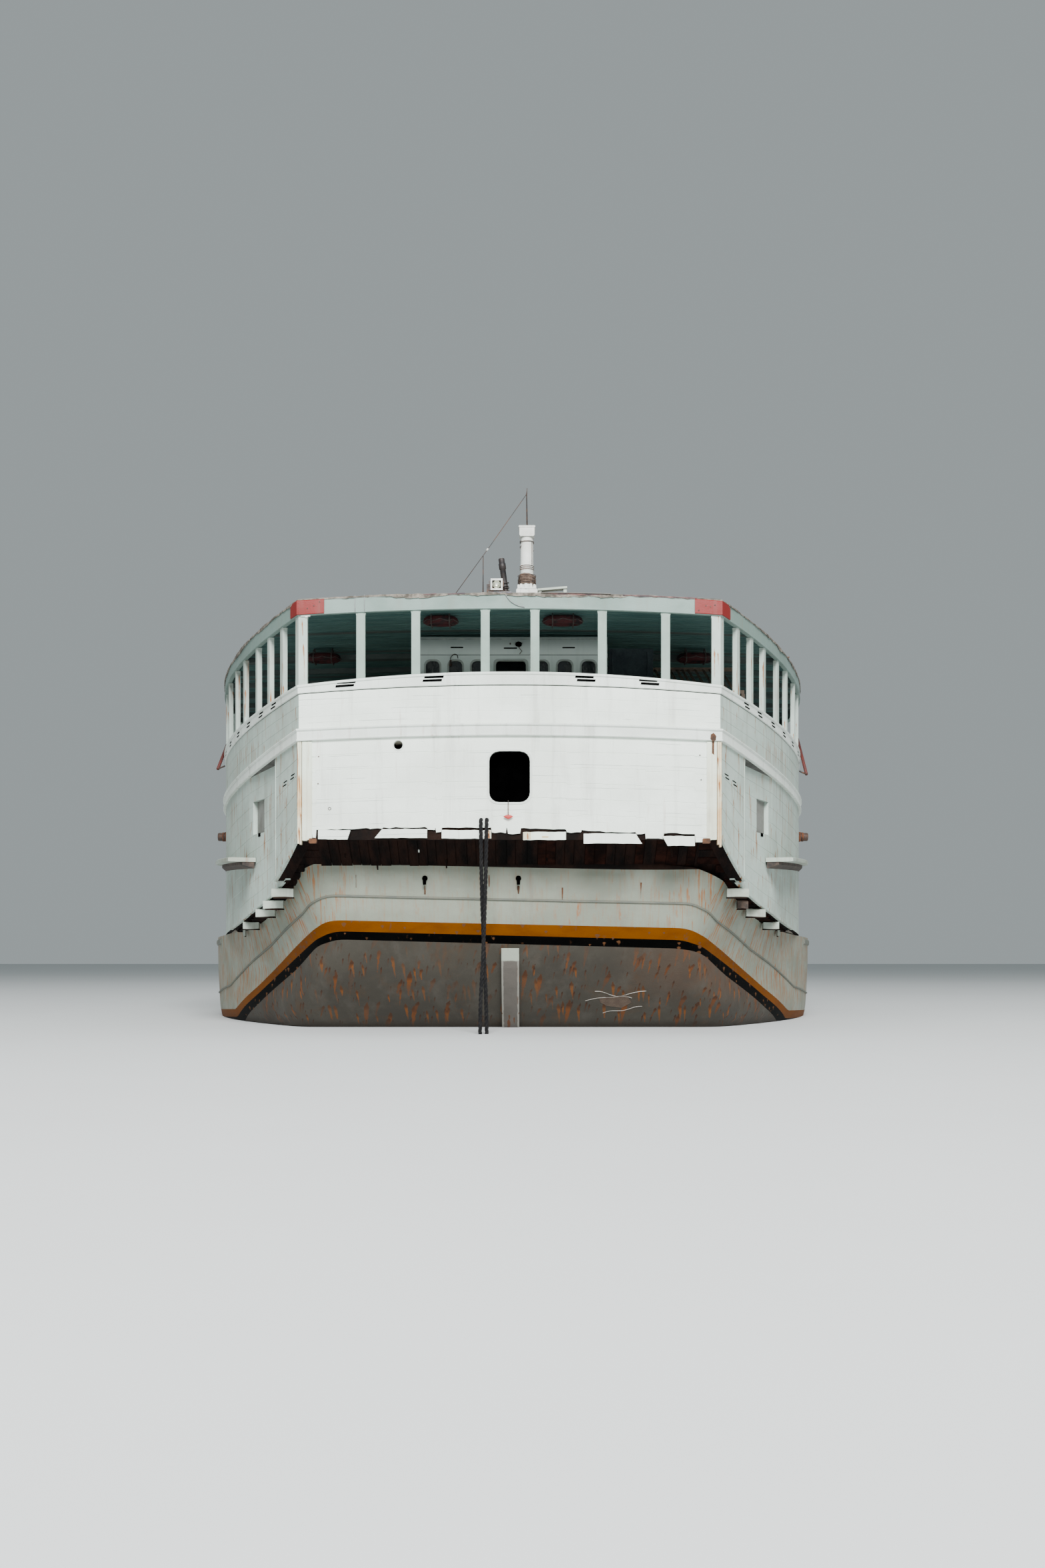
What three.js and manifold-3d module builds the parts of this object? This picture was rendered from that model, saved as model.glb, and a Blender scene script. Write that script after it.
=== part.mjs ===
// Wooden inter-island passenger ferry with an overhanging square stern, an open upper passenger
// deck under a flat roof, twin screws and a single rudder. Millimetres: X to starboard, Y forward,
// Z up, with the origin amidships on the centreline at the waterline.
import * as THREE from "three";
import { mergeVertices } from "three/addons/utils/BufferGeometryUtils.js";
import Module from "manifold-3d";

const wasm = await Module();
wasm.setup();

// Driving dimensions. A place along the ship is u, its distance forward of the stern wall.
const LENGTH = 39000;
const STERN_Y = -LENGTH / 2;
const GAP = 0.3; // between pieces that touch
const PIN_GAP = 0.6; // round a pin or a shaft that turns
const SIDES = [
  [-1, "port"],
  [1, "starboard"],
];

const WALL = 80;
const TRANSOM_HALF = 3260;
const HOUSE_HALF = 6000;
const HOUSE_FULL_U = 10400;
const HOUSE_TAPER_U = 24000;
const HOUSE_END_U = 31000;
const ROOF_END_U = 25500;
const HULL_STERN_U = 850;
const SHEER_START_U = 22000;
const BOW_SHEER = 1000;
const DECK_SIDE_Z = 1600;
const KEEL_BOTTOM_Z = -2450;
const HULL_BOTTOM_Z = -2100;

// Stations along the ship. Every height line and plan line runs straight between them, so that
// pieces that follow the same line lie face to face.
const STATIONS = [
  0, 850, 1050, 1230, 1740, 2200, 2700, 3200, 4200, 5400, 6800, 8600, 10400, 14000, 19000, 22000,
  24000, 26000, 28000, 29500, 31000, 33000, 35000, 37000, 38200, 39000,
];

function onStations(formula) {
  const values = STATIONS.map(formula);
  return (u) => {
    const last = STATIONS.length - 1;
    if (u <= STATIONS[0]) return values[0];
    if (u >= STATIONS[last]) return values[last];
    const i = STATIONS.findIndex((s) => s > u) - 1;
    const part = (u - STATIONS[i]) / (STATIONS[i + 1] - STATIONS[i]);
    return values[i] + (values[i + 1] - values[i]) * part;
  };
}

const sheerRise = (u) => BOW_SHEER * (Math.max(0, u - SHEER_START_U) / (LENGTH - SHEER_START_U)) ** 2;

// Outer face of the house and of the bulwark above it
const houseHalf = onStations((u) => {
  if (u < HOUSE_FULL_U) return Math.min(HOUSE_HALF, TRANSOM_HALF + 0.525 * u - 2.515e-5 * u * u);
  return HOUSE_HALF - 2.8e-5 * Math.max(0, u - HOUSE_TAPER_U) ** 2;
});

// Top edge of the hull, which climbs steeply round the stern, and the lower edge of the wall
const hullTop = onStations(
  (u) => DECK_SIDE_Z + 1140 * Math.exp(-(Math.max(u, HULL_STERN_U) - 800) / 1500) + sheerRise(u),
);
const wallLow = onStations((u) => DECK_SIDE_Z + 0.5 + 1440 * Math.exp(-u / 1800) + sheerRise(u));

// A height line that falls from the stern's corner to the side and then follows the sheer
function heightLine(corner, side) {
  return onStations((u) => side + (corner - side) * Math.max(0, 1 - u / 6800) ** 2 + sheerRise(u));
}

// Height lines: at the stern's corner, along the side, and the rise to the centreline at the stern
const beltLow = heightLine(4510, 4100);
const grooveZ = heightLine(5250, 5010);
const sillZ = heightLine(5380, 5210);
const fasciaLow = heightLine(6450, 6330);
const roofTop = heightLine(6690, 6540);
const CAMBER = { wall: 100, belt: 90, groove: 140, sill: 210, fascia: 110, roof: 100 };
const CROWN_STEPS = [-1, -0.5, 0, 0.5, 1];

// Share of the camber at a place across the beam, straight between the steps
function crown(across) {
  const f = Math.min(1, Math.abs(across));
  return f < 0.5 ? 1 - 0.5 * f : 1.5 * (1 - f);
}

const asFunction = (value) => (typeof value === "function" ? value : () => value);
const sorted = (values) => [...new Set(values)].sort((a, b) => a - b);

// A closed solid from a geometry with shared vertices merged, turned outwards if it is inside out
function solid(geometry) {
  const bare = geometry.clone();
  bare.deleteAttribute("normal");
  bare.deleteAttribute("uv");
  const merged = mergeVertices(bare, 1e-3);
  const faces = [];
  const source = merged.index.array;
  for (let i = 0; i < source.length; i += 3) {
    const [a, b, c] = [source[i], source[i + 1], source[i + 2]];
    if (a !== b && b !== c && c !== a) faces.push(a, b, c);
  }
  const vertProperties = merged.attributes.position.array;
  if (signedVolume(vertProperties, faces) < 0) faces.reverse();
  return new wasm.Manifold(
    new wasm.Mesh({ numProp: 3, vertProperties, triVerts: new Uint32Array(faces) }),
  );
}

function signedVolume(positions, faces) {
  const corner = (i) => new THREE.Vector3().fromArray(positions, 3 * faces[i]);
  let volume = 0;
  for (let i = 0; i < faces.length; i += 3) {
    volume += corner(i).dot(corner(i + 1).cross(corner(i + 2)));
  }
  return volume;
}

// A closed solid through rings of equally many points, with flat ends unless an end is a line
function loft(rings, openEnds = false) {
  const n = rings[0].length;
  const index = [];
  for (let r = 0; r < rings.length - 1; r++) {
    for (let i = 0; i < n; i++) {
      const a = r * n + i;
      const b = r * n + ((i + 1) % n);
      index.push(a, b, b + n, a, b + n, a + n);
    }
  }
  const base = (rings.length - 1) * n;
  for (let i = 1; i < n - 1 && !openEnds; i++) {
    index.push(0, i + 1, i, base, base + i, base + i + 1);
  }
  const geometry = new THREE.BufferGeometry();
  geometry.setAttribute("position", new THREE.Float32BufferAttribute(rings.flat(2), 3));
  geometry.setIndex(index);
  return solid(geometry);
}

// A strip that runs along the ship on one side, between two plan lines and two height lines
function run({ side = 1, from, to, inner, outer, low, high }) {
  const [i, o, l, h] = [inner, outer, low, high].map(asFunction);
  const places = sorted([from, to, ...STATIONS.filter((u) => u > from && u < to)]);
  return loft(
    places.map((u) => {
      const y = STERN_Y + u;
      return [
        [side * i(u), y, l(u)],
        [side * o(u), y, l(u)],
        [side * o(u), y, h(u)],
        [side * i(u), y, h(u)],
      ];
    }),
  );
}

// A strip that runs across the ship between two heights, with the camber of its height line
function across({ from, to, aft, fore, low, high, half = TRANSOM_HALF }) {
  const [l, h] = [low, high].map(asFunction);
  const steps = CROWN_STEPS.map((f) => f * half).filter((x) => x > from && x < to);
  return loft(
    sorted([from, to, ...steps]).map((x) => [
      [x, STERN_Y + aft, l(x)],
      [x, STERN_Y + fore, l(x)],
      [x, STERN_Y + fore, h(x)],
      [x, STERN_Y + aft, h(x)],
    ]),
  );
}

// A deck or a roof: a plate between both sides, with a camber
function plate({ from, to, half, low, thick, camber = 0 }) {
  const places = sorted([from, to, ...STATIONS.filter((u) => u > from && u < to)]);
  const h = asFunction(half);
  return loft(
    places.map((u) => {
      const rim = (f, z) => [f * h(u), STERN_Y + u, z + camber * crown(f)];
      const steps = camber ? CROWN_STEPS : [-1, 1];
      const under = steps.map((f) => rim(f, low(u)));
      const over = steps.map((f) => rim(f, low(u) + thick)).reverse();
      return [...under, ...over];
    }),
  );
}

function placed(geometry, x, u, z) {
  return solid(geometry.translate(x, STERN_Y + u, z));
}

const box = (dx, dy, dz, x, u, z) => placed(new THREE.BoxGeometry(dx, dy, dz), x, u, z);

// A box given by its limits: across, along and up
function block([x0, x1], [u0, u1], [z0, z1]) {
  return box(x1 - x0, u1 - u0, z1 - z0, (x0 + x1) / 2, (u0 + u1) / 2, (z0 + z1) / 2);
}

// A cylinder along one axis, between two places on that axis
function rod(axis, radius, [start, end], x, u, z, sides = 12, endRadius = radius) {
  const geometry = new THREE.CylinderGeometry(endRadius, radius, end - start, sides);
  const middle = (start + end) / 2;
  if (axis === "z") return placed(geometry.rotateX(Math.PI / 2), x, u, middle);
  if (axis === "y") return placed(geometry, x, middle, z);
  return placed(geometry.rotateZ(-Math.PI / 2), middle, u, z);
}

// A flat outline given across and up, as thick as the ship's length between two places
function profile(points, [u0, u1]) {
  const shape = new THREE.Shape(points.map(([x, z]) => new THREE.Vector2(x, z)));
  const geometry = new THREE.ExtrudeGeometry(shape, { depth: u1 - u0, bevelEnabled: false });
  return solid(geometry.rotateX(Math.PI / 2).translate(0, STERN_Y + u1, 0));
}

// A flat outline given along and up, as thick across as between two places
function sideProfile(points, [x0, x1]) {
  const shape = new THREE.Shape(points.map(([u, z]) => new THREE.Vector2(STERN_Y + u, z)));
  const geometry = new THREE.ExtrudeGeometry(shape, { depth: x1 - x0, bevelEnabled: false });
  geometry.rotateX(Math.PI / 2).rotateZ(Math.PI / 2).translate(x0, 0, 0);
  return solid(geometry);
}

const join = (solids) => solids.reduce((sum, next) => sum.add(next));
const cut = (body, holes) => holes.reduce((rest, hole) => rest.subtract(hole), body);

const FINISHES = {
  white_paint: { color: 0xdedbd2, roughness: 0.6, metalness: 0 },
  hull_paint: { color: 0xe2ddd2, roughness: 0.65, metalness: 0 },
  bottom_paint: { color: 0x8a7470, roughness: 0.8, metalness: 0 },
  dark_wood: { color: 0x2a201a, roughness: 0.9, metalness: 0 },
  deck_paint: { color: 0x6f6a5e, roughness: 0.85, metalness: 0 },
  red_foam: { color: 0x8e2f22, roughness: 0.8, metalness: 0 },
  steel: { color: 0x4a4744, roughness: 0.6, metalness: 0.6 },
  bronze: { color: 0x9a7a3c, roughness: 0.4, metalness: 0.9 },
  rope: { color: 0x1d1c1b, roughness: 0.95, metalness: 0 },
};
const materials = Object.fromEntries(
  Object.entries(FINISHES).map(([name, finish]) => [name, new THREE.MeshStandardMaterial(finish)]),
);

const ferry = new THREE.Group();

function add(name, body, finish, parent = ferry) {
  const { vertProperties, triVerts } = body.getMesh();
  const geometry = new THREE.BufferGeometry();
  geometry.setAttribute("position", new THREE.BufferAttribute(vertProperties, 3));
  geometry.setIndex(new THREE.BufferAttribute(triVerts, 1));
  const mesh = new THREE.Mesh(geometry, materials[finish]);
  mesh.name = name;
  parent.add(mesh);
  return mesh;
}

// Levels of the hull from the deck edge to the flat bottom. Columns: height, stern's place, half
// width of the flat stern, place and size of the full half beam, fullness aft, stem's place and
// fullness forward
const upperLevel = (u) => 800 + 700 * Math.exp(-(u - 1120) / 2500) + 0.5 * sheerRise(u);
const LEVELS = [
  [hullTop, HULL_STERN_U, 3300, 9500, 6300, 1.4, 39000, 2.2],
  [upperLevel, 1120, 3000, 9800, 6300, 1.6, 38100, 2.0],
  [() => 0, 2450, 3550, 11000, 6300, 2.0, 36800, 1.8],
  [() => -600, 3900, 2700, 12000, 6150, 2.0, 36300, 1.6],
  [() => -1300, 6300, 1500, 13000, 5700, 2.0, 35700, 1.5],
  [() => -1850, 8600, 700, 14000, 4300, 1.8, 35000, 1.4],
  [() => HULL_BOTTOM_Z, 9600, 150, 15000, 2600, 1.8, 34300, 1.3],
];
const BOW_SHOULDER_U = 21000;
const FLAT_STERN_STEPS = [0, 0.5, 1];

function levelPoint(level, topU, flatShare) {
  const [height, sternU, knuckle, fullU, full, aftPower, stemU, bowPower] = level;
  const u = sternU + ((topU - HULL_STERN_U) / (LENGTH - HULL_STERN_U)) * (stemU - sternU);
  const z = height(u);
  if (flatShare < 1) return [knuckle * flatShare, u, z];
  if (u > BOW_SHOULDER_U) {
    const q = Math.min(1, (u - BOW_SHOULDER_U) / (stemU - BOW_SHOULDER_U));
    return [full * (1 - q ** bowPower), u, z];
  }
  const q = Math.min(1, (u - sternU) / (fullU - sternU));
  return [knuckle + (full - knuckle) * (1 - (1 - q) ** aftPower), u, z];
}

const hullTopHalf = onStations((u) => levelPoint(LEVELS[0], Math.max(u, HULL_STERN_U), 1)[0]);

// Rudder and propellers
const RUDDER = { u: 3700, stock: 70, top: -860, bottom: -2270, aft: 3000, fore: 4150, thick: 70 };
const PROPELLER = {
  u: 5200, x: 1900, z: -1550,
  radius: 520, hub: 110, hubLength: 320, blades: 4, thick: 26,
};
const SHAFT_RADIUS = 75;
const ENGINE_WELL = { half: 2700, u: [8600, 13400], floor: -1100 };
const ENGINE = { width: 1100, height: 1350, u: [9200, 12400], x: 1400 };

function makeHull() {
  const columns = FLAT_STERN_STEPS.map((share) =>
    LEVELS.map((level) => levelPoint(level, HULL_STERN_U, share)),
  );
  for (const topU of STATIONS.filter((u) => u > HULL_STERN_U)) {
    columns.push(LEVELS.map((level) => levelPoint(level, topU, 1)));
  }
  const ring = (column) => [
    ...column.map(([x, u, z]) => [-x, STERN_Y + u, z]),
    ...[...column].reverse().map(([x, u, z]) => [x, STERN_Y + u, z]),
  ];
  const well = block(
    [-ENGINE_WELL.half, ENGINE_WELL.half],
    ENGINE_WELL.u,
    [ENGINE_WELL.floor, DECK_SIDE_Z + 500],
  );
  const boreRadius = (RUDDER.stock + PIN_GAP) / Math.cos(Math.PI / 24);
  const bore = rod("z", boreRadius, [-1200, -100], 0, RUDDER.u, 0, 24);
  add("hull", cut(loft(columns.map(ring), true), [well, bore]), "hull_paint");
}

const SOLE = { aft: 3300, top: -2300 };

function makeKeel() {
  const centre = (z) => {
    const rows = LEVELS.slice(2).map(([height, u]) => [height(), u]);
    const i = rows.findIndex(([level]) => level <= z);
    const [[z0, u0], [z1, u1]] = [rows[i - 1], rows[i]];
    return u0 + ((z - z0) / (z1 - z0)) * (u1 - u0);
  };
  const skegTop = -1500;
  const points = [
    [SOLE.aft, KEEL_BOTTOM_Z],
    [34000, KEEL_BOTTOM_Z],
    [34000, HULL_BOTTOM_Z - GAP],
    [centre(HULL_BOTTOM_Z), HULL_BOTTOM_Z - GAP],
    [centre(-1850), -1850 - GAP],
    [centre(skegTop), skegTop - GAP],
    [7100, SOLE.top],
    [SOLE.aft, SOLE.top],
  ];
  add("keel", sideProfile(points, [-90, 90]), "bottom_paint");
}

// The vertical timber on the stern's centreline, which follows the rake of the stern
function makeSternPost() {
  const [half, proud, top] = [145, 120, 1330];
  const [upperU, waterU, deepU] = LEVELS.slice(1, 4).map((level) => level[1]);
  const rake = (waterU - upperU) / upperLevel(upperU);
  const footShare = 0.6;
  const face = [
    [waterU - rake * top, top],
    [waterU, 0],
    [waterU + footShare * (deepU - waterU), -600 * footShare],
  ].map(([u, z]) => [u - 2 * GAP, z]);
  const outer = face.map(([u, z]) => [u - proud, z]).reverse();
  add("stern_post", sideProfile([...face, ...outer], [-half, half]), "bottom_paint");
}

function makeRudder() {
  const { u, stock, top, bottom, aft, fore, thick } = RUDDER;
  const blade = [
    [aft, bottom + 120],
    [aft + 150, bottom],
    [fore - 120, bottom],
    [fore, bottom + 150],
    [fore, top],
    [aft + 120, top],
  ];
  const solids = [
    sideProfile(blade, [-thick / 2, thick / 2]),
    rod("z", stock, [bottom + 60, -150], 0, u, 0, 24),
    rod("z", 45, [SOLE.top + PIN_GAP, bottom + 100], 0, u, 0, 12),
  ];
  add("rudder", join(solids), "bottom_paint");
}

function makePropeller(side, name) {
  const { u, x, z, radius, hub, hubLength, blades, thick } = PROPELLER;
  const solids = [rod("y", hub, [u - hubLength / 2, u + hubLength / 2], 0, 0, 0, 16)];
  solids.push(rod("y", 70, [u - hubLength, u - hubLength / 2 + 10], 0, 0, 0, 16, hub));
  for (let i = 0; i < blades; i++) {
    const outline = new THREE.Shape();
    outline.moveTo(-60, hub * 0.6);
    outline.bezierCurveTo(-260, radius * 0.55, -230, radius, 30, radius);
    outline.bezierCurveTo(250, radius * 0.9, 170, radius * 0.45, 60, hub * 0.6);
    const form = { depth: thick, bevelEnabled: false, curveSegments: 6 };
    const blade = new THREE.ExtrudeGeometry(outline, form);
    blade.translate(0, 0, -thick / 2).rotateY(side * 0.5).rotateX(Math.PI / 2);
    blade.rotateY((i * 2 * Math.PI) / blades).translate(0, STERN_Y + u, 0);
    solids.push(solid(blade));
  }
  const mesh = add("propeller_" + name, join(solids), "bronze");
  mesh.position.set(side * x, 0, z);
}

// Stern tube and the bracket that carries it under the hull
function makeShaft(side, name) {
  const { u, x, z, hubLength } = PROPELLER;
  const aftEnd = u + hubLength / 2 + PIN_GAP;
  const centreX = side * x;
  const strut = (from, to, top) => block([centreX - 35, centreX + 35], [from, to], [z, top]);
  const parts = [rod("y", SHAFT_RADIUS, [aftEnd, 8300], centreX, 0, z, 16), strut(5450, 5750, -500)];
  const hull = solid(ferry.getObjectByName("hull").geometry).translate([0, 0, -1]);
  add("shaft_tube_" + name, join(parts).subtract(hull), "steel");
}

function makeEngines() {
  const { width, height, u, x } = ENGINE;
  for (const [side, name] of SIDES) {
    const span = [side * x - width / 2, side * x + width / 2];
    const floor = ENGINE_WELL.floor + GAP;
    add("engine_" + name, block(span, u, [floor, floor + height]), "steel");
  }
}

// Decks
const DECK_THICK = 60;
const inHouse = (u) => houseHalf(u) - WALL - GAP;
const hullDeck = (u) => hullTop(u) + GAP;
const deckLow = (u) => beltLow(u) + GAP;
const upperFloor = (u) => deckLow(u) + DECK_THICK;
const BULWARK = 90;
const BULWARK_INSET = 30;

function makeDecks() {
  const galleryLow = (u) => (u < HULL_STERN_U ? hullTop(u) + 0.6 * (HULL_STERN_U - u) : hullDeck(u));
  const galleryEnd = 4800;
  add(
    "gallery_floor",
    plate({
      from: WALL + GAP,
      to: galleryEnd - GAP,
      half: (u) => inHouse(u) - wallInset(Math.max(u, PANEL_U)),
      low: galleryLow,
      thick: DECK_THICK,
    }),
    "dark_wood",
  );
  const deckEnd = HOUSE_END_U - WALL - GAP;
  add(
    "main_deck",
    plate({ from: galleryEnd, to: deckEnd, half: inHouse, low: hullDeck, thick: DECK_THICK }),
    "deck_paint",
  );
  add(
    "foredeck",
    plate({
      from: HOUSE_END_U + GAP,
      to: 38200,
      half: (u) => hullTopHalf(u) - BULWARK - BULWARK_INSET - GAP,
      low: hullDeck,
      thick: DECK_THICK,
    }),
    "deck_paint",
  );
  add(
    "upper_deck",
    plate({ from: WALL + GAP, to: deckEnd, half: inHouse, low: deckLow, thick: DECK_THICK }),
    "deck_paint",
  );
}

// Lower house. Forward of the corner panel the wall lies back under the belt and comes out to it.
const PANEL_U = 1050;
const INSET_END_U = 2700;
const WALL_INSET = 150;

function wallInset(u) {
  if (u < PANEL_U || u > INSET_END_U) return 0;
  return WALL_INSET * (1 - (u - PANEL_U) / (INSET_END_U - PANEL_U));
}

const QUARTER_WINDOW = { u: [1870, 2500], z: [3270, 3830] };
const SIDE_WINDOWS = { first: 8600, pitch: 1700, count: 13, width: 620, z: [2650, 3300] };
const GATE = { u: [15050, 16650], height: 1950 };
// A discharge pipe's end, which stands out from the wall that holds it
const SIDE_PIPE = { u: 8600, z: 3720, radius: 90, reach: 260 };

function makeSideWall(side, name) {
  const outer = (u) => houseHalf(u) - wallInset(u);
  const high = (u) => beltLow(u) - GAP;
  const insetOuter = (u) => outer(Math.max(u, PANEL_U));
  const panel = run({
    side, from: 0, to: PANEL_U,
    inner: (u) => houseHalf(u) - WALL - WALL_INSET, outer: houseHalf,
    low: wallLow, high,
  });
  const wall = run({
    side, from: PANEL_U - 60, to: HOUSE_END_U,
    inner: (u) => insetOuter(u) - WALL, outer: insetOuter,
    low: wallLow, high,
  });
  const across = (u0, u1) => {
    const middle = side * houseHalf((u0 + u1) / 2);
    return [middle - 500, middle + 500];
  };
  const holes = [block(across(...QUARTER_WINDOW.u), QUARTER_WINDOW.u, QUARTER_WINDOW.z)];
  for (let i = 0; i < SIDE_WINDOWS.count; i++) {
    const u = SIDE_WINDOWS.first + i * SIDE_WINDOWS.pitch;
    if (u + SIDE_WINDOWS.width > GATE.u[0] && u < GATE.u[1]) continue;
    const lift = sheerRise(u);
    const heights = SIDE_WINDOWS.z.map((z) => z + lift);
    holes.push(block(across(u, u + SIDE_WINDOWS.width), [u, u + SIDE_WINDOWS.width], heights));
  }
  const sill = hullTop(GATE.u[0]) + DECK_THICK + 60;
  holes.push(block(across(...GATE.u), GATE.u, [sill, sill + GATE.height]));
  const pipeEnds = [outer(SIDE_PIPE.u) - WALL / 2, outer(SIDE_PIPE.u) + SIDE_PIPE.reach]
    .map((x) => side * x)
    .sort((a, b) => a - b);
  const pipe = rod("x", SIDE_PIPE.radius, pipeEnds, 0, SIDE_PIPE.u, SIDE_PIPE.z);
  add("side_wall_" + name, cut(panel.add(wall), holes).add(pipe), "white_paint");
}

const OPENING = { half: 315, low: 3575, high: 4365, chamfer: 170 };
const BULLSEYE = { x: -1720, z: 4460, radius: 60 };

function makeSternWall() {
  const half = TRANSOM_HALF - WALL - WALL_INSET - GAP;
  const camber = (base, rise) => (x) => base + rise * crown(x / TRANSOM_HALF);
  const wall = across({
    from: -half,
    to: half,
    aft: 0,
    fore: WALL,
    low: camber(wallLow(0), CAMBER.wall),
    high: camber(beltLow(0) - GAP, CAMBER.belt),
  });
  const { half: w, low, high, chamfer: c } = OPENING;
  const octagon = [
    [-w + c, low], [w - c, low], [w, low + c], [w, high - c],
    [w - c, high], [-w + c, high], [-w, high - c], [-w, low + c],
  ];
  const holes = [
    profile(octagon, [-200, 300]),
    rod("y", BULLSEYE.radius, [-200, 300], BULLSEYE.x, 0, BULLSEYE.z),
  ];
  add("stern_wall", cut(wall, holes), "white_paint");
}

function makeFrontWall() {
  const half = inHouse(HOUSE_END_U);
  const u = [HOUSE_END_U - WALL, HOUSE_END_U];
  const base = hullTop(HOUSE_END_U) + GAP;
  const wall = block([-half, half], u, [base, beltLow(HOUSE_END_U) - GAP - 20]);
  const through = [u[0] - 200, u[1] + 200];
  const holes = [block([-420, 420], through, [base + 180, base + 2050])];
  for (const x of [-3300, -2000, 1400, 2700]) {
    holes.push(block([x, x + 600], through, [base + 1050, base + 1700]));
  }
  add("front_wall", cut(wall, holes), "white_paint");
}

// The moulded belt round the upper deck's edge
const BELT = { proud: 60, height: 130 };

function makeBelt() {
  const sides = SIDES.map(([side]) =>
    run({
      side,
      from: -BELT.proud,
      to: HOUSE_END_U,
      inner: (u) => houseHalf(u) + GAP,
      outer: (u) => houseHalf(u) + BELT.proud,
      low: beltLow,
      high: (u) => beltLow(u) + BELT.height,
    }),
  );
  const reach = TRANSOM_HALF + BELT.proud / 2;
  const low = (x) => beltLow(0) + CAMBER.belt * crown(x / TRANSOM_HALF);
  const stern = across({
    from: -reach, to: reach, aft: -BELT.proud, fore: -GAP,
    low, high: (x) => low(x) + BELT.height,
  });
  add("belt", join([...sides, stern]), "white_paint");
}

// Bulwark of the upper deck, and the rail and posts that stand on it. The rail is scarfed where
// the curved quarter meets the straight side.
const RAIL_PROUD = 20;
const POST = { width: 135, deep: WALL, foot: 20 };
const STERN_POSTS_X = [-2300, -1450, -376, 392, 1433, 2412];
const QUARTER_POSTS_U = [760, 1430, 2170, 3170, 4060, 5250];
const SIDE_POSTS = { first: 6450, pitch: 1200, count: 16 };
const SIDE_POSTS_U = Array.from(
  { length: SIDE_POSTS.count },
  (_, i) => SIDE_POSTS.first + i * SIDE_POSTS.pitch,
);
const FRAME_JOINT_U = 5850;

function makeSideUpperworks(side, name) {
  const bulwark = run({
    side, from: 0, to: HOUSE_END_U,
    inner: (u) => houseHalf(u) - WALL, outer: houseHalf,
    low: beltLow, high: (u) => grooveZ(u) - GAP,
  });
  add("side_bulwark_" + name, bulwark, "white_paint");
  const quarter = [-RAIL_PROUD, FRAME_JOINT_U - GAP];
  const straight = [FRAME_JOINT_U, HOUSE_END_U - WALL - GAP];
  const corner = POST.width / 2;
  add("quarter_frame_" + name, railWithPosts(side, quarter, [corner, ...QUARTER_POSTS_U]), "white_paint");
  add("side_frame_" + name, railWithPosts(side, straight, SIDE_POSTS_U), "white_paint");
}

function railWithPosts(side, [from, to], places) {
  const rail = run({
    side, from, to,
    inner: (u) => houseHalf(u) - WALL, outer: (u) => houseHalf(u) + RAIL_PROUD,
    low: grooveZ, high: sillZ,
  });
  const posts = places.map((u) =>
    run({
      side, from: u - POST.width / 2, to: u + POST.width / 2,
      inner: (at) => houseHalf(at) - POST.deep, outer: houseHalf,
      low: (at) => sillZ(at) - POST.foot, high: (at) => fasciaLow(at) - GAP,
    }),
  );
  return join([rail, ...posts]);
}

function makeSternUpperworks() {
  const half = TRANSOM_HALF - WALL - GAP;
  const line = (base, rise) => (x) => base + rise * crown(x / TRANSOM_HALF);
  const groove = line(grooveZ(0), CAMBER.groove);
  const sill = line(sillZ(0), CAMBER.sill);
  const head = line(fasciaLow(0) - GAP, CAMBER.fascia);
  const bulwark = across({
    from: -half, to: half, aft: 0, fore: WALL,
    low: line(beltLow(0), CAMBER.belt), high: (x) => groove(x) - GAP,
  });
  add("stern_bulwark", bulwark, "white_paint");
  const rail = across({
    from: -half, to: half, aft: -RAIL_PROUD, fore: WALL + 30,
    low: groove, high: sill,
  });
  const posts = STERN_POSTS_X.map((x) =>
    across({
      from: x - POST.width / 2, to: x + POST.width / 2, aft: 0, fore: POST.deep,
      low: (at) => sill(at) - POST.foot, high: head,
    }),
  );
  add("stern_frame", join([rail, ...posts]), "white_paint");
}

// Roof: a cambered plate on a deep fascia that runs round its edge
const ROOF = { thick: 70, overhang: 20, fascia: 100, drip: 6 };
const roofSkinLow = (u) => roofTop(u) - ROOF.thick;
const roofHalf = (u) => houseHalf(u) + ROOF.overhang;

function makeRoof() {
  const skin = plate({
    from: -ROOF.overhang, to: ROOF_END_U,
    half: roofHalf, low: roofSkinLow, thick: ROOF.thick, camber: CAMBER.roof,
  });
  add("roof", skin, "white_paint");
}

function makeFascia() {
  const { overhang, fascia, drip } = ROOF;
  const sides = SIDES.map(([side]) =>
    run({
      side, from: -overhang + drip, to: ROOF_END_U - drip,
      inner: (u) => roofHalf(u) - fascia, outer: (u) => roofHalf(u) - drip,
      low: fasciaLow, high: (u) => roofSkinLow(u) - GAP,
    }),
  );
  const level = (base, rise, half) => (x) => base + rise * crown(x / half);
  const sternHalf = TRANSOM_HALF - fascia / 2;
  const stern = across({
    from: -sternHalf, to: sternHalf, aft: -overhang + 2 * drip, fore: POST.deep,
    low: level(fasciaLow(0) + 1, CAMBER.fascia, TRANSOM_HALF),
    high: level(roofSkinLow(POST.deep) - 1, CAMBER.roof, TRANSOM_HALF),
  });
  const half = roofHalf(ROOF_END_U);
  const front = across({
    from: fascia / 2 - half, to: half - fascia / 2, half,
    aft: ROOF_END_U - fascia, fore: ROOF_END_U - 2 * drip,
    low: fasciaLow(ROOF_END_U) + 1,
    high: level(roofSkinLow(ROOF_END_U - fascia) - 1, CAMBER.roof, half),
  });
  add("fascia", join([...sides, stern, front]), "white_paint");
}

const roofAt = (x, u) => roofTop(u) + CAMBER.roof * crown(x / houseHalf(u)) + GAP;

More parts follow.
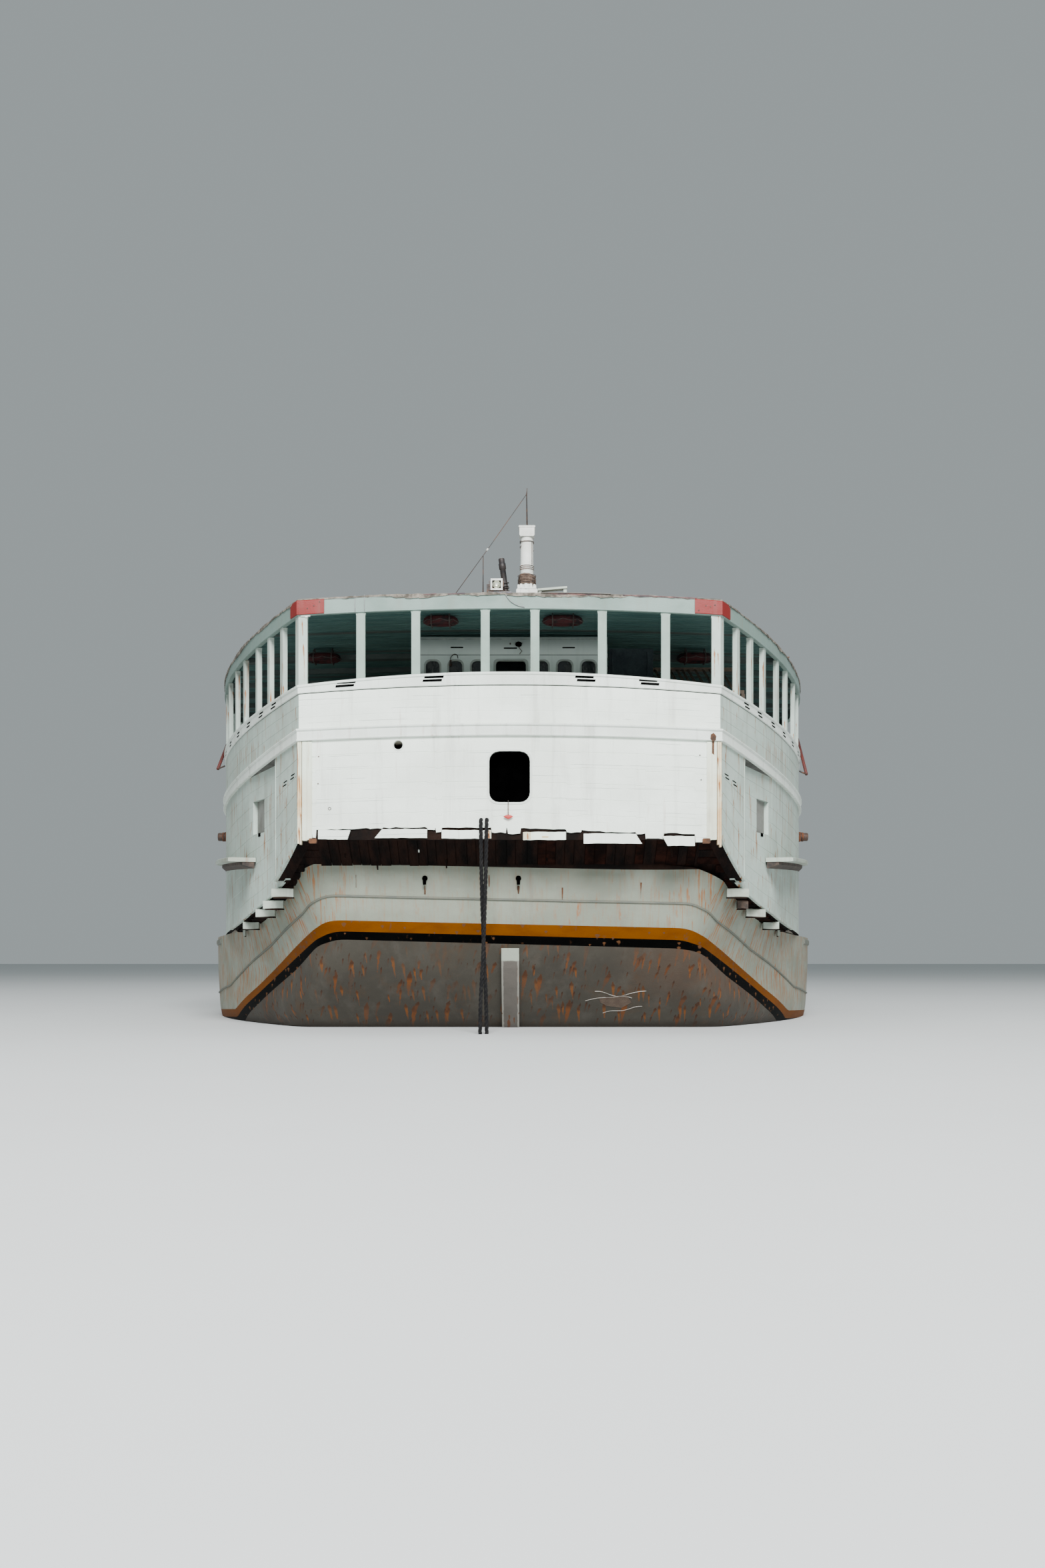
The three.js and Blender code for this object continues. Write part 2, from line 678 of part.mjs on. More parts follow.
// Deckhouse on the upper deck, up to the roof: a wall on each side, with its end walls between them.
// The after wall has a doorway and tall windows.
const DECKHOUSE = { half: 1620, u: [2000, 20000], top: 6540, heads: 6140 };
const DECKHOUSE_WINDOWS_X = [
  [-1418, -1187], [-1029, -808], [-650, -440], [420, 629], [786, 1024], [1187, 1423],
];
const DECKHOUSE_DOOR_X = [-246, 256];
const DECKHOUSE_SIDE_WINDOWS = { first: 4200, pitch: 1750, count: 9, width: 650, z: [5150, 5900] };
const DECKHOUSE_SIDE_DOOR = { u: [19100, 19750], z: [4450, 6050] };

function makeDeckhouse() {
  const { half, u, top, heads } = DECKHOUSE;
  const floor = (at) => upperFloor(at) + GAP;
  const edge = half - WALL - GAP;
  const endWall = (from) =>
    run({ from, to: from + WALL, inner: -edge, outer: edge, low: floor, high: top });
  const through = [u[0] - 200, u[0] + 200];
  const lights = DECKHOUSE_WINDOWS_X.map((x) => block(x, through, [5400, heads]));
  lights.push(block(DECKHOUSE_DOOR_X, through, [floor(u[0]) + 120, heads]));
  add("deckhouse_after_wall", cut(endWall(u[0]), lights), "white_paint");
  add("deckhouse_fore_wall", endWall(u[1] - WALL), "white_paint");

  const { first, pitch, count, width, z } = DECKHOUSE_SIDE_WINDOWS;
  for (const [side, name] of SIDES) {
    const wall = run({
      side, from: u[0], to: u[1], inner: half - WALL, outer: half, low: floor, high: top,
    });
    const across = [side * half - 200, side * half + 200];
    const holes = [block(across, DECKHOUSE_SIDE_DOOR.u, DECKHOUSE_SIDE_DOOR.z)];
    for (let i = 0; i < count; i++) {
      const at = first + i * pitch;
      holes.push(block(across, [at, at + width], z));
    }
    add("deckhouse_wall_" + name, cut(wall, holes), "white_paint");
  }
}

// Wheelhouse forward of the roof, with a door on each side
const WHEELHOUSE = { half: 2600, u: [26300, 29900], top: 7150, thick: 70 };
const DOOR = { u: [27000, 27750], high: 6550, knuckle: 16, clear: 6, pinPast: 10 };

function makeWheelhouse() {
  const { half, u, top, thick } = WHEELHOUSE;
  const floor = (at) => upperFloor(at) + GAP;
  const walls = SIDES.map(([side]) =>
    run({ side, from: u[0], to: u[1], inner: half - thick, outer: half, low: floor, high: top }),
  );
  const ends = [[u[0], u[0] + thick], [u[1] - thick, u[1]]].map(([from, to]) =>
    run({ from, to, inner: -half + 10, outer: half - 10, low: floor, high: top }),
  );
  const doorLow = floor(DOOR.u[1]) + 150;
  const holes = [];
  for (const [side] of SIDES) {
    const wall = [side * half - 200, side * half + 200];
    holes.push(block(wall, DOOR.u, [doorLow, DOOR.high]));
    holes.push(block(wall, [28150, 28850], [5700, 6600]), block(wall, [29000, 29700], [5700, 6600]));
  }
  for (let i = 0; i < 5; i++) {
    const x = -2350 + i * 960;
    holes.push(block([x, x + 860], [u[1] - 200, u[1] + 200], [5750, 6600]));
  }
  for (const x of [-1900, 1100]) {
    holes.push(block([x, x + 800], [u[0] - 200, u[0] + 200], [5750, 6550]));
  }
  add("wheelhouse", cut(join([...walls, ...ends]), holes), "white_paint");
  const roof = block([-half - 250, half + 250], [u[0] - 200, u[1] + 450], [top + GAP, top + 90]);
  add("wheelhouse_roof", roof, "white_paint");
  for (const [side, name] of SIDES) makeWheelhouseDoor(side, name, doorLow);
}

// A door leaf in its opening, hung on a knuckle along the wall's outer face at its forward edge
function makeWheelhouseDoor(side, name, low) {
  const { half, thick } = WHEELHOUSE;
  const { u, high, knuckle, clear, pinPast } = DOOR;
  const faces = [side * (half - thick + 20), side * half].sort((a, b) => a - b);
  const leaf = block(faces, [u[0] + clear, u[1] - clear], [low + clear, high - clear]);
  const heights = [low + 120, high - 120];
  const pin = rod("z", knuckle, heights, side * (half + knuckle + PIN_GAP), u[1] + pinPast, 0);
  const limits = (x) => x.map((v) => side * (half + v)).sort((a, b) => a - b);
  const strap = block(limits([-10, 22]), [u[1] - clear - 40, u[1] - clear], heights);
  const bridge = block(limits([5, 22]), [u[1] - clear - 20, u[1] + pinPast], heights);
  const through = [side * half - 200, side * half + 200];
  const light = block(through, [u[0] + 170, u[1] - 170], [high - 900, high - 250]);
  add("wheelhouse_door_" + name, join([leaf, strap, bridge, pin]).subtract(light), "white_paint");
}

function makeFunnel() {
  const u = 13000;
  const base = roofAt(0, u);
  const body = loft(
    [[base, 1300, 700], [base + 1700, 1150, 600], [base + 1900, 1150, 600]].map(([z, long, wide]) => [
      [-wide, STERN_Y + u - long, z], [wide, STERN_Y + u - long, z],
      [wide, STERN_Y + u + long, z], [-wide, STERN_Y + u + long, z],
    ]),
  );
  const pipes = [-280, 280].map((x) => rod("z", 130, [base + 1800, base + 2350], x, u, 0));
  add("funnel", join([body, ...pipes]), "white_paint");
}

function makeForemast() {
  const { u, top } = WHEELHOUSE;
  const foot = top + 90 + GAP;
  const at = u[0] + 900;
  const solids = [
    rod("z", 90, [foot, foot + 3600], 0, at, 0, 12, 55),
    rod("x", 35, [-1100, 1100], 0, at, foot + 2600),
    rod("x", 30, [-600, 600], 0, at, foot + 3150),
    box(340, 340, 40, 0, at, foot + 20),
  ];
  add("foremast", join(solids), "white_paint");
}

// Gear on the foredeck
const foreFloor = (u) => hullDeck(u) + DECK_THICK + GAP;
const HATCH = { half: 900, u: [32000, 33700], high: 430, rim: 80 };

function makeForeHatch() {
  const { half, u, high, rim } = HATCH;
  const top = foreFloor(u[1]) + high;
  const walls = SIDES.map(([side]) =>
    run({ side, from: u[0], to: u[1], inner: half - rim, outer: half, low: foreFloor, high: top }),
  );
  const ends = [[u[0], u[0] + rim], [u[1] - rim, u[1]]].map(([from, to]) =>
    run({ from, to, inner: -half + 10, outer: half - 10, low: foreFloor, high: top }),
  );
  const lugs = SIDES.map(([side]) =>
    block([side * 600 - 60, side * 600 + 60], [u[1] - 10, u[1] + 84], [top - 120, top + 5 - PIN_GAP]),
  );
  add("fore_hatch", join([...walls, ...ends, ...lugs]), "white_paint");
  const lid = block([-half - 40, half + 40], [u[0] - 40, u[1] + 40], [top + 5, top + 65]);
  const pin = rod("x", 22, [-half, half], 0, u[1] + 40 + 22, top + 5 + 22, 12);
  const web = block([-half, half], [u[1] + 20, u[1] + 62], [top + 8, top + 40]);
  add("fore_hatch_lid", join([lid, pin, web]), "white_paint");
}

function makeWindlass() {
  const u = 35000;
  const floor = foreFloor(u + 300);
  const bed = block([-700, 700], [u - 300, u + 300], [floor, floor + 120]);
  const cheeks = SIDES.map(([side]) =>
    block([side * 600 - 60, side * 600 + 60], [u - 200, u + 200], [floor + 60, floor + 700]),
  );
  const drum = rod("x", 160, [-950, 950], 0, u, floor + 520, 16);
  add("windlass", join([bed, ...cheeks, drum]), "steel");
}

function makeBowBulwark() {
  const strips = SIDES.map(([side]) =>
    run({
      side, from: HOUSE_END_U + GAP, to: LENGTH - 60,
      inner: (u) => Math.max(-20, hullTopHalf(u) - BULWARK - BULWARK_INSET),
      outer: (u) => Math.max(20, hullTopHalf(u) - BULWARK_INSET),
      low: hullDeck, high: (u) => hullTop(u) + 950,
    }),
  );
  add("bow_bulwark", join(strips), "white_paint");
}

function makeAnchor(side, name) {
  const u = 35900;
  const [flatFrom, flatTo] = [35000, 37000];
  const taper = Math.atan2(hullTopHalf(flatFrom) - hullTopHalf(flatTo), flatTo - flatFrom);
  const limits = [
    [90, [-45, 45], [-350, 380]],
    [110, [-320, 320], [-400, -300]],
    [90, [-320, -250], [-350, -120]],
    [90, [250, 320], [-350, -120]],
  ];
  const parts = limits.map(([out, [y0, y1], [z0, z1]]) => {
    const geometry = new THREE.BoxGeometry(out, y1 - y0, z1 - z0);
    geometry.translate(side * (out / 2 + GAP), (y0 + y1) / 2, (z0 + z1) / 2);
    return solid(geometry);
  });
  const mesh = add("anchor_" + name, join(parts), "steel");
  mesh.rotation.z = side * taper;
  mesh.position.set(side * (hullTopHalf(u) - BULWARK_INSET), STERN_Y + u, hullTop(u) + 480);
}

// Boards that carry the gallery's overhang on each quarter. Columns: place and outer end
const BRACKETS = [
  [1230, 3870],
  [1740, 4090],
  [2200, 4290],
  [3200, 4680],
  [4200, 5020],
];

function makeBrackets(side, name) {
  const flange = run({
    side, from: 300, to: 4780,
    inner: (u) => houseHalf(u) - WALL - wallInset(u), outer: (u) => houseHalf(u) + 15,
    low: (u) => wallLow(u) - 45, high: (u) => wallLow(u) - GAP,
  });
  const boards = BRACKETS.map(([u, outer]) => {
    const ends = [side * (hullTopHalf(u + 60) + GAP), side * outer].sort((a, b) => a - b);
    const top = Math.min(wallLow(u + 60), hullTop(u + 60)) - 10;
    return block(ends, [u - 60, u + 60], [top - 170, top]);
  });
  add("brackets_" + name, join([flange, ...boards]), "white_paint");
}

// Plank ends under the stern wall, on the ledger behind them. Columns: both ends across
const PLANK_ENDS = [[-3000, -2490], [-2080, -1270], [-1060, -270], [200, 870], [1140, 2050], [2380, 2880]];

function makeSternLedger() {
  const low = wallLow(0);
  const ledger = block([-3000, 3000], [-70, -GAP], [low + 60, low + 170]);
  const planks = PLANK_ENDS.map((x) => block(x, [-60, -20], [low - 150, low + 100]));
  add("stern_ledger", join([ledger, ...planks]), "white_paint");
}

// A guard on each side that ends square at the quarter. Each pair is its after and its fore end
const LEDGE = { u: [2300, 7000], proud: [450, 120], low: [2690, 2900], tall: 180 };

function makeLedge(side, name) {
  const between = ([after, fore], u) => {
    const share = (u - LEDGE.u[0]) / (LEDGE.u[1] - LEDGE.u[0]);
    return after + (fore - after) * share;
  };
  const ledge = run({
    side, from: LEDGE.u[0], to: LEDGE.u[1],
    inner: (u) => houseHalf(u) + GAP, outer: (u) => houseHalf(u) + between(LEDGE.proud, u),
    low: (u) => between(LEDGE.low, u), high: (u) => between(LEDGE.low, u) + LEDGE.tall,
  });
  add("ledge_" + name, ledge, "white_paint");
}

// Gear on the roof's stern edge
function makeRoofGear() {
  const u = 150;
  const post = { x: 263, radius: 105, height: 900 };
  const foot = roofAt(post.x - post.radius, u - post.radius);
  const column = [
    rod("z", post.radius, [foot, foot + post.height], post.x, u, 0),
    box(235, 235, 130, post.x, u, foot + post.height + 60),
    rod("z", 12, [foot + post.height + 100, foot + 1690], post.x + 15, u, 0, 8),
    box(330, 230, 60, post.x, u, foot + 30),
  ];
  const wideFoot = roofAt(post.x - 165, u - 115);
  add("light_post", join(column).translate([0, 0, wideFoot - foot]), "white_paint");
  add("leaning_pipe", leaningPipe(-80, -130, 250, roofAt(0, 175)), "steel");
  const lampFoot = roofAt(-305, 70);
  const lamp = [
    block([-310, -90], [60, 130], [lampFoot + 40, lampFoot + 240]),
    rod("z", 25, [lampFoot, lampFoot + 60], -330, 95, 0, 8),
    block([-350, -280], [80, 110], [lampFoot + 40, lampFoot + 100]),
  ];
  add("floodlight", join(lamp), "steel");
  const whipFoot = roofAt(-390, 130);
  add("antenna", rod("z", 10, [whipFoot, whipFoot + 640], -410, 150, 0, 8), "steel");
}

function leaningPipe(footX, topX, u, foot) {
  const pipe = new THREE.CylinderGeometry(50, 50, 660, 12).rotateX(Math.PI / 2);
  pipe.rotateY(Math.atan2(topX - footX, 600));
  const leaning = placed(pipe, (footX + topX) / 2, u, foot + 330 + 10);
  return leaning.add(box(150, 150, 60, footX, u, foot + 30));
}

// Oval floats strapped under the ceiling. Columns: name, place across, along, half length, drop
const FLOATS = [
  ["float_port_inner", -1110, 900, 290, 12],
  ["float_starboard_inner", 845, 900, 330, 12],
  ["float_port_outer", -3260, 3050, 310, 85],
  ["float_starboard_outer", 3200, 3050, 330, 85],
];

function makeFloats() {
  for (const [name, x, u, half, drop] of FLOATS) {
    const [deep, high] = [220, 150];
    const ceiling = (at) => {
      const share = (Math.abs(at) + 25) / houseHalf(u + 20);
      return roofSkinLow(u + 20) + CAMBER.roof * crown(share) - GAP;
    };
    const top = ceiling(Math.abs(x) + half) - drop;
    const body = new THREE.CylinderGeometry(1, 1, 1, 20).rotateX(Math.PI / 2);
    body.scale(half, deep, high);
    const straps = [x - half / 2, x + half / 2].map((at) =>
      block([at - 25, at + 25], [u - 20, u + 20], [top - 40, ceiling(at)]),
    );
    add(name, join([placed(body, x, u, top - high / 2), ...straps]), "red_foam");
  }
}

// Two ropes that come out of the stern wall and hang into the water. Columns of a route: x, u and z
const ROPE_RADIUS = 32;
const ROPES = {
  rope_port: [
    [-440, -GAP, 3300], [-440, -50, 3300], [-440, -92, 3285], [-440, -120, 3245], [-439, -130, 3190],
    [-430, -130, 2400], [-395, -130, 1300], [-360, -130, 500], [-345, -130, -350],
  ],
  rope_starboard: [
    [-350, -GAP, 3300], [-350, -75, 3300], [-350, -125, 3290], [-350, -167, 3262], [-350, -195, 3220],
    [-351, -205, 3170], [-365, -205, 2400], [-400, -208, 1300], [-440, -212, 500], [-455, -215, -350],
  ],
};

function makeRopes() {
  for (const [name, route] of Object.entries(ROPES)) {
    const points = route.map(([x, u, z]) => new THREE.Vector3(x, STERN_Y + u, z));
    const section = new THREE.Shape();
    section.absarc(0, 0, ROPE_RADIUS, 0, 2 * Math.PI);
    const tube = new THREE.ExtrudeGeometry(section, {
      steps: 40,
      curveSegments: 4,
      extrudePath: new THREE.CatmullRomCurve3(points),
    });
    add(name, solid(tube), "rope");
  }
}

makeHull();
makeKeel();
makeSternPost();
makeRudder();
for (const [side, name] of SIDES) {
  makePropeller(side, name);
  makeShaft(side, name);
}
makeEngines();
makeDecks();
makeSternWall();
makeFrontWall();
makeBelt();
makeSternUpperworks();
for (const [side, name] of SIDES) {
  makeSideWall(side, name);
  makeSideUpperworks(side, name);
  makeLedge(side, name);
  makeBrackets(side, name);
}
makeRoof();
makeFascia();
makeDeckhouse();
makeWheelhouse();
makeFunnel();
makeForemast();
makeForeHatch();
makeWindlass();
makeBowBulwark();
for (const [side, name] of SIDES) makeAnchor(side, name);
makeSternLedger();
makeRoofGear();
makeFloats();
makeRopes();

export default ferry;
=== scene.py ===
"""The passenger ferry's looks. Metres, X to starboard, Y forward, Z up, the waterline at Z = 0."""
import math
import random

import bmesh
import bpy
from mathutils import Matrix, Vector


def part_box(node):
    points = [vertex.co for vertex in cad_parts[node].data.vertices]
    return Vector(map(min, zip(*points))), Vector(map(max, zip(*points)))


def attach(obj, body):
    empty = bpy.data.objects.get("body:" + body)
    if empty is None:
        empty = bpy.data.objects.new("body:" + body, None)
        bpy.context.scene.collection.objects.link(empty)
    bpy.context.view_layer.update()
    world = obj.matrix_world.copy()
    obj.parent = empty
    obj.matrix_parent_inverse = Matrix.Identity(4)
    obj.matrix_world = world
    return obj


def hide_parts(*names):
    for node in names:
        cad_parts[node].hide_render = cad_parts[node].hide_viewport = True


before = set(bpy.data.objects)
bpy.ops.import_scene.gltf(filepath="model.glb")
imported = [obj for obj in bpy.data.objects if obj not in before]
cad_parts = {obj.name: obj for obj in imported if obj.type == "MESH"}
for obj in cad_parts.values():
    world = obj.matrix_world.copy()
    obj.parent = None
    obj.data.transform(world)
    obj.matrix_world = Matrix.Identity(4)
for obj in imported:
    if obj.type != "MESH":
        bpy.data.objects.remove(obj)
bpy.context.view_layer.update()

# Driving dimensions, the same as the solids'. A place along the ship is u, from the stern wall.
STERN_Y = -19.5
LENGTH = 39.0
WALL = 0.08
TRANSOM_HALF = 3.26
HOUSE_HALF = 6.0
HOUSE_FULL_U = 10.4
HOUSE_TAPER_U = 24.0
HOUSE_END_U = 31.0
ROOF_END_U = 25.5
HULL_STERN_U = 0.85
SHEER_START_U = 22.0
DECK_SIDE_Z = 1.6
PANEL_U = 1.05
INSET_END_U = 2.7
WALL_INSET = 0.15
STERN_LINES_END_U = 6.8
EDGE_CAMBER = 0.10
# The wall's lower edge and the hull's top rise towards the stern: by how much, and how soon it fades
WALL_RISE, WALL_FADE = 1.44, 1.8
HULL_RISE, HULL_FADE = 1.14, 1.5
# The house's plan: how it widens from the stern, how that bends in, and how it narrows forward
PLAN_FLARE, PLAN_BEND, PLAN_NARROWING = 0.525, 0.02515, 0.028

# Height lines: at the stern's corner, along the side, and the rise to the centreline astern
HEIGHTS = {
    "belt": (4.51, 4.10, 0.09),
    "groove": (5.25, 5.01, 0.14),
    "sill": (5.38, 5.21, 0.21),
    "fascia": (6.45, 6.33, 0.11),
    "roof": (6.69, 6.54, 0.10),
}
# Camera: the photograph's place astern and its height above the water. It looks level, with the
# horizon as far below the picture's middle as in the photograph, so upright lines stay upright.
CAMERA = {"x": 0.2, "astern": 24.2, "z": 1.12, "lens": 35.97, "shift": 0.113}


def sheer(u):
    return (max(0.0, u - SHEER_START_U) / (LENGTH - SHEER_START_U)) ** 2


def height(line, u, x=None):
    """A height line at a place along the side, or across the stern where x is given."""
    corner, side, camber = HEIGHTS[line]
    if x is not None:
        return corner + camber * (1 - min(1.0, abs(x) / TRANSOM_HALF) ** 2)
    return side + (corner - side) * max(0.0, 1 - u / STERN_LINES_END_U) ** 2 + sheer(u)


def wall_low(u, x=None):
    """The lower edge of the house's wall."""
    if x is not None:
        return DECK_SIDE_Z + WALL_RISE + EDGE_CAMBER * (1 - min(1.0, abs(x) / TRANSOM_HALF) ** 2)
    return DECK_SIDE_Z + 0.0005 + WALL_RISE * math.exp(-u / WALL_FADE) + sheer(u)


def house_half(u):
    if u < HOUSE_FULL_U:
        u = max(u, 0.0)
        return min(HOUSE_HALF, TRANSOM_HALF + PLAN_FLARE * u - PLAN_BEND * u ** 2)
    return HOUSE_HALF - PLAN_NARROWING * max(0.0, u - HOUSE_TAPER_U) ** 2


def house_slope(u):
    step = 0.02
    return (house_half(u + step) - house_half(max(0.0, u - step))) / (step + min(u, step))


def hull_top(u):
    return DECK_SIDE_Z + HULL_RISE * math.exp(-(max(u, HULL_STERN_U) - 0.8) / HULL_FADE) + sheer(u)


def smooth(a, b, x):
    t = min(1.0, max(0.0, (x - a) / (b - a)))
    return t * t * (3 - 2 * t)


def turns(count, start=0.0, closed=False):
    """Angles at even steps of a full turn, with the first one again at the end if it is closed."""
    return [start + 2 * math.pi * k / count for k in range(count + closed)]


# Mesh helpers
def piece(name, verts, faces, materials, body="root", slot=None, replaces=(), indices=None, flat=True):
    """A mesh piece that rides on a body. Faces take their material from indices."""
    mesh = bpy.data.meshes.new(name)
    mesh.from_pydata([tuple(v) for v in verts], [], faces)
    obj = bpy.data.objects.new(name, mesh)
    bpy.context.scene.collection.objects.link(obj)
    for material in materials if isinstance(materials, (list, tuple)) else [materials]:
        mesh.materials.append(material)
    if indices:
        mesh.polygons.foreach_set("material_index", indices)
    mesh.validate()
    face_outwards(mesh)
    if not flat:
        mesh.polygons.foreach_set("use_smooth", [True] * len(mesh.polygons))
    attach(obj, body)
    if replaces:
        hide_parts(*replaces)
    return obj


def face_outwards(mesh):
    work = bmesh.new()
    work.from_mesh(mesh)
    bmesh.ops.remove_doubles(work, verts=work.verts, dist=1e-5)
    bmesh.ops.recalc_face_normals(work, faces=work.faces)
    work.to_mesh(mesh)
    work.free()


class Build:
    """Collects several closed bodies into the lists of one mesh."""

    def __init__(self):
        self.verts, self.faces, self.indices = [], [], []

    def add(self, verts, faces, index=0):
        base = len(self.verts)
        self.verts.extend(Vector(v) for v in verts)
        self.faces.extend([base + i for i in face] for face in faces)
        self.indices.extend([index] * len(faces))

    def rings(self, rings, index=0, closed=True, caps=True):
        """A body through rings of equally many points."""
        count = len(rings[0])
        verts = [v for ring in rings for v in ring]
        faces = []
        for r in range(len(rings) - 1):
            for i in range(count if closed else count - 1):
                a, b = r * count + i, r * count + (i + 1) % count
                faces.append([a, b, b + count, a + count])
        if caps:
            last = (len(rings) - 1) * count
            faces.append(list(range(count))[::-1])
            faces.append([last + i for i in range(count)])
        self.add(verts, faces, index)

    def block(self, low, high, index=0, bevel=0.0):
        """A box by two opposite corners, in X, u and Z, with its long edges taken off."""
        (x0, x1), (u0, u1), (z0, z1) = (sorted(pair) for pair in zip(low, high))
        c = bevel
        outline = [(x0, z0), (x1, z0), (x1, z1), (x0, z1)]
        if c:
            outline = [(x0 + c, z0), (x1 - c, z0), (x1, z0 + c), (x1, z1 - c)]
            outline += [(x1 - c, z1), (x0 + c, z1), (x0, z1 - c), (x0, z0 + c)]
        self.rings([[(x, STERN_Y + u, z) for x, z in outline] for u in (u0, u1)], index)

    def tube(self, points, radius, sides=10, index=0):
        """A round bar along points given in X, Y and Z; radius may be one for each point."""
        points = [Vector(p) for p in points]
        radii = radius if isinstance(radius, (list, tuple)) else [radius] * len(points)
        rings = []
        side = None
        for i, point in enumerate(points):
            ahead = (points[min(i + 1, len(points) - 1)] - points[max(i - 1, 0)]).normalized()
            if side is None:
                side = ahead.orthogonal().normalized()
            side = (side - ahead * side.dot(ahead)).normalized()
            other = ahead.cross(side)
            rings.append([point + radii[i] * (side * math.cos(t) + other * math.sin(t))
                          for t in turns(sides)])
        self.rings(rings, index)

    def make(self, name, materials, **more):
        return piece(name, self.verts, self.faces, materials, indices=self.indices, **more)


class Place:
    """A point of the house's plan, with the direction outwards."""

    def __init__(self, x, u, out_x, out_u, stern):
        self.x, self.u, self.out_x, self.out_u, self.stern = x, u, out_x, out_u, stern

    def at(self, out, z):
        return (self.x + self.out_x * out, STERN_Y + self.u + self.out_u * out, z)

    def on_wall(self, along_wall, out, z):
        """A point of the flat wall there: to starboard on the stern and forward on a side, and outwards."""
        flat = Vector((1.0, 0.0))
        if not self.stern:
            flat = Vector((-self.out_u, self.out_x))
            flat = flat if flat.y > 0 else -flat
        x, y, _ = self.at(out, z)
        return (x + flat.x * along_wall, y + flat.y * along_wall, z)

    def line(self, name):
        return height(name, self.u, self.x if self.stern else None)

    def low(self):
        return wall_low(self.u, self.x if self.stern else None)


def side_place(side, u, inset=0.0):
    slope = house_slope(u)
    length = math.hypot(1.0, slope)
    return Place(side * (house_half(u) - inset), u, side / length, -slope / length, False)


def stern_place(x):
    return Place(x, 0.0, 0.0, -1.0, True)


def spaced(start, end, step):
    count = max(1, round((end - start) / step))
    return [start + (end - start) * i / count for i in range(count + 1)]


CURVED_END_U = 11.0


def side_steps(start, end):
    """Places along a side, closer together where the plan curves."""
    near = spaced(start, min(end, CURVED_END_U), 0.22) if start < CURVED_END_U else []
    far = spaced(max(start, CURVED_END_U), end, 0.6) if end > CURVED_END_U else []
    return sorted({round(u, 4) for u in near + far})


def side_path(side, start, end, extra=()):
    steps = sorted(set(side_steps(start, end)) | set(extra))
    return [side_place(side, u) for u in steps]


def stern_path(half, step=0.2, extra=()):
    steps = sorted(set(spaced(-half, half, step)) | set(extra))
    return [stern_place(x) for x in steps]


def round_path(end, extra_u=(), extra_x=()):
    """The house's plan from the port side, round the stern's two mitred corners, to starboard."""
    slope = house_slope(0.0)
    side_out = Vector((1.0, -slope)).normalized()
    middle = (side_out + Vector((0.0, -1.0))).normalized()
    mitre = middle / middle.dot(side_out)
    port = side_path(-1, 0.22, end, extra_u)[::-1]
    starboard = side_path(1, 0.22, end, extra_u)
    corners = [Place(s * TRANSOM_HALF, 0.0, s * mitre.x, mitre.y, True) for s in (-1, 1)]
    return port + [corners[0]] + stern_path(TRANSOM_HALF - 0.05, 0.2, extra_x) + [corners[1]] + starboard


def sweep(path, section):
    """Rings along a path; section gives closed points (out, z) for a place."""
    return [[place.at(out, z) for out, z in section(place)] for place in path]


# Materials. Their coordinates are the ship's own metres, so a pattern runs on from piece to piece.
RUST = (0.30, 0.095, 0.018)
DARK_RUST = (0.085, 0.033, 0.016)
GRIME = (0.20, 0.185, 0.15)


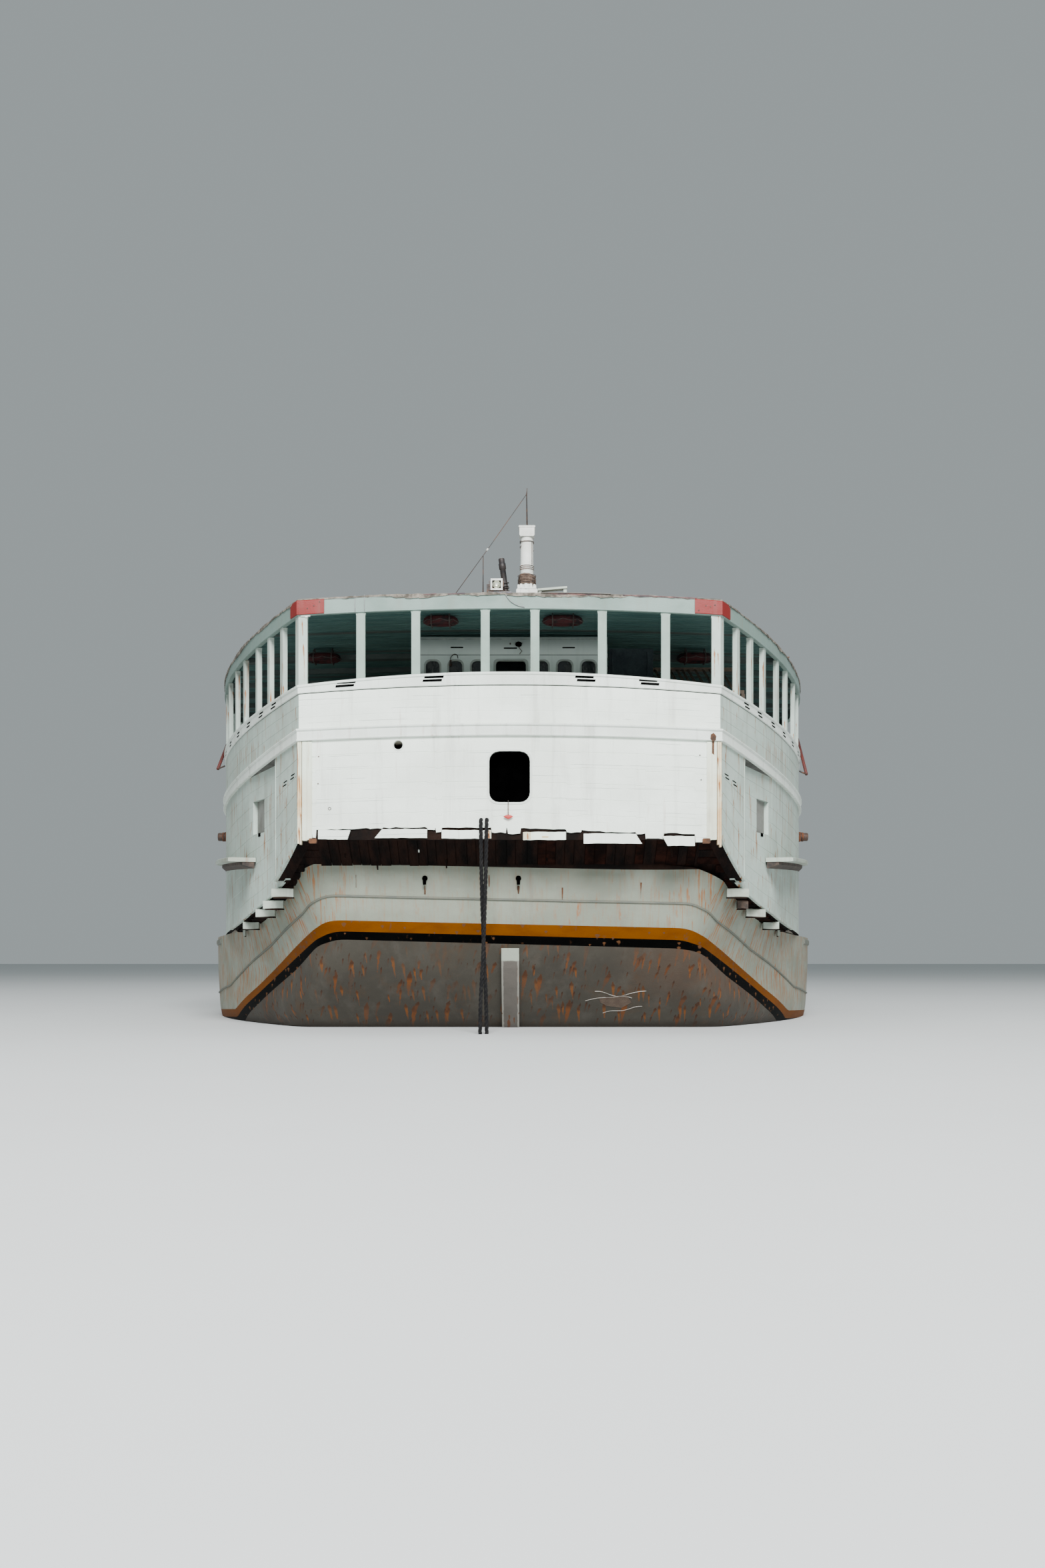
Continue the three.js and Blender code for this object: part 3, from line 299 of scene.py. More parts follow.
class Paint:
    """The nodes of one material."""

    def __init__(self, name, roughness=0.6, metallic=0.0):
        self.material = bpy.data.materials.new(name)
        self.material.use_nodes = True
        self.tree = self.material.node_tree
        self.shader = self.tree.nodes["Principled BSDF"]
        self.shader.inputs["Roughness"].default_value = roughness
        self.shader.inputs["Metallic"].default_value = metallic
        self.place = self.add("ShaderNodeTexCoord").outputs["Object"]

    def add(self, kind, **settings):
        node = self.tree.nodes.new(kind)
        for key, value in settings.items():
            setattr(node, key, value)
        return node

    def set(self, socket, value):
        if isinstance(value, bpy.types.NodeSocket):
            self.tree.links.new(value, socket)
        elif isinstance(value, (tuple, list)) and len(socket.default_value) == 4:
            socket.default_value = (*value[:3], 1.0)
        else:
            socket.default_value = value

    def moved(self, stretch, shift=0.0):
        """The coordinates, stretched by direction, from another part of the pattern."""
        mapping = self.add("ShaderNodeMapping")
        self.set(mapping.inputs["Vector"], self.place)
        mapping.inputs["Scale"].default_value = stretch
        mapping.inputs["Location"].default_value = (shift, 2.3 * shift, 0.7 * shift)
        return mapping.outputs["Vector"]

    def noise(self, stretch, shift=0.0, detail=5.0, rough=0.6):
        node = self.add("ShaderNodeTexNoise")
        self.set(node.inputs["Vector"], self.moved(stretch, shift))
        node.inputs["Scale"].default_value = 1.0
        node.inputs["Detail"].default_value = detail
        node.inputs["Roughness"].default_value = rough
        return node.outputs["Fac"]

    def split(self, vector):
        node = self.add("ShaderNodeSeparateXYZ")
        self.set(node.inputs[0], vector)
        return node.outputs["X"], node.outputs["Y"], node.outputs["Z"]

    def across(self):
        """Metres along a standing surface: X where it faces astern or ahead, Y on the sides."""
        facing_x, facing_y, _ = self.split(self.add("ShaderNodeTexCoord").outputs["Normal"])
        on_side = self.math("GREATER_THAN", self.math("ABSOLUTE", facing_x, 0),
                            self.math("ABSOLUTE", facing_y, 0))
        x, y, _ = self.split(self.place)
        return self.math("ADD", self.times(x, self.math("SUBTRACT", 1.0, on_side)), self.times(y, on_side))

    def runs(self, width, length, share, shift, lean=0.0, ragged=0.5):
        """Runs of rust, each from a dark head down a fading tail: where they lie, and their heads."""
        height_above = self.axis("Z")
        across = self.math("MULTIPLY_ADD", height_above, lean)
        self.set(across.node.inputs[2], self.across())
        flat = self.add("ShaderNodeCombineXYZ")
        for name, value, size, start in (("X", across, width, shift),
                                         ("Y", height_above, length, 1.7 * shift)):
            self.set(flat.inputs[name], self.math("ADD", self.math("DIVIDE", value, size), start))
        cell = self.add("ShaderNodeTexVoronoi", voronoi_dimensions="2D")
        self.set(cell.inputs["Vector"], flat.outputs["Vector"])
        cell.inputs["Scale"].default_value = 1.0
        cell.inputs["Randomness"].default_value = 0.85
        x, z, _ = self.split(flat.outputs["Vector"])
        middle_x, middle_z, _ = self.split(cell.outputs["Position"])
        chance = self.add("ShaderNodeSeparateColor")
        self.set(chance.inputs["Color"], cell.outputs["Color"])
        aside = self.math("ABSOLUTE", self.math("SUBTRACT", x, middle_x), 0)
        above = self.math("SUBTRACT", z, middle_z)
        head = self.times(self.math("MAXIMUM", above, 0.0), 2.0)
        tail = self.times(self.math("MAXIMUM", self.math("MULTIPLY", above, -1.0), 0.0), 0.42)
        wobble = self.times(self.math("SUBTRACT", self.noise((17.0, 17.0, 9.0), shift, 4.0, 0.7), 0.5),
                            ragged)
        reach = self.math("ADD", self.math("ADD", aside, wobble), self.math("ADD", head, tail))
        size = self.step(chance.outputs["Green"], 0.0, 1.0, 0.16, 0.38)
        inside = self.step(self.math("SUBTRACT", reach, size), 0.03, -0.07)
        chosen = self.step(chance.outputs["Red"], 1 - share - 0.02, 1 - share + 0.02)
        fade = self.step(above, -0.75, -0.1, 0.45, 1.0)
        return self.times(inside, chosen, fade), self.times(inside, chosen, self.step(above, -0.14, 0.02))

    def step(self, value, low, high, to_low=0.0, to_high=1.0):
        """A soft step from to_low to to_high while the value goes from low to high."""
        node = self.add("ShaderNodeMapRange", interpolation_type="SMOOTHSTEP")
        self.set(node.inputs["Value"], value)
        for name, number in (("From Min", low), ("From Max", high), ("To Min", to_low),
                             ("To Max", to_high)):
            node.inputs[name].default_value = number
        return node.outputs["Result"]

    def math(self, operation, a, b):
        node = self.add("ShaderNodeMath", operation=operation)
        self.set(node.inputs[0], a)
        self.set(node.inputs[1], b)
        return node.outputs[0]

    def times(self, *values):
        result = values[0]
        for value in values[1:]:
            result = self.math("MULTIPLY", result, value)
        return result

    def mix(self, factor, a, b):
        node = self.add("ShaderNodeMix", data_type="RGBA")
        self.set(node.inputs[0], factor)
        self.set(node.inputs[6], a)
        self.set(node.inputs[7], b)
        return node.outputs[2]

    def axis(self, name):
        node = self.add("ShaderNodeSeparateXYZ")
        self.set(node.inputs[0], self.place)
        return node.outputs[name]

    def finish(self, colour, bump=None, depth=0.002, rough=None):
        self.set(self.shader.inputs["Base Color"], colour)
        if rough is not None:
            self.set(self.shader.inputs["Roughness"], rough)
        if bump is not None:
            node = self.add("ShaderNodeBump")
            node.inputs["Distance"].default_value = depth
            self.set(node.inputs["Height"], bump)
            self.set(self.shader.inputs["Normal"], node.outputs["Normal"])
        return self.material


PLANK = 0.178
PLANK_SAG = 0.008


def plank_seams(p):
    """Thin broken lines between planks that sag to the sides with the deck."""
    x, _, z = p.split(p.place)
    line = p.math("ADD", z, p.times(x, x, PLANK_SAG))
    line = p.math("ADD", line, p.times(p.noise((1.5, 1.5, 1.5), 8.0, 3.0), 0.03))
    part = p.math("FRACT", p.math("DIVIDE", line, PLANK), 0)
    near = p.step(p.math("ABSOLUTE", p.math("SUBTRACT", part, 0.5), 0), 0.025, 0.008)
    return p.times(near, p.step(p.noise((0.9, 0.9, 7.0), 15.0, 4.0), 0.50, 0.60))


SEAM = (0.30, 0.34, 0.31)
RUN_RUST = (0.30, 0.115, 0.025)
# Columns: width, length, share of the cells, shift, lean
RUST_RUNS = ((0.060, 0.75, 0.30, 5.0, 0.0), (0.040, 0.42, 0.28, 12.0, 0.05), (0.032, 1.10, 0.20, 27.0, 0.0))


def weathered(name, base, second, rust=0.4, dirt=0.5, roughness=0.62, plank=0.0, runs=0.0, runs_from=0.0,
              seams=0.0):
    """Old paint on timber: clouded, chalky, with grey runs, rust runs, plank seams and small chips."""
    p = Paint(name)
    clouds = p.step(p.noise((0.9, 0.9, 1.4), 1.0, 6.0), 0.32, 0.7)
    colour = p.mix(clouds, base, second)
    grime = p.step(p.noise((7.0, 7.0, 0.55), 3.0, 6.0), 0.5, 0.78, 0.0, dirt)
    colour = p.mix(grime, colour, GRIME)
    patch = p.step(p.noise((0.45, 0.45, 0.6), 7.0, 3.0), 0.42, 0.62)
    stain = p.times(p.step(p.noise((11.0, 11.0, 0.7), 5.0, 7.0, 0.65), 0.57, 0.72), patch)
    colour = p.mix(p.times(stain, rust), colour, RUST)
    chips = p.step(p.noise((26.0, 26.0, 20.0), 9.0, 4.0, 0.7), 0.70, 0.76)
    colour = p.mix(p.times(chips, 0.7, rust), colour, DARK_RUST)
    if plank:
        boards = p.step(p.noise((0.6, 0.6, 1 / plank), 11.0, 2.0), 0.35, 0.7, 0.0, 0.22)
        colour = p.mix(boards, colour, second)
    if seams:
        colour = p.mix(p.times(plank_seams(p), seams), colour, SEAM)
    if runs:
        outboard = p.math("ABSOLUTE", p.axis("X"), 0)
        dense = p.step(outboard, runs_from - 0.9, runs_from + 0.7, 0.12, 1.0) if runs_from else 1.0
        for width, length, share, shift, lean in RUST_RUNS:
            where, heads = p.runs(width, length, share * runs, shift, lean)
            colour = p.mix(p.times(where, 0.85, dense), colour, RUN_RUST)
            colour = p.mix(p.times(heads, 0.6, dense), colour, RUST)
    grain = p.noise((40.0, 40.0, 70.0), 2.0, 5.0)
    rough = p.step(clouds, 0.0, 1.0, roughness - 0.1, roughness + 0.12)
    return p.finish(colour, grain, 0.0025, rough)


def plain(name, base, second, scale=6.0, roughness=0.6, metallic=0.0, bump=0.002, stretch=(1, 1, 1),
          gloss=0.5):
    """A finish with soft clouds of a second colour and a fine grain."""
    p = Paint(name, roughness, metallic)
    p.shader.inputs["Specular IOR Level"].default_value = gloss
    clouds = p.step(p.noise([scale * s for s in stretch], 1.0, 6.0), 0.35, 0.68)
    grain = p.noise([12 * scale * s for s in stretch], 4.0, 5.0)
    rough = p.step(grain, 0.2, 0.8, roughness - 0.12, roughness + 0.12)
    return p.finish(p.mix(clouds, base, second), grain, bump, rough)


# The pale paints hold part of the daylight's green-cyan tint, painted into their colours.
WHITE = weathered("white_planks", (0.87, 0.94, 0.86), (0.76, 0.82, 0.74), rust=0.5, dirt=0.3, plank=0.3,
                  seams=0.9)
TRIM = weathered("white_trim", (0.76, 0.82, 0.76), (0.64, 0.69, 0.63), rust=0.35, dirt=0.4)
# The fascia's paint: the white trim darkened to a blue-grey, painted shade.
FASCIA_SHADED = weathered("fascia_paint_shaded", (0.20, 0.28, 0.25), (0.17, 0.24, 0.21), rust=0.3, dirt=0.3)
# The posts' white paint, darkened and tinted green: painted shade under the roof.
POST_WHITE_SHADED = weathered("post_white_paint_shaded", (0.27, 0.36, 0.31), (0.23, 0.31, 0.265), rust=0.3, dirt=0.3)
# The quarters' white planks, a darker copy of the stern's: painted shade.
QUARTER_SHADED = weathered("quarter_white_shaded", (0.48, 0.57, 0.51), (0.38, 0.45, 0.40), rust=0.9, dirt=0.6, plank=0.3,
                    runs=0.35)
CORNER_BOARD = weathered("corner_board", (0.70, 0.72, 0.55), (0.58, 0.36, 0.17), rust=1.0, dirt=0.5,
                         runs=1.0)
CORNER_CREAM = weathered("corner_cream", (0.77, 0.85, 0.70), (0.66, 0.66, 0.52), rust=1.0, dirt=0.4)
# Weathered off-white hull paint, darkened with painted shade under the overhang.
HULL_WHITE = weathered("hull_white", (0.255, 0.280, 0.222), (0.205, 0.222, 0.175), rust=1.0, dirt=0.6,
                       plank=0.2,
                       runs=1.7, runs_from=3.0)
SALMON = weathered("salmon_paint", (0.20, 0.003, 0.0015), (0.17, 0.006, 0.003), rust=0.2, dirt=0.2)
# Near-black timber; behind the plank ends and under the quarter timbers it is painted shade.
DARK = plain("dark_timber", (0.006, 0.0045, 0.004), (0.020, 0.010, 0.007), 2.2, 0.9, stretch=(1, 3, 1),
             gloss=0.1)
# Near-black boards under the gallery: painted shade.
UNDERSIDE_SHADE = plain("underside_boards_shaded", (0.003, 0.0025, 0.0025), (0.016, 0.007, 0.005), 1.6, 0.92,
                  stretch=(3, 0.6, 1), gloss=0.08)
# Dark teal ceiling boards: painted shade under the roof, with the sky's cast.
CEILING = plain("ceiling_boards", (0.045, 0.125, 0.118), (0.085, 0.175, 0.160), 3.0, 0.7,
                stretch=(0.4, 3, 1))
# Black: the drains and the lamp's head, and painted shade in slots, grooves and behind openings.
BLACK = plain("black_gap", (0.0004, 0.0004, 0.0004), (0.0008, 0.0008, 0.0008), 6.0, 1.0, gloss=0.0)
RAW_EDGE = plain("roofing_edge", (0.085, 0.075, 0.062), (0.28, 0.25, 0.21), 9.0, 0.9, gloss=0.2)
MOULDING = plain("moulding_paint", (0.115, 0.125, 0.105), (0.15, 0.15, 0.115), 4.0, 0.7)
STEEL = plain("rusty_steel", (0.035, 0.033, 0.032), (0.12, 0.055, 0.030), 7.0, 0.65, 0.3)
BRONZE = plain("bronze", (0.36, 0.25, 0.11), (0.22, 0.20, 0.12), 6.0, 0.42, 0.85)
ROPE = plain("tarred_rope", (0.006, 0.006, 0.007), (0.016, 0.015, 0.015), 20.0, 0.9, bump=0.004, gloss=0.2)
ROOFING = plain("roofing_felt", (0.16, 0.155, 0.145), (0.27, 0.25, 0.22), 1.2, 0.9)
DECK = plain("worn_deck_paint", (0.17, 0.16, 0.135), (0.27, 0.23, 0.18), 2.4, 0.8, stretch=(1, 0.4, 1))
GREEN = plain("green_box", (0.012, 0.12, 0.075), (0.02, 0.09, 0.06), 5.0, 0.55)
RED_POLE = plain("red_pole", (0.11, 0.016, 0.011), (0.06, 0.014, 0.011), 8.0, 0.7)
LIP_RED = plain("red_float", (0.55, 0.045, 0.04), (0.40, 0.05, 0.045), 9.0, 0.6)
CLOTH = plain("brown_cloth", (0.085, 0.055, 0.040), (0.15, 0.10, 0.075), 25.0, 0.95, bump=0.006)
PATCHED = weathered("roof_patches", (0.34, 0.33, 0.30), (0.22, 0.205, 0.18), rust=1.0, dirt=0.9,
                    roughness=0.85)
DARK_LATH = plain("dark_lath", (0.055, 0.040, 0.045), (0.21, 0.105, 0.095), 7.0, 0.85)
# Lighter ceiling boards and the beams, also darkened with painted shade.
CEILING_PALE = plain("ceiling_boards_pale", (0.055, 0.078, 0.074), (0.085, 0.110, 0.100), 3.0, 0.7,
                     stretch=(0.4, 3, 1))
TRIM_SHADE = weathered("deckhouse_trim", (0.50, 0.55, 0.51), (0.40, 0.44, 0.40), rust=0.3, dirt=0.3)
PANEL_LINE = plain("deckhouse_batten", (0.20, 0.235, 0.22), (0.30, 0.33, 0.30), 5.0, 0.7)
# Near black; inside the deckhouse it stands for painted shade.
CABIN_DARK = plain("cabin_dark", (0.012, 0.020, 0.026), (0.03, 0.045, 0.05), 3.0, 0.8)
STRAP = plain("dull_strap", (0.10, 0.085, 0.075), (0.04, 0.032, 0.03), 14.0, 0.9)
SLAT = plain("rack_slats", (0.10, 0.075, 0.055), (0.17, 0.13, 0.09), 6.0, 0.8)
# Red-brown boards under the gallery, near black with painted shade.
RED_BOARD = plain("red_brown_boards", (0.005, 0.0024, 0.002), (0.022, 0.007, 0.0045), 2.4, 0.9,
                  stretch=(1.6, 2.4, 1), gloss=0.05)
TIMBER_WHITE = weathered("timber_white", (0.42, 0.48, 0.42), (0.30, 0.32, 0.26), rust=0.7, dirt=0.7)
# Dark timber: one timber's own colour, and painted shade under the guards.
TIMBER_DARK = plain("timber_dark", (0.025, 0.020, 0.018), (0.09, 0.06, 0.045), 8.0, 0.85)
WINDOW_BOARD = plain("window_board", (0.20, 0.205, 0.185), (0.14, 0.138, 0.12), 3.0, 0.8)
# A dark wedge under the belt's step: painted shade.
BELT_GAP_SHADE = plain("belt_gap_shade", (0.11, 0.11, 0.10), (0.045, 0.042, 0.038), 4.0, 0.8)
CORNER_RUST = plain("corner_rust", (0.15, 0.060, 0.025), (0.05, 0.028, 0.018), 12.0, 0.9, bump=0.006)
POST_EDGE = weathered("scratched_primer", (0.55, 0.53, 0.48), (0.38, 0.33, 0.29), rust=1.0, dirt=0.8)
SCAR = plain("scar_filler", (0.105, 0.072, 0.050), (0.075, 0.048, 0.034), 7.0, 0.85, bump=0.006)
RUSTY = plain("rust_scale", (0.16, 0.055, 0.022), (0.05, 0.026, 0.018), 11.0, 0.9, 0.1, bump=0.005)
POST_WHITE = weathered("post_white", (0.76, 0.78, 0.74), (0.52, 0.52, 0.47), rust=0.7, dirt=0.8)
PIPE_BLACK = plain("black_pipe", (0.010, 0.010, 0.012), (0.035, 0.025, 0.022), 9.0, 0.55, 0.2)
LAMP_TUBE = plain("lamp_tube", (0.75, 0.78, 0.62), (0.85, 0.86, 0.75), 20.0, 0.25)
CABLE_GREY = plain("cable_grey", (0.30, 0.31, 0.31), (0.20, 0.20, 0.20), 30.0, 0.6)
CABLE_BLUE = plain("cable_blue", (0.09, 0.07, 0.20), (0.12, 0.09, 0.16), 30.0, 0.5)
ENGINE_GREEN = plain("engine_green", (0.05, 0.09, 0.07), (0.09, 0.08, 0.06), 4.0, 0.55)
DOOR_PAINT = weathered("door_paint", (0.50, 0.56, 0.53), (0.38, 0.42, 0.40), rust=0.5, dirt=0.5)
NAVY = plain("funnel_band", (0.015, 0.028, 0.055), (0.03, 0.05, 0.08), 4.0, 0.55)
SOOT = plain("soot", (0.010, 0.010, 0.010), (0.03, 0.026, 0.022), 6.0, 0.9)
LAMP_RED = plain("port_light", (0.35, 0.02, 0.015), (0.25, 0.02, 0.015), 20.0, 0.2)
LAMP_GREEN = plain("starboard_light", (0.01, 0.22, 0.10), (0.01, 0.15, 0.08), 20.0, 0.2)
CHAIN = plain("chain_iron", (0.05, 0.035, 0.028), (0.14, 0.065, 0.035), 14.0, 0.8, 0.2, bump=0.004)
DECK_WORN = plain("deck_worn", (0.24, 0.20, 0.15), (0.14, 0.125, 0.11), 3.0, 0.85, stretch=(2, 0.5, 1))


def make_foam():
    """Floats painted red, faded and scuffed down to a dark ground, and darkened all over with painted shade
    under the roof.
    """
    p = Paint("float_red")
    worn = p.step(p.noise((6.0, 6.0, 9.0), 2.0, 6.0, 0.7), 0.48, 0.6)
    colour = p.mix(worn, (0.055, 0.006, 0.008), (0.012, 0.005, 0.006))
    return p.finish(colour, p.noise((60.0, 60.0, 60.0), 1.0, 4.0), 0.003, 0.8)


def make_panel_paint():
    """Pale green-grey paint of the deckhouse, with painted shade darkening it towards the roof."""
    p = Paint("deckhouse_paint")
    clouds = p.step(p.noise((0.9, 0.9, 1.4), 1.0, 6.0), 0.32, 0.7)
    colour = p.mix(clouds, (0.84, 0.92, 0.87), (0.74, 0.83, 0.78))
    runs = p.step(p.noise((7.0, 7.0, 0.55), 3.0, 6.0), 0.5, 0.78, 0.0, 0.25)
    colour = p.mix(runs, colour, (0.45, 0.50, 0.46))
    # This mask, darker towards the top under the roof, is painted shade.
    soot = p.step(p.axis("Z"), 6.24, 6.52, 0.0, 0.8)
    colour = p.mix(soot, colour, (0.12, 0.16, 0.15))
    return p.finish(colour, p.noise((40.0, 40.0, 70.0), 2.0, 5.0), 0.002, 0.6)


def make_stripe(name, base, second, rust, gloss):
    p = Paint(name)
    p.shader.inputs["Specular IOR Level"].default_value = gloss
    clouds = p.step(p.noise((2.0, 2.0, 5.0), 3.0, 6.0), 0.35, 0.7)
    colour = p.mix(clouds, base, second)
    stain = p.step(p.noise((9.0, 9.0, 1.6), 6.0, 6.0, 0.7), 0.60, 0.70, 0.0, rust)
    chips, _ = p.runs(0.12, 0.09, 0.22, 8.0)
    colour = p.mix(p.math("MAXIMUM", stain, chips), colour, (0.10, 0.045, 0.02))
    return p.finish(colour, p.noise((50.0, 50.0, 50.0), 1.0, 4.0), 0.002, 0.6)


# Columns: width, length, share, shift, lean, colour of the tail
BOTTOM_RUNS = (
    (0.135, 0.55, 0.22, 3.0, -0.15, (0.150, 0.046, 0.008)),
    (0.085, 0.38, 0.27, 14.0, 0.10, (0.175, 0.058, 0.010)),
    (0.13, 0.34, 0.19, 29.0, -0.40, (0.105, 0.034, 0.008)),
    (0.05, 0.20, 0.22, 41.0, -0.20, (0.060, 0.024, 0.010)),
)


def make_bottom():
    """Grey-mauve bottom paint: leaning runs of rust, a brown stain to starboard, dirt at the water."""
    p = Paint("bottom_paint")
    p.shader.inputs["Specular IOR Level"].default_value = 0.3
    clouds = p.step(p.noise((0.8, 0.8, 1.0), 2.0, 6.0), 0.35, 0.68)
    colour = p.mix(clouds, (0.056, 0.050, 0.039), (0.042, 0.037, 0.029))
    fade = p.step(p.noise((3.0, 3.0, 1.2), 6.0, 5.0), 0.45, 0.75, 0.0, 0.45)
    colour = p.mix(fade, colour, (0.092, 0.083, 0.069))
    x, _, height_above = p.split(p.place)
    starboard = p.step(x, 1.2, 3.6)
    stain = p.times(starboard, p.step(height_above, 0.25, 0.9),
                    p.step(p.noise((1.6, 1.6, 1.6), 9.0, 5.0), 0.25, 0.6), 0.75)
    colour = p.mix(stain, colour, (0.080, 0.044, 0.026))
    brown = p.times(p.step(p.noise((2.2, 2.2, 0.8), 12.0, 7.0, 0.7), 0.50, 0.72), 0.5)
    colour = p.mix(brown, colour, (0.078, 0.044, 0.022))
    cloud = p.step(p.noise((0.6, 0.6, 0.9), 19.0, 3.0), 0.34, 0.54, 0.2, 1.0)
    cloud = p.times(cloud, p.step(height_above, 1.55, 0.95, 0.2, 1.0))
    for width, length, share, shift, lean, tone in BOTTOM_RUNS:
        where, heads = p.runs(width, length, share, shift, lean)
        colour = p.mix(p.times(where, cloud), colour, tone)
        colour = p.mix(p.times(heads, cloud, 0.8), colour, (0.030, 0.013, 0.006))
    edge = p.step(p.math("ADD", height_above, p.times(p.noise((5.0, 5.0, 5.0), 4.0), 0.12)), 0.22, 0.07)
    colour = p.mix(p.times(edge, 0.85), colour, (0.030, 0.023, 0.016))
    return p.finish(colour, p.noise((30.0, 30.0, 30.0), 5.0, 6.0), 0.004, 0.72)


FOAM = make_foam()
# The ochre stripe and the bottom paint are darkened with painted shade, as the hull's white is.
OCHRE = make_stripe("ochre_stripe", (0.155, 0.046, 0.0003), (0.125, 0.035, 0.0003), 0.65, 0.06)
BLACK_STRIPE = make_stripe("black_stripe", (0.0004, 0.0005, 0.0005), (0.0014, 0.0013, 0.0012), 0.25, 0.03)
BOTTOM = make_bottom()
PANEL = make_panel_paint()


def make_reflector():
    p = Paint("reflector", 0.22, 0.9)
    cloud = p.step(p.noise((40.0, 40.0, 40.0), 2.0), 0.3, 0.7)
    return p.finish(p.mix(cloud, (0.80, 0.82, 0.74), (0.55, 0.56, 0.46)), cloud, 0.001)


def make_glass():
    p = Paint("dark_glass", 0.12)
    grime = p.step(p.noise((6.0, 6.0, 3.0), 1.0, 5.0), 0.4, 0.7)
    colour = p.mix(grime, (0.012, 0.018, 0.020), (0.05, 0.055, 0.05))
    return p.finish(colour, p.noise((3.0, 3.0, 3.0), 2.0), 0.001, p.step(grime, 0, 1, 0.08, 0.4))


GLASS = make_glass()
REFLECTOR = make_reflector()


def make_camera():
    data = bpy.data.cameras.new("camera")
    data.lens = CAMERA["lens"]
    data.sensor_width = 36.0
    data.shift_y = CAMERA["shift"]
    data.clip_end = 2000.0
    camera = bpy.data.objects.new("camera", data)
    camera.location = (CAMERA["x"], STERN_Y - CAMERA["astern"], CAMERA["z"])
    camera.rotation_euler = (math.radians(90), 0.0, 0.0)
    bpy.context.scene.collection.objects.link(camera)
    bpy.context.scene.camera = camera


# The ropes' routes are the solids' own: X, u and Z in metres
ROPE_RADIUS = 0.032
ROPES = {
    "rope_port": [
        (-0.440, -0.0003, 3.300), (-0.440, -0.050, 3.300), (-0.440, -0.092, 3.285),
        (-0.440, -0.120, 3.245), (-0.439, -0.130, 3.190), (-0.430, -0.130, 2.400),
        (-0.395, -0.130, 1.300), (-0.360, -0.130, 0.500), (-0.345, -0.130, -0.350),
    ],
    "rope_starboard": [
        (-0.350, -0.0003, 3.300), (-0.350, -0.075, 3.300), (-0.350, -0.125, 3.290),
        (-0.350, -0.167, 3.262), (-0.350, -0.195, 3.220), (-0.351, -0.205, 3.170),
        (-0.365, -0.205, 2.400), (-0.400, -0.208, 1.300), (-0.440, -0.212, 0.500),
        (-0.455, -0.215, -0.350),
    ],
}


def curve_through(points, steps):
    """A centripetal Catmull-Rom curve, the same as the solids follow."""
    points = [Vector(p) for p in points]
    points = [2 * points[0] - points[1]] + points + [2 * points[-1] - points[-2]]
    line = []
    for i in range(1, len(points) - 2):
        p0, p1, p2, p3 = points[i - 1:i + 3]
        knots = [0.0]
        for a, b in ((p0, p1), (p1, p2), (p2, p3)):
            knots.append(knots[-1] + max((b - a).length, 1e-6) ** 0.5)
        t0, t1, t2, t3 = knots
        for k in range(steps):
            t = t1 + (t2 - t1) * k / steps
            a1 = p0 * ((t1 - t) / (t1 - t0)) + p1 * ((t - t0) / (t1 - t0))
            a2 = p1 * ((t2 - t) / (t2 - t1)) + p2 * ((t - t1) / (t2 - t1))
            a3 = p2 * ((t3 - t) / (t3 - t2)) + p3 * ((t - t2) / (t3 - t2))
            b1 = a1 * ((t2 - t) / (t2 - t0)) + a2 * ((t - t0) / (t2 - t0))
            b2 = a2 * ((t3 - t) / (t3 - t1)) + a3 * ((t - t1) / (t3 - t1))
            line.append(b1 * ((t2 - t) / (t2 - t1)) + b2 * ((t - t1) / (t2 - t1)))
    return line + [points[-2]]


def evenly(line, step):
    """Points along a line at an even distance from each other."""
    lengths = [0.0]
    for a, b in zip(line, line[1:]):
        lengths.append(lengths[-1] + (b - a).length)
    count = max(1, round(lengths[-1] / step))
    points, i = [], 0
    for k in range(count + 1):
        at = lengths[-1] * k / count
        while i < len(line) - 2 and lengths[i + 1] < at:
            i += 1
        share = (at - lengths[i]) / max(lengths[i + 1] - lengths[i], 1e-9)
        points.append(line[i].lerp(line[i + 1], min(1.0, share)))
    return points, lengths[-1]


def make_rope(name, route):
    """A rope laid up of three strands along its route."""
    line = curve_through([(x, STERN_Y + u, z) for x, u, z in route], 12)
    points, length = evenly(line, 0.016)
    strand, turn = ROPE_RADIUS * 0.52, 0.24
    build = Build()
    for k in range(3):
        path = []
        side = Vector((1.0, 0.0, 0.0))
        for i, point in enumerate(points):
            ahead = (points[min(i + 1, len(points) - 1)] - points[max(i - 1, 0)]).normalized()
            side = (side - ahead * side.dot(ahead)).normalized()
            angle = 2 * math.pi * (k / 3 + i * length / (len(points) - 1) / turn)
            around = side * math.cos(angle) + ahead.cross(side) * math.sin(angle)
            path.append(point + around * (ROPE_RADIUS - strand))
        build.tube(path, strand, 8)
    rope = build.make(name + "_laid", ROPE, slot="rope", replaces=[name], flat=False)


make_camera()
for rope_name, rope_route in ROPES.items():
    make_rope(rope_name, rope_route)


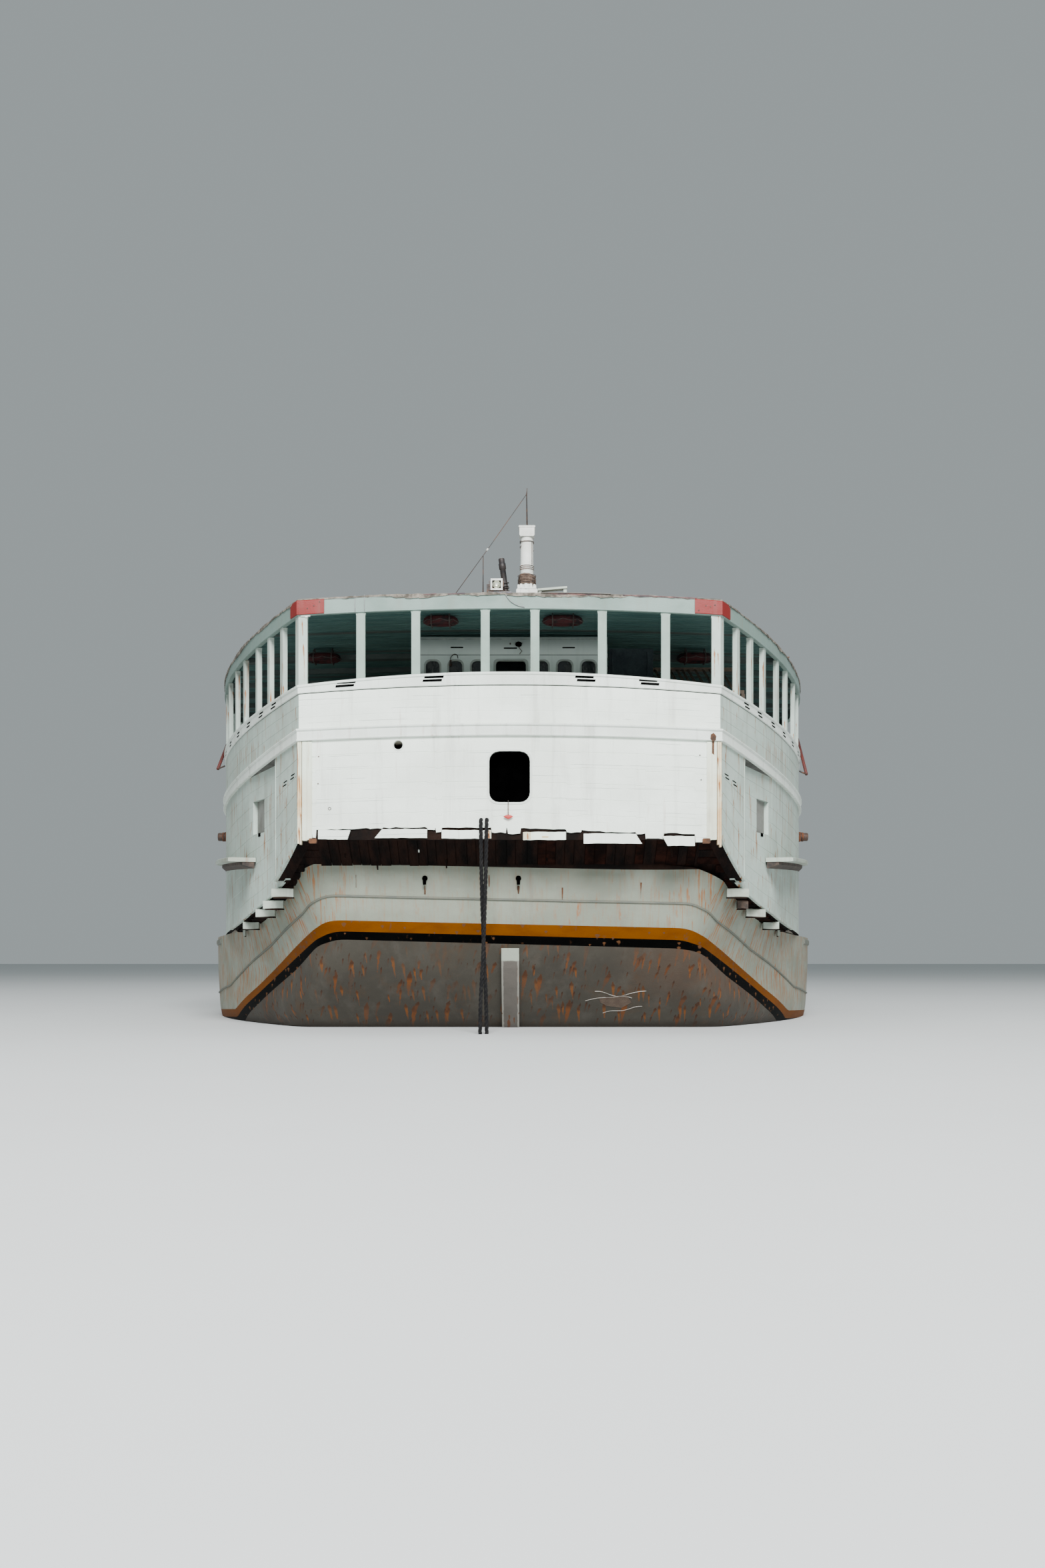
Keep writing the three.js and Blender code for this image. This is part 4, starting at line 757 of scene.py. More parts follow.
# Stage: a pale floor where the water is, and soft light from behind the camera and above
def make_stage():
    mesh = bpy.data.meshes.new("floor")
    reach = 600.0
    mesh.from_pydata([(-reach, -reach, 0), (reach, -reach, 0), (reach, reach, 0), (-reach, reach, 0)],
                     [], [(0, 1, 2, 3)])
    floor = bpy.data.objects.new("floor", mesh)
    mesh.materials.append(plain("floor_paper", (0.60, 0.62, 0.62), (0.58, 0.60, 0.60), 0.05, 0.9))
    bpy.context.scene.collection.objects.link(floor)

    world = bpy.data.worlds.new("studio")
    world.use_nodes = True
    background = world.node_tree.nodes["Background"]
    background.inputs["Color"].default_value = (0.74, 0.83, 0.85, 1.0)
    background.inputs["Strength"].default_value = 0.45
    bpy.context.scene.world = world

    lamps = [
        ("key", (4.0, -75.0, 42.0), (0.0, -19.0, 3.5), 26.0, 112000.0),
        ("top", (0.0, 0.0, 60.0), (0.0, 0.0, 0.0), 50.0, 9000.0),
    ]
    for name, place, target, size, power in lamps:
        data = bpy.data.lights.new(name, "AREA")
        data.size = size
        data.energy = power
        lamp = bpy.data.objects.new(name, data)
        lamp.location = place
        lamp.rotation_euler = (Vector(target) - Vector(place)).to_track_quat("-Z", "Y").to_euler()
        bpy.context.scene.collection.objects.link(lamp)


make_stage()


# Hull. Its painted lines slope down to starboard, and its knuckle between stern and side is rounded.
BOW_SHOULDER_U = 21.0
LINES_SLOPE = 0.020
KNUCKLE_ROUND = 0.36
TRANSOM_CAMBER = 0.10
CORNER_WORN = 0.14
# Level curves from the deck edge to the bottom. Columns: height, the stern's place, half width of the
# flat stern, place and size of the full half beam, fullness aft, the stem's place, fullness forward
LEVELS = [
    (hull_top, 0.85, 3.30, 9.5, 6.30, 1.4, 39.0, 2.2),
    (lambda u: 0.8 + 0.7 * math.exp(-(u - 1.12) / 2.5) + 0.5 * sheer(u), 1.12, 3.00, 9.8, 6.30, 1.6, 38.1,
     2.0),
    (lambda u: 0.0, 2.45, 3.55, 11.0, 6.30, 2.0, 36.8, 1.8),
    (lambda u: -0.6, 3.90, 2.70, 12.0, 6.15, 2.0, 36.3, 1.6),
    (lambda u: -1.3, 6.30, 1.50, 13.0, 5.70, 2.0, 35.7, 1.5),
    (lambda u: -1.85, 8.60, 0.70, 14.0, 4.30, 1.8, 35.0, 1.4),
    (lambda u: -2.1, 9.60, 0.15, 15.0, 2.60, 1.8, 34.3, 1.3),
]


def level_point(level, top_u, share):
    high, stern_u, knuckle, full_u, full, aft_power, stem_u, bow_power = level
    u = stern_u + (top_u - HULL_STERN_U) / (LENGTH - HULL_STERN_U) * (stem_u - stern_u)
    if share < 1:
        return Vector((knuckle * share, u, high(u)))
    if u > BOW_SHOULDER_U:
        q = min(1.0, (u - BOW_SHOULDER_U) / (stem_u - BOW_SHOULDER_U))
        return Vector((full * (1 - q ** bow_power), u, high(u)))
    q = min(1.0, (u - stern_u) / (full_u - stern_u))
    return Vector((knuckle + (full - knuckle) * (1 - (1 - q) ** aft_power), u, high(u)))


def hull_top_half(u):
    return level_point(LEVELS[0], max(u, HULL_STERN_U), 1)[0]


def along(table, u):
    """The height at a place on the straight runs between a table's points (u, height)."""
    if u <= table[0][0]:
        return table[0][1]
    for (u0, z0), (u1, z1) in zip(table, table[1:]):
        if u <= u1:
            return z0 + (z1 - z0) * (u - u0) / (u1 - u0)
    return table[-1][1]


# Painted lines on the hull, as (u, height)
MOULDING_LINE = [(0.88, 2.15), (0.95, 2.10), (1.05, 2.03), (1.5, 1.83), (3.05, 1.36), (4.5, 1.03),
                 (6.0, 0.65),
                 (8.0, 0.48), (12.0, 0.38), (39.0, 0.48)]
OCHRE_TOP = [(0.98, 1.735), (1.05, 1.71), (1.25, 1.61), (2.15, 1.30), (3.95, 0.66), (5.5, 0.20),
             (8.0, 0.13), (39.0, 0.30)]
OCHRE_TALL, BLACK_TALL = 0.15, 0.10
BLACK_FOOT = -OCHRE_TALL - BLACK_TALL
BANDS = [(MOULDING_LINE, 0.0), (OCHRE_TOP, 0.0), (OCHRE_TOP, -OCHRE_TALL), (OCHRE_TOP, BLACK_FOOT)]
# Rows of faces down to each of them, and from the last one to the bottom
BAND_ROWS = (6, 4, 2, 2, 22)
BAND_PAINTS = (0, 0, 1, 2, 3)


def tilt(point, side):
    """How much lower the stern's lines lie there: they slope down to starboard."""
    return LINES_SLOPE * side * min(point[0], 3.3) * math.exp(-max(0.0, point[1] - 1.0) / 3.0)


def band_height(band, point, side):
    table, drop = band
    wide = 1 + 0.9 * smooth(1.3, 2.4, point[1]) * (drop <= BLACK_FOOT + 1e-6)
    below = drop if wide == 1 else -OCHRE_TALL - BLACK_TALL * wide
    return along(table, point[1]) + below - tilt(point, side)


def hull_column(top_u, share, side=0):
    return banded([level_point(level, top_u, share) for level in LEVELS], side)


def banded(points, side):
    """Points down one column of the hull, with rows at the painted lines."""
    points[0][2] -= tilt(points[0], side)
    curve = curve_through(points, 24)
    stops = [0.0]
    for band in BANDS:
        found = next((i for i, p in enumerate(curve) if p[2] < band_height(band, p, side)), len(curve) - 1)
        above, below = curve[max(found - 1, 0)], curve[found]
        excess = above[2] - band_height(band, above, side)
        gap = excess - (below[2] - band_height(band, below, side))
        part = excess / gap if gap > 1e-6 else 1.0
        stops.append(max(found - 1 + min(1.0, max(0.0, part)), stops[-1] + 0.02))
    stops.append(len(curve) - 1.0)
    rows = []
    for start, end, count in zip(stops, stops[1:], BAND_ROWS):
        rows += [start + (end - start) * k / count for k in range(count)]
    rows.append(stops[-1])
    placed = []
    for row in rows:
        i = min(int(row), len(curve) - 2)
        placed.append(curve[i].lerp(curve[i + 1], row - i))
    return placed


def corner_column(t, side):
    """A column of the rounded knuckle between the transom and the side."""
    points = []
    for i, level in enumerate(LEVELS):
        knuckle = level[2]
        reach = min(KNUCKLE_ROUND, 0.6 * knuckle)
        a = transom_point(level, i, 1 - reach / knuckle)
        corner = level_point(level, HULL_STERN_U, 0.99999)
        corner.z -= CORNER_WORN if i == 0 else 0.0
        b = level_point(level, HULL_STERN_U + reach, 1)
        points.append(a * (1 - t) ** 2 + corner * 2 * t * (1 - t) + b * t ** 2)
    return banded(points, side)


def transom_point(level, row, share):
    point = level_point(level, HULL_STERN_U, share)
    if row == 0:
        point.z += 0.4 * TRANSOM_CAMBER - TRANSOM_CAMBER * share ** 4
    return point


def hull_surface(side):
    """Columns from the stern's centreline round the knuckle and forward to the stem, one side."""
    columns = []
    for step in spaced(0.0, 1.0, 0.09)[:-1]:
        points = []
        for i, level in enumerate(LEVELS):
            reach = min(KNUCKLE_ROUND, 0.6 * level[2])
            points.append(transom_point(level, i, step * (1 - reach / level[2])))
        columns.append(banded(points, side))
    columns += [corner_column(t, side) for t in spaced(0.0, 1.0, 0.125)]
    start = HULL_STERN_U + KNUCKLE_ROUND
    places = spaced(start, 12.0, 0.18)[1:] + spaced(12.0, 30.0, 0.75)[1:] + spaced(30.0, LENGTH, 0.3)[1:]
    columns += [hull_column(u, 1, side) for u in places]
    return columns


def make_hull():
    surfaces = {side: hull_surface(side) for side in (-1, 1)}
    columns = surfaces[1]
    rows = len(columns[0])
    bands = [paint for paint, count in zip(BAND_PAINTS, BAND_ROWS) for _ in range(count)]
    verts, faces, indices = [], [], []
    for side in (-1, 1):
        base = len(verts)
        verts += [(side * x, STERN_Y + u, z) for column in surfaces[side] for x, u, z in column]
        for c in range(len(columns) - 1):
            for r in range(rows - 1):
                a = base + c * rows + r
                faces.append((a, a + 1, a + rows + 1, a + rows))
                indices.append(bands[r])
    half = len(columns) * rows
    for c in range(len(columns) - 1):
        top, bottom = c * rows, c * rows + rows - 1
        faces.append((top, top + rows, half + top + rows, half + top))
        indices.append(4)
        faces.append((bottom, half + bottom, half + bottom + rows, bottom + rows))
        indices.append(3)
    hull = piece("hull_planking", verts, faces, [HULL_WHITE, OCHRE, BLACK_STRIPE, BOTTOM, DARK],
                 slot="hull_paint", replaces=["hull"], indices=indices, flat=False)
    crease(hull, 28)
    build = Build()
    for side in (-1, 1):
        edge = [column[BAND_ROWS[0]] for column in surfaces[side]]
        path = [Vector((side * x, STERN_Y + u, z)) for x, u, z in edge]
        build.tube([p + outward(p, side) * 0.006 for p in path], 0.019, 8)
    build.make("hull_moulding", MOULDING, slot="hull_paint", flat=False)


def outward(point, side):
    """Roughly away from the hull's middle, level."""
    if point.y < STERN_Y + 1.4 and abs(point.x) < 2.9:
        return Vector((0.0, -1.0, 0.2))
    return Vector((side * 0.85, -0.5 if point.y < -8 else 0.0, 0.0))


def crease(obj, angle):
    """Smooth shading that breaks at edges sharper than an angle in degrees."""
    mesh = obj.data
    mesh.polygons.foreach_set("use_smooth", [True] * len(mesh.polygons))
    work = bmesh.new()
    work.from_mesh(mesh)
    limit = math.radians(angle)
    for edge in work.edges:
        edge.smooth = len(edge.link_faces) == 2 and edge.calc_face_angle(0.0) < limit
    work.to_mesh(mesh)
    work.free()


make_hull()


# Walls and trim of the house
random.seed(7)
PANEL_SIDES = [(-1, "port"), (1, "starboard")]


def grooved(low, high, planks, depth=0.006, gap=0.007, out=0.0, thick=WALL):
    """A wall's section, closed: its outer face with a groove at each plank seam."""
    points = [(out - thick, low), (out, low)]
    for k in range(1, planks):
        z = low + (high - low) * k / planks
        points += [(out, z - gap), (out - depth, z - gap / 4), (out - depth, z + gap / 4), (out, z + gap)]
    return points + [(out, high), (out - thick, high)]


def carve(obj, cutter):
    """Cuts a throwaway Build out of an object."""
    mesh = bpy.data.meshes.new("cutter")
    mesh.from_pydata([tuple(v) for v in cutter.verts], [], cutter.faces)
    face_outwards(mesh)
    tool = bpy.data.objects.new("cutter", mesh)
    bpy.context.scene.collection.objects.link(tool)
    modifier = obj.modifiers.new("cut", "BOOLEAN")
    modifier.operation, modifier.solver, modifier.object = "DIFFERENCE", "EXACT", tool
    modifier.material_mode = "INDEX"
    bpy.context.view_layer.update()
    result = bpy.data.meshes.new_from_object(obj.evaluated_get(bpy.context.evaluated_depsgraph_get()))
    obj.modifiers.remove(modifier)
    obj.data = result
    bpy.data.objects.remove(tool)
    bpy.data.meshes.remove(mesh)


def prism(build, place, outline, out0, out1, index=0):
    """A flat outline of (along, z) on a wall at a place, between two distances outwards."""
    build.rings([[place.on_wall(a, out, z) for a, z in outline] for out in (out0, out1)], index)


def rounded(half, low, high, corner, steps=4):
    """A rectangle's outline with rounded corners."""
    points = []
    for cx, cz, start in ((half - corner, high - corner, 0), (-half + corner, high - corner, 90),
                          (-half + corner, low + corner, 180), (half - corner, low + corner, 270)):
        for k in range(steps + 1):
            t = math.radians(start + 90 * k / steps)
            points.append((cx + corner * math.cos(t), cz + corner * math.sin(t)))
    return points


def rectangle(half, low, high):
    return [(-half, low), (half, low), (half, high), (-half, high)]


# The stern wall's rotten lower edge. Tongues hang between the plank ends: both ends and the low point
STERN_EDGE = [(-3.03, 3.150), (-2.5, 3.165), (-1.6, 3.190), (0.0, 3.180), (0.9, 3.150), (1.6, 3.118),
              (2.3, 3.100), (3.03, 3.085)]
TONGUES = [(-3.05, -2.99, 3.03), (-2.16, -1.97, 3.165), (-1.27, -1.15, 3.150), (-1.14, -1.05, 3.115),
           (-0.28, -0.05, 3.105), (-0.03, 0.17, 3.090), (0.88, 1.11, 3.110), (1.96, 2.09, 3.085),
           (2.10, 2.38, 3.010), (2.87, 3.05, 2.960)]


def stern_edge(x):
    z = along(STERN_EDGE, x)
    for x0, x1, low in TONGUES:
        if x0 < x < x1:
            z = low
    return z + random.uniform(-0.009, 0.009)


STERN_HALF = TRANSOM_HALF - WALL - WALL_INSET
OPENING = {"half": 0.315, "low": 3.575, "high": 4.365, "corner": 0.15}
BULLSEYE = {"x": -1.72, "z": 4.46, "radius": 0.072}


def make_stern_wall():
    build = Build()
    sides = [x + d for tongue in TONGUES for x in tongue[:2] for d in (-0.006, 0.006)]
    build.rings(sweep(stern_path(STERN_HALF, 0.09, sides),
                      lambda p: grooved(stern_edge(p.x), p.line("belt") - 0.001, 6)))
    wall = build.make("stern_planking", [WHITE, BLACK], slot="white_paint", replaces=["stern_wall"])
    half, low, high, corner = (OPENING[key] for key in ("half", "low", "high", "corner"))
    middle, eye = stern_place(0.0), stern_place(BULLSEYE["x"])
    opening = rounded(half, low, high, corner)
    cutter = Build()
    prism(cutter, middle, opening, -0.3, 0.2)
    prism(cutter, eye, circle(BULLSEYE["radius"], BULLSEYE["z"]), -0.3, 0.2)
    carve(wall, cutter)

    trim = Build()
    frame_ring(trim, middle, opening, rounded(half + 0.035, low - 0.03, high + 0.03, corner + 0.02), -0.085,
               0.008)
    frame_ring(trim, eye, circle(0.070, BULLSEYE["z"]), circle(0.086, BULLSEYE["z"]), -0.085, 0.010)
    trim.make("stern_openings_rim", TRIM, slot="white_paint")

    # Near-black sheets behind the opening and the bull's-eye: painted shade for the dark inside.
    back = Build()
    back.block((-1.2, 0.32, 3.2), (1.2, 0.36, 4.45))
    back.block((-2.4, 0.20, 4.2), (-1.3, 0.24, 4.55))
    back.make("stern_opening_shade_backing", BLACK, slot="dark_wood")


def circle(radius, z, steps=20, x=0.0):
    turn = turns(steps)
    return [(x + radius * math.cos(t), z + radius * math.sin(t)) for t in turn]


def frame_ring(build, place, inner, outer, out0, out1, index=0):
    """A flat frame between two outlines with equally many points."""
    count = len(inner)
    verts = [place.on_wall(a, out, z) for out in (out0, out1) for line in (inner, outer) for a, z in line]
    faces = []
    for i in range(count):
        j = (i + 1) % count
        faces += [(i, j, count + j, count + i),
                  (2 * count + i, 3 * count + i, 3 * count + j, 2 * count + j)]
        faces += [(i, 2 * count + i, 2 * count + j, j),
                  (count + i, count + j, 3 * count + j, 3 * count + i)]
    build.add(verts, faces, index)


# Corner boards at the stern's edges, and the plank ends that hang below the wall
def make_corner_boards():
    build = Build()
    for side in (-1, 1):
        top = height("belt", 0, TRANSOM_HALF) - 0.002
        for index, x0, x1, drop in ((0, 3.05, 3.202, 0.05), (1, 3.210, 3.275, 0.13)):
            xs = sorted((side * x0, side * x1))
            low = wall_low(0, TRANSOM_HALF) - drop
            for k in range(2):
                edge = low + random.uniform(-0.03, 0.03)
                span = (xs[0] + (xs[1] - xs[0]) * k / 2, xs[0] + (xs[1] - xs[0]) * (k + 1) / 2 - 0.002)
                build.block((span[0], -0.022, edge), (span[1], 0.075, top), index, 0.004)
    build.make("stern_corner_boards", [CORNER_CREAM, CORNER_BOARD], slot="white_paint")


# What is left of the lowest planks. Columns: lower edge's ends, heights, and how far each end is cut
# back at the top
PLANK_ENDS = [
    (-2.951, -2.50, 3.000, 3.140, 0.00, -0.045),
    (-2.080, -1.272, 3.022, 3.160, 0.115, 0.00),
    (-1.046, -0.284, 3.010, 3.140, 0.00, 0.00),
    (0.210, 0.869, 2.990, 3.112, 0.00, 0.00),
    (1.144, 2.043, 2.935, 3.088, 0.00, 0.095),
    (2.440, 2.857, 2.900, 3.048, -0.08, 0.00),
]


def make_plank_ends():
    """The lowest planks of the stern: six lengths are left, with the frame behind them, near black with
    painted shade.
    """
    build = Build()
    # The frame behind the plank ends, near black: painted shade.
    build.block((-3.0, 0.03, 3.00), (3.0, 0.12, 3.24), 1)
    for x0, x1, low, high, cut0, cut1 in PLANK_ENDS:
        steps = spaced(0.0, 1.0, 0.08)
        rings = []
        for t in steps:
            fray = random.uniform(-0.004, 0.004)
            foot, head = x0 + (x1 - x0) * t, x0 + cut0 + (x1 - cut1 - x0 - cut0) * t
            rings.append([
                (foot, STERN_Y - 0.060, low + fray), (foot, STERN_Y - 0.020, low + fray),
                (head, STERN_Y - 0.020, high + fray), (head, STERN_Y - 0.054, high + fray),
                (head, STERN_Y - 0.060, high - 0.006 + fray),
            ])
        build.rings(rings)
    build.make("stern_plank_ends", [WHITE, DARK], slot="white_paint", replaces=["stern_ledger"])
    stains = Build()
    for x0, x1, low, high in ((-0.36, -0.288, 3.013, 3.137), (0.212, 0.33, 2.993, 3.109),
                              (0.50, 0.60, 3.02, 3.05)):
        stains.block((x0, -0.0608, low), (x1, -0.058, high), bevel=0.002)
    stains.make("stern_plank_rust", CORNER_BOARD, slot="white_paint")


def panel_inset(u):
    if u <= PANEL_U or u >= INSET_END_U:
        return 0.0
    return WALL_INSET * (1 - (u - PANEL_U) / (INSET_END_U - PANEL_U))


QUARTER_WINDOW = {"u": (1.87, 2.50), "z": (3.27, 3.83)}
SIDE_WINDOWS = {"first": 8.6, "pitch": 1.7, "count": 13, "wide": 0.62, "z": (2.65, 3.30)}
GATE = {"u": (15.05, 16.65), "height": 1.95}


def side_window_places():
    for i in range(SIDE_WINDOWS["count"]):
        u = SIDE_WINDOWS["first"] + i * SIDE_WINDOWS["pitch"]
        if u + SIDE_WINDOWS["wide"] > GATE["u"][0] and u < GATE["u"][1]:
            continue
        yield u + SIDE_WINDOWS["wide"] / 2, sheer(u)


def make_side_walls():
    sill = hull_top(GATE["u"][0]) + 0.12
    u0, u1 = QUARTER_WINDOW["u"]
    for side, name in PANEL_SIDES:
        build = Build()
        panel = [side_place(side, u) for u in spaced(0.0, PANEL_U, 0.15)]
        build.rings(sweep(panel, lambda p: grooved(p.low(), p.line("belt") - 0.001, 6, thick=0.23)))
        steps = spaced(PANEL_U - 0.05, INSET_END_U, 0.14) + side_steps(INSET_END_U, HOUSE_END_U)[1:]
        wall = [side_place(side, u, panel_inset(max(u, PANEL_U + 0.001))) for u in steps]
        build.rings(sweep(wall, lambda p: grooved(p.low(), p.line("belt") - 0.001, 9, 0.004)))
        planking = build.make("side_planking_" + name, [QUARTER_SHADED, UNDERSIDE_SHADE], slot="white_paint",
                              replaces=["side_wall_" + name])
        # Faces turned down near the wall's lower edge take the near-black underside boards: painted shade.
        for face in planking.data.polygons:
            if face.normal.z < -0.25 and face.center.z < wall_low(face.center.y - STERN_Y) + 0.12:
                face.material_index = 1
        cutter = Build()
        prism(cutter, side_place(side, (u0 + u1) / 2), rectangle((u1 - u0) / 2, *QUARTER_WINDOW["z"]), -0.5,
              0.4)
        for middle, lift in side_window_places():
            outline = rounded(SIDE_WINDOWS["wide"] / 2, *[z + lift for z in SIDE_WINDOWS["z"]], 0.06, 2)
            prism(cutter, side_place(side, middle), outline, -0.3, 0.3)
        gate = side_place(side, sum(GATE["u"]) / 2)
        prism(cutter, gate, rectangle(0.8, sill, sill + GATE["height"]), -0.5, 0.4)
        carve(planking, cutter)
        make_side_windows(side, name)


def make_side_windows(side, name):
    frames, panes = Build(), Build()
    for middle, lift in side_window_places():
        place = side_place(side, middle)
        low, high = [z + lift for z in SIDE_WINDOWS["z"]]
        half = SIDE_WINDOWS["wide"] / 2
        frame_ring(frames, place, rounded(half - 0.03, low + 0.03, high - 0.03, 0.05, 2),
                   rounded(half + 0.045, low - 0.045, high + 0.045, 0.07, 2), -0.05, 0.018)
        prism(frames, place, rectangle(half + 0.07, low - 0.075, low - 0.045), -0.01, 0.045)
        prism(panes, place, rounded(half - 0.028, low + 0.028, high - 0.028, 0.05, 2), -0.045, -0.037)
    frames.make("side_window_frames_" + name, TRIM, slot="white_paint")
    panes.make("side_window_glass_" + name, GLASS, slot="steel")


BELT_SECTION = [(0.0, 0.0), (0.042, 0.0), (0.052, 0.010), (0.052, 0.022), (0.038, 0.032), (0.036, 0.148),
                (0.050, 0.158), (0.058, 0.170), (0.057, 0.184), (0.044, 0.194), (0.0, 0.198)]


def make_belt():
    build = Build()
    path = round_path(HOUSE_END_U)
    build.rings(sweep(path, lambda p: [(out, p.line("belt") + z) for out, z in BELT_SECTION]))
    build.make("belt_moulding", TRIM, slot="white_paint", replaces=["belt"])


GROOVE_SECTION = [(-0.05, -0.016), (-0.012, -0.016), (-0.012, 0.001), (-0.05, 0.001)]


def make_bulwarks():
    """The planked bulwark from the belt up to the groove, and a black strip of painted shade in the groove.
    """
    rows = [("bulwark_planking_" + name, QUARTER_SHADED, side_path(side, 0.0, HOUSE_END_U), 0.004,
             "side_bulwark_" + name)
            for side, name in PANEL_SIDES]
    rows.append(("bulwark_planking_stern", WHITE, stern_path(TRANSOM_HALF - 0.005), 0.003, "stern_bulwark"))
    for name, paint, path, depth, node in rows:
        build = Build()
        build.rings(sweep(path,
                          lambda p: grooved(p.line("belt") + 0.002, p.line("groove") - 0.014, 4, depth)))
        build.make(name, paint, slot="white_paint", replaces=[node])
    # A black strip in the groove: painted shade.
    shadow = Build()
    shadow.rings(sweep(round_path(HOUSE_END_U),
                       lambda p: [(out, p.line("groove") + z) for out, z in GROOVE_SECTION]))
    shadow.make("rail_groove", BLACK, slot="dark_wood")


def rail_section(p):
    low, high = p.line("groove"), p.line("sill")
    return [(-0.09, low), (0.010, low), (0.018, low + 0.008), (0.018, high - 0.045), (0.030, high - 0.038),
            (0.034, high - 0.028), (0.034, high - 0.006), (0.026, high), (-0.10, high)]


STERN_POSTS_X = [-2.300, -1.450, -0.376, 0.392, 1.433, 2.412]
QUARTER_POSTS_U = [0.76, 1.43, 2.17, 3.17, 4.06, 5.25]
SIDE_POSTS_U = [6.45 + 1.2 * k for k in range(16)]
POST_HALF = 0.0675


def make_rail():
    build = Build()
    build.rings(sweep(round_path(HOUSE_END_U - 0.08), rail_section))
    build.make("rail", TRIM, slot="white_paint")


def post_outline(foot, head, left=True, right=True):
    """A post, with a sliver of moulding under its head."""
    outline = [(-POST_HALF, foot), (POST_HALF, foot)]
    if right:
        outline += [(POST_HALF, head - 0.050), (POST_HALF + 0.010, head - 0.010)]
    outline += [(POST_HALF, head), (-POST_HALF, head)]
    if left:
        outline += [(-POST_HALF - 0.010, head - 0.010), (-POST_HALF, head - 0.050)]
    return outline


def make_posts():
    stern = Build()
    for x in STERN_POSTS_X:
        place = stern_place(x)
        sill, head = place.line("sill"), place.line("fascia")
        prism(stern, place, post_outline(sill - 0.015, head + 0.004), -0.08, -0.002)
        prism(stern, place, rectangle(0.045, sill - 0.01, head), -0.002, 0.004)
    stern.make("stern_posts", POST_WHITE_SHADED, slot="white_paint", replaces=["stern_frame"])
    for side, name in PANEL_SIDES:
        build = Build()
        corner = stern_place(side * (TRANSOM_HALF - POST_HALF))
        sill, head = corner.line("sill") - 0.015, corner.line("fascia") + 0.004
        prism(build, corner, post_outline(sill, head, left=side > 0, right=side < 0), -0.09, -0.002)
        corner = side_place(side, POST_HALF + 0.003)
        prism(build, corner, post_outline(sill, head, left=False), -0.09, -0.002)
        build.make("corner_post_" + name, QUARTER_SHADED, slot="white_paint", replaces=["quarter_frame_" + name])
        build = Build()
        for u in QUARTER_POSTS_U + SIDE_POSTS_U:
            place = side_place(side, u)
            outline = post_outline(place.line("sill") - 0.015, place.line("fascia") + 0.004)
            prism(build, place, outline, -0.08, -0.002)
        build.make("side_posts_" + name, QUARTER_SHADED, slot="white_paint", replaces=["side_frame_" + name])


STERN_SLOTS = [(-2.535, 0.142), (-1.183, 0.148), (1.166, 0.143), (2.152, 0.142)]


def slot_pair(build, place, z, half, tall, fall, vents, outs, lean=0.0):
    """Two narrow slots that fall along a wall. Columns of vents: above the middle, shift along the wall."""
    for dz, shift in vents:
        left, right, middle = shift - half, shift + half, z + dz
        outline = [(left, middle - tall + fall), (right, middle - tall - fall),
                   (right + lean, middle + tall - fall), (left + lean, middle + tall + fall)]
        prism(build, place, outline, *outs)


def make_slots():
    """Pairs of narrow vents in the rail, one over the other, drawn as black slots of painted shade."""
    build = Build()
    for x, half in STERN_SLOTS:
        place = stern_place(x)
        rise = (height("groove", 0, x + half) - height("groove", 0, x - half)) / 2
        middle = (place.line("groove") + place.line("sill")) / 2 + 0.014
        outboard = 0.013 * (1 if x > 0 else -1)
        vents = ((0.027, -outboard), (-0.027, outboard))
        slot_pair(build, place, middle, half, 0.017, -rise, vents, (0.012, 0.025), 0.008)
    posts = QUARTER_POSTS_U + SIDE_POSTS_U
    for side in (-1, 1):
        for before, after in list(zip(posts, posts[1:]))[:9]:
            place = side_place(side, (before + after) / 2)
            middle = (place.line("groove") + place.line("sill")) / 2 - 0.012
            fall = (place.line("sill") - height("sill", place.u + 0.2)) * 0.5
            slot_pair(build, place, middle, 0.12, 0.011, fall, ((0.026, -0.02), (-0.026, 0.03)),
                      (0.012, 0.0215))
    build.make("rail_vents", BLACK, slot="dark_wood")


make_stern_wall()
make_corner_boards()
make_plank_ends()
make_side_walls()
make_belt()
make_bulwarks()
make_rail()
make_posts()
make_slots()


# Roof: a cambered plate in worn felt, boarded below, with a deep fascia round its edge
ROOF_CAMBER = 0.10
ROOF_THICK = 0.07
ROOF_OVERHANG = 0.02


def roof_half(u):
    return house_half(max(u, 0.0)) + ROOF_OVERHANG


def roof_height(x, u):
    share = min(1.0, abs(x) / roof_half(u))
    return height("roof", max(u, 0.0)) + ROOF_CAMBER * (1 - share ** 2)


def ceiling(x, u):
    return roof_height(x, u) - ROOF_THICK


def roof_steps(start, end):
    return sorted({start, end} | {u for u in side_steps(0.0, ROOF_END_U) if start < u < end})


def make_roof():
    build = Build()
    shares = spaced(-1.0, 1.0, 1 / 12)
    rings = []
    for u in roof_steps(-ROOF_OVERHANG, ROOF_END_U):
        top = [(s * roof_half(u), STERN_Y + u, roof_height(s * roof_half(u), u)) for s in shares]
        under = [(x, y, z - ROOF_THICK) for x, y, z in reversed(top)]
        rings.append(top + under)
    build.rings(rings)
    roof = build.make("roof_plate", [ROOFING, CEILING, TRIM], slot="white_paint", replaces=["roof"])
    # Top faces take the felt, faces turned down the ceiling's colour with painted shade, and the edges the
    # trim.
    for face in roof.data.polygons:
        face.material_index = 0 if face.normal.z > 0.5 else 1 if face.normal.z < -0.5 else 2


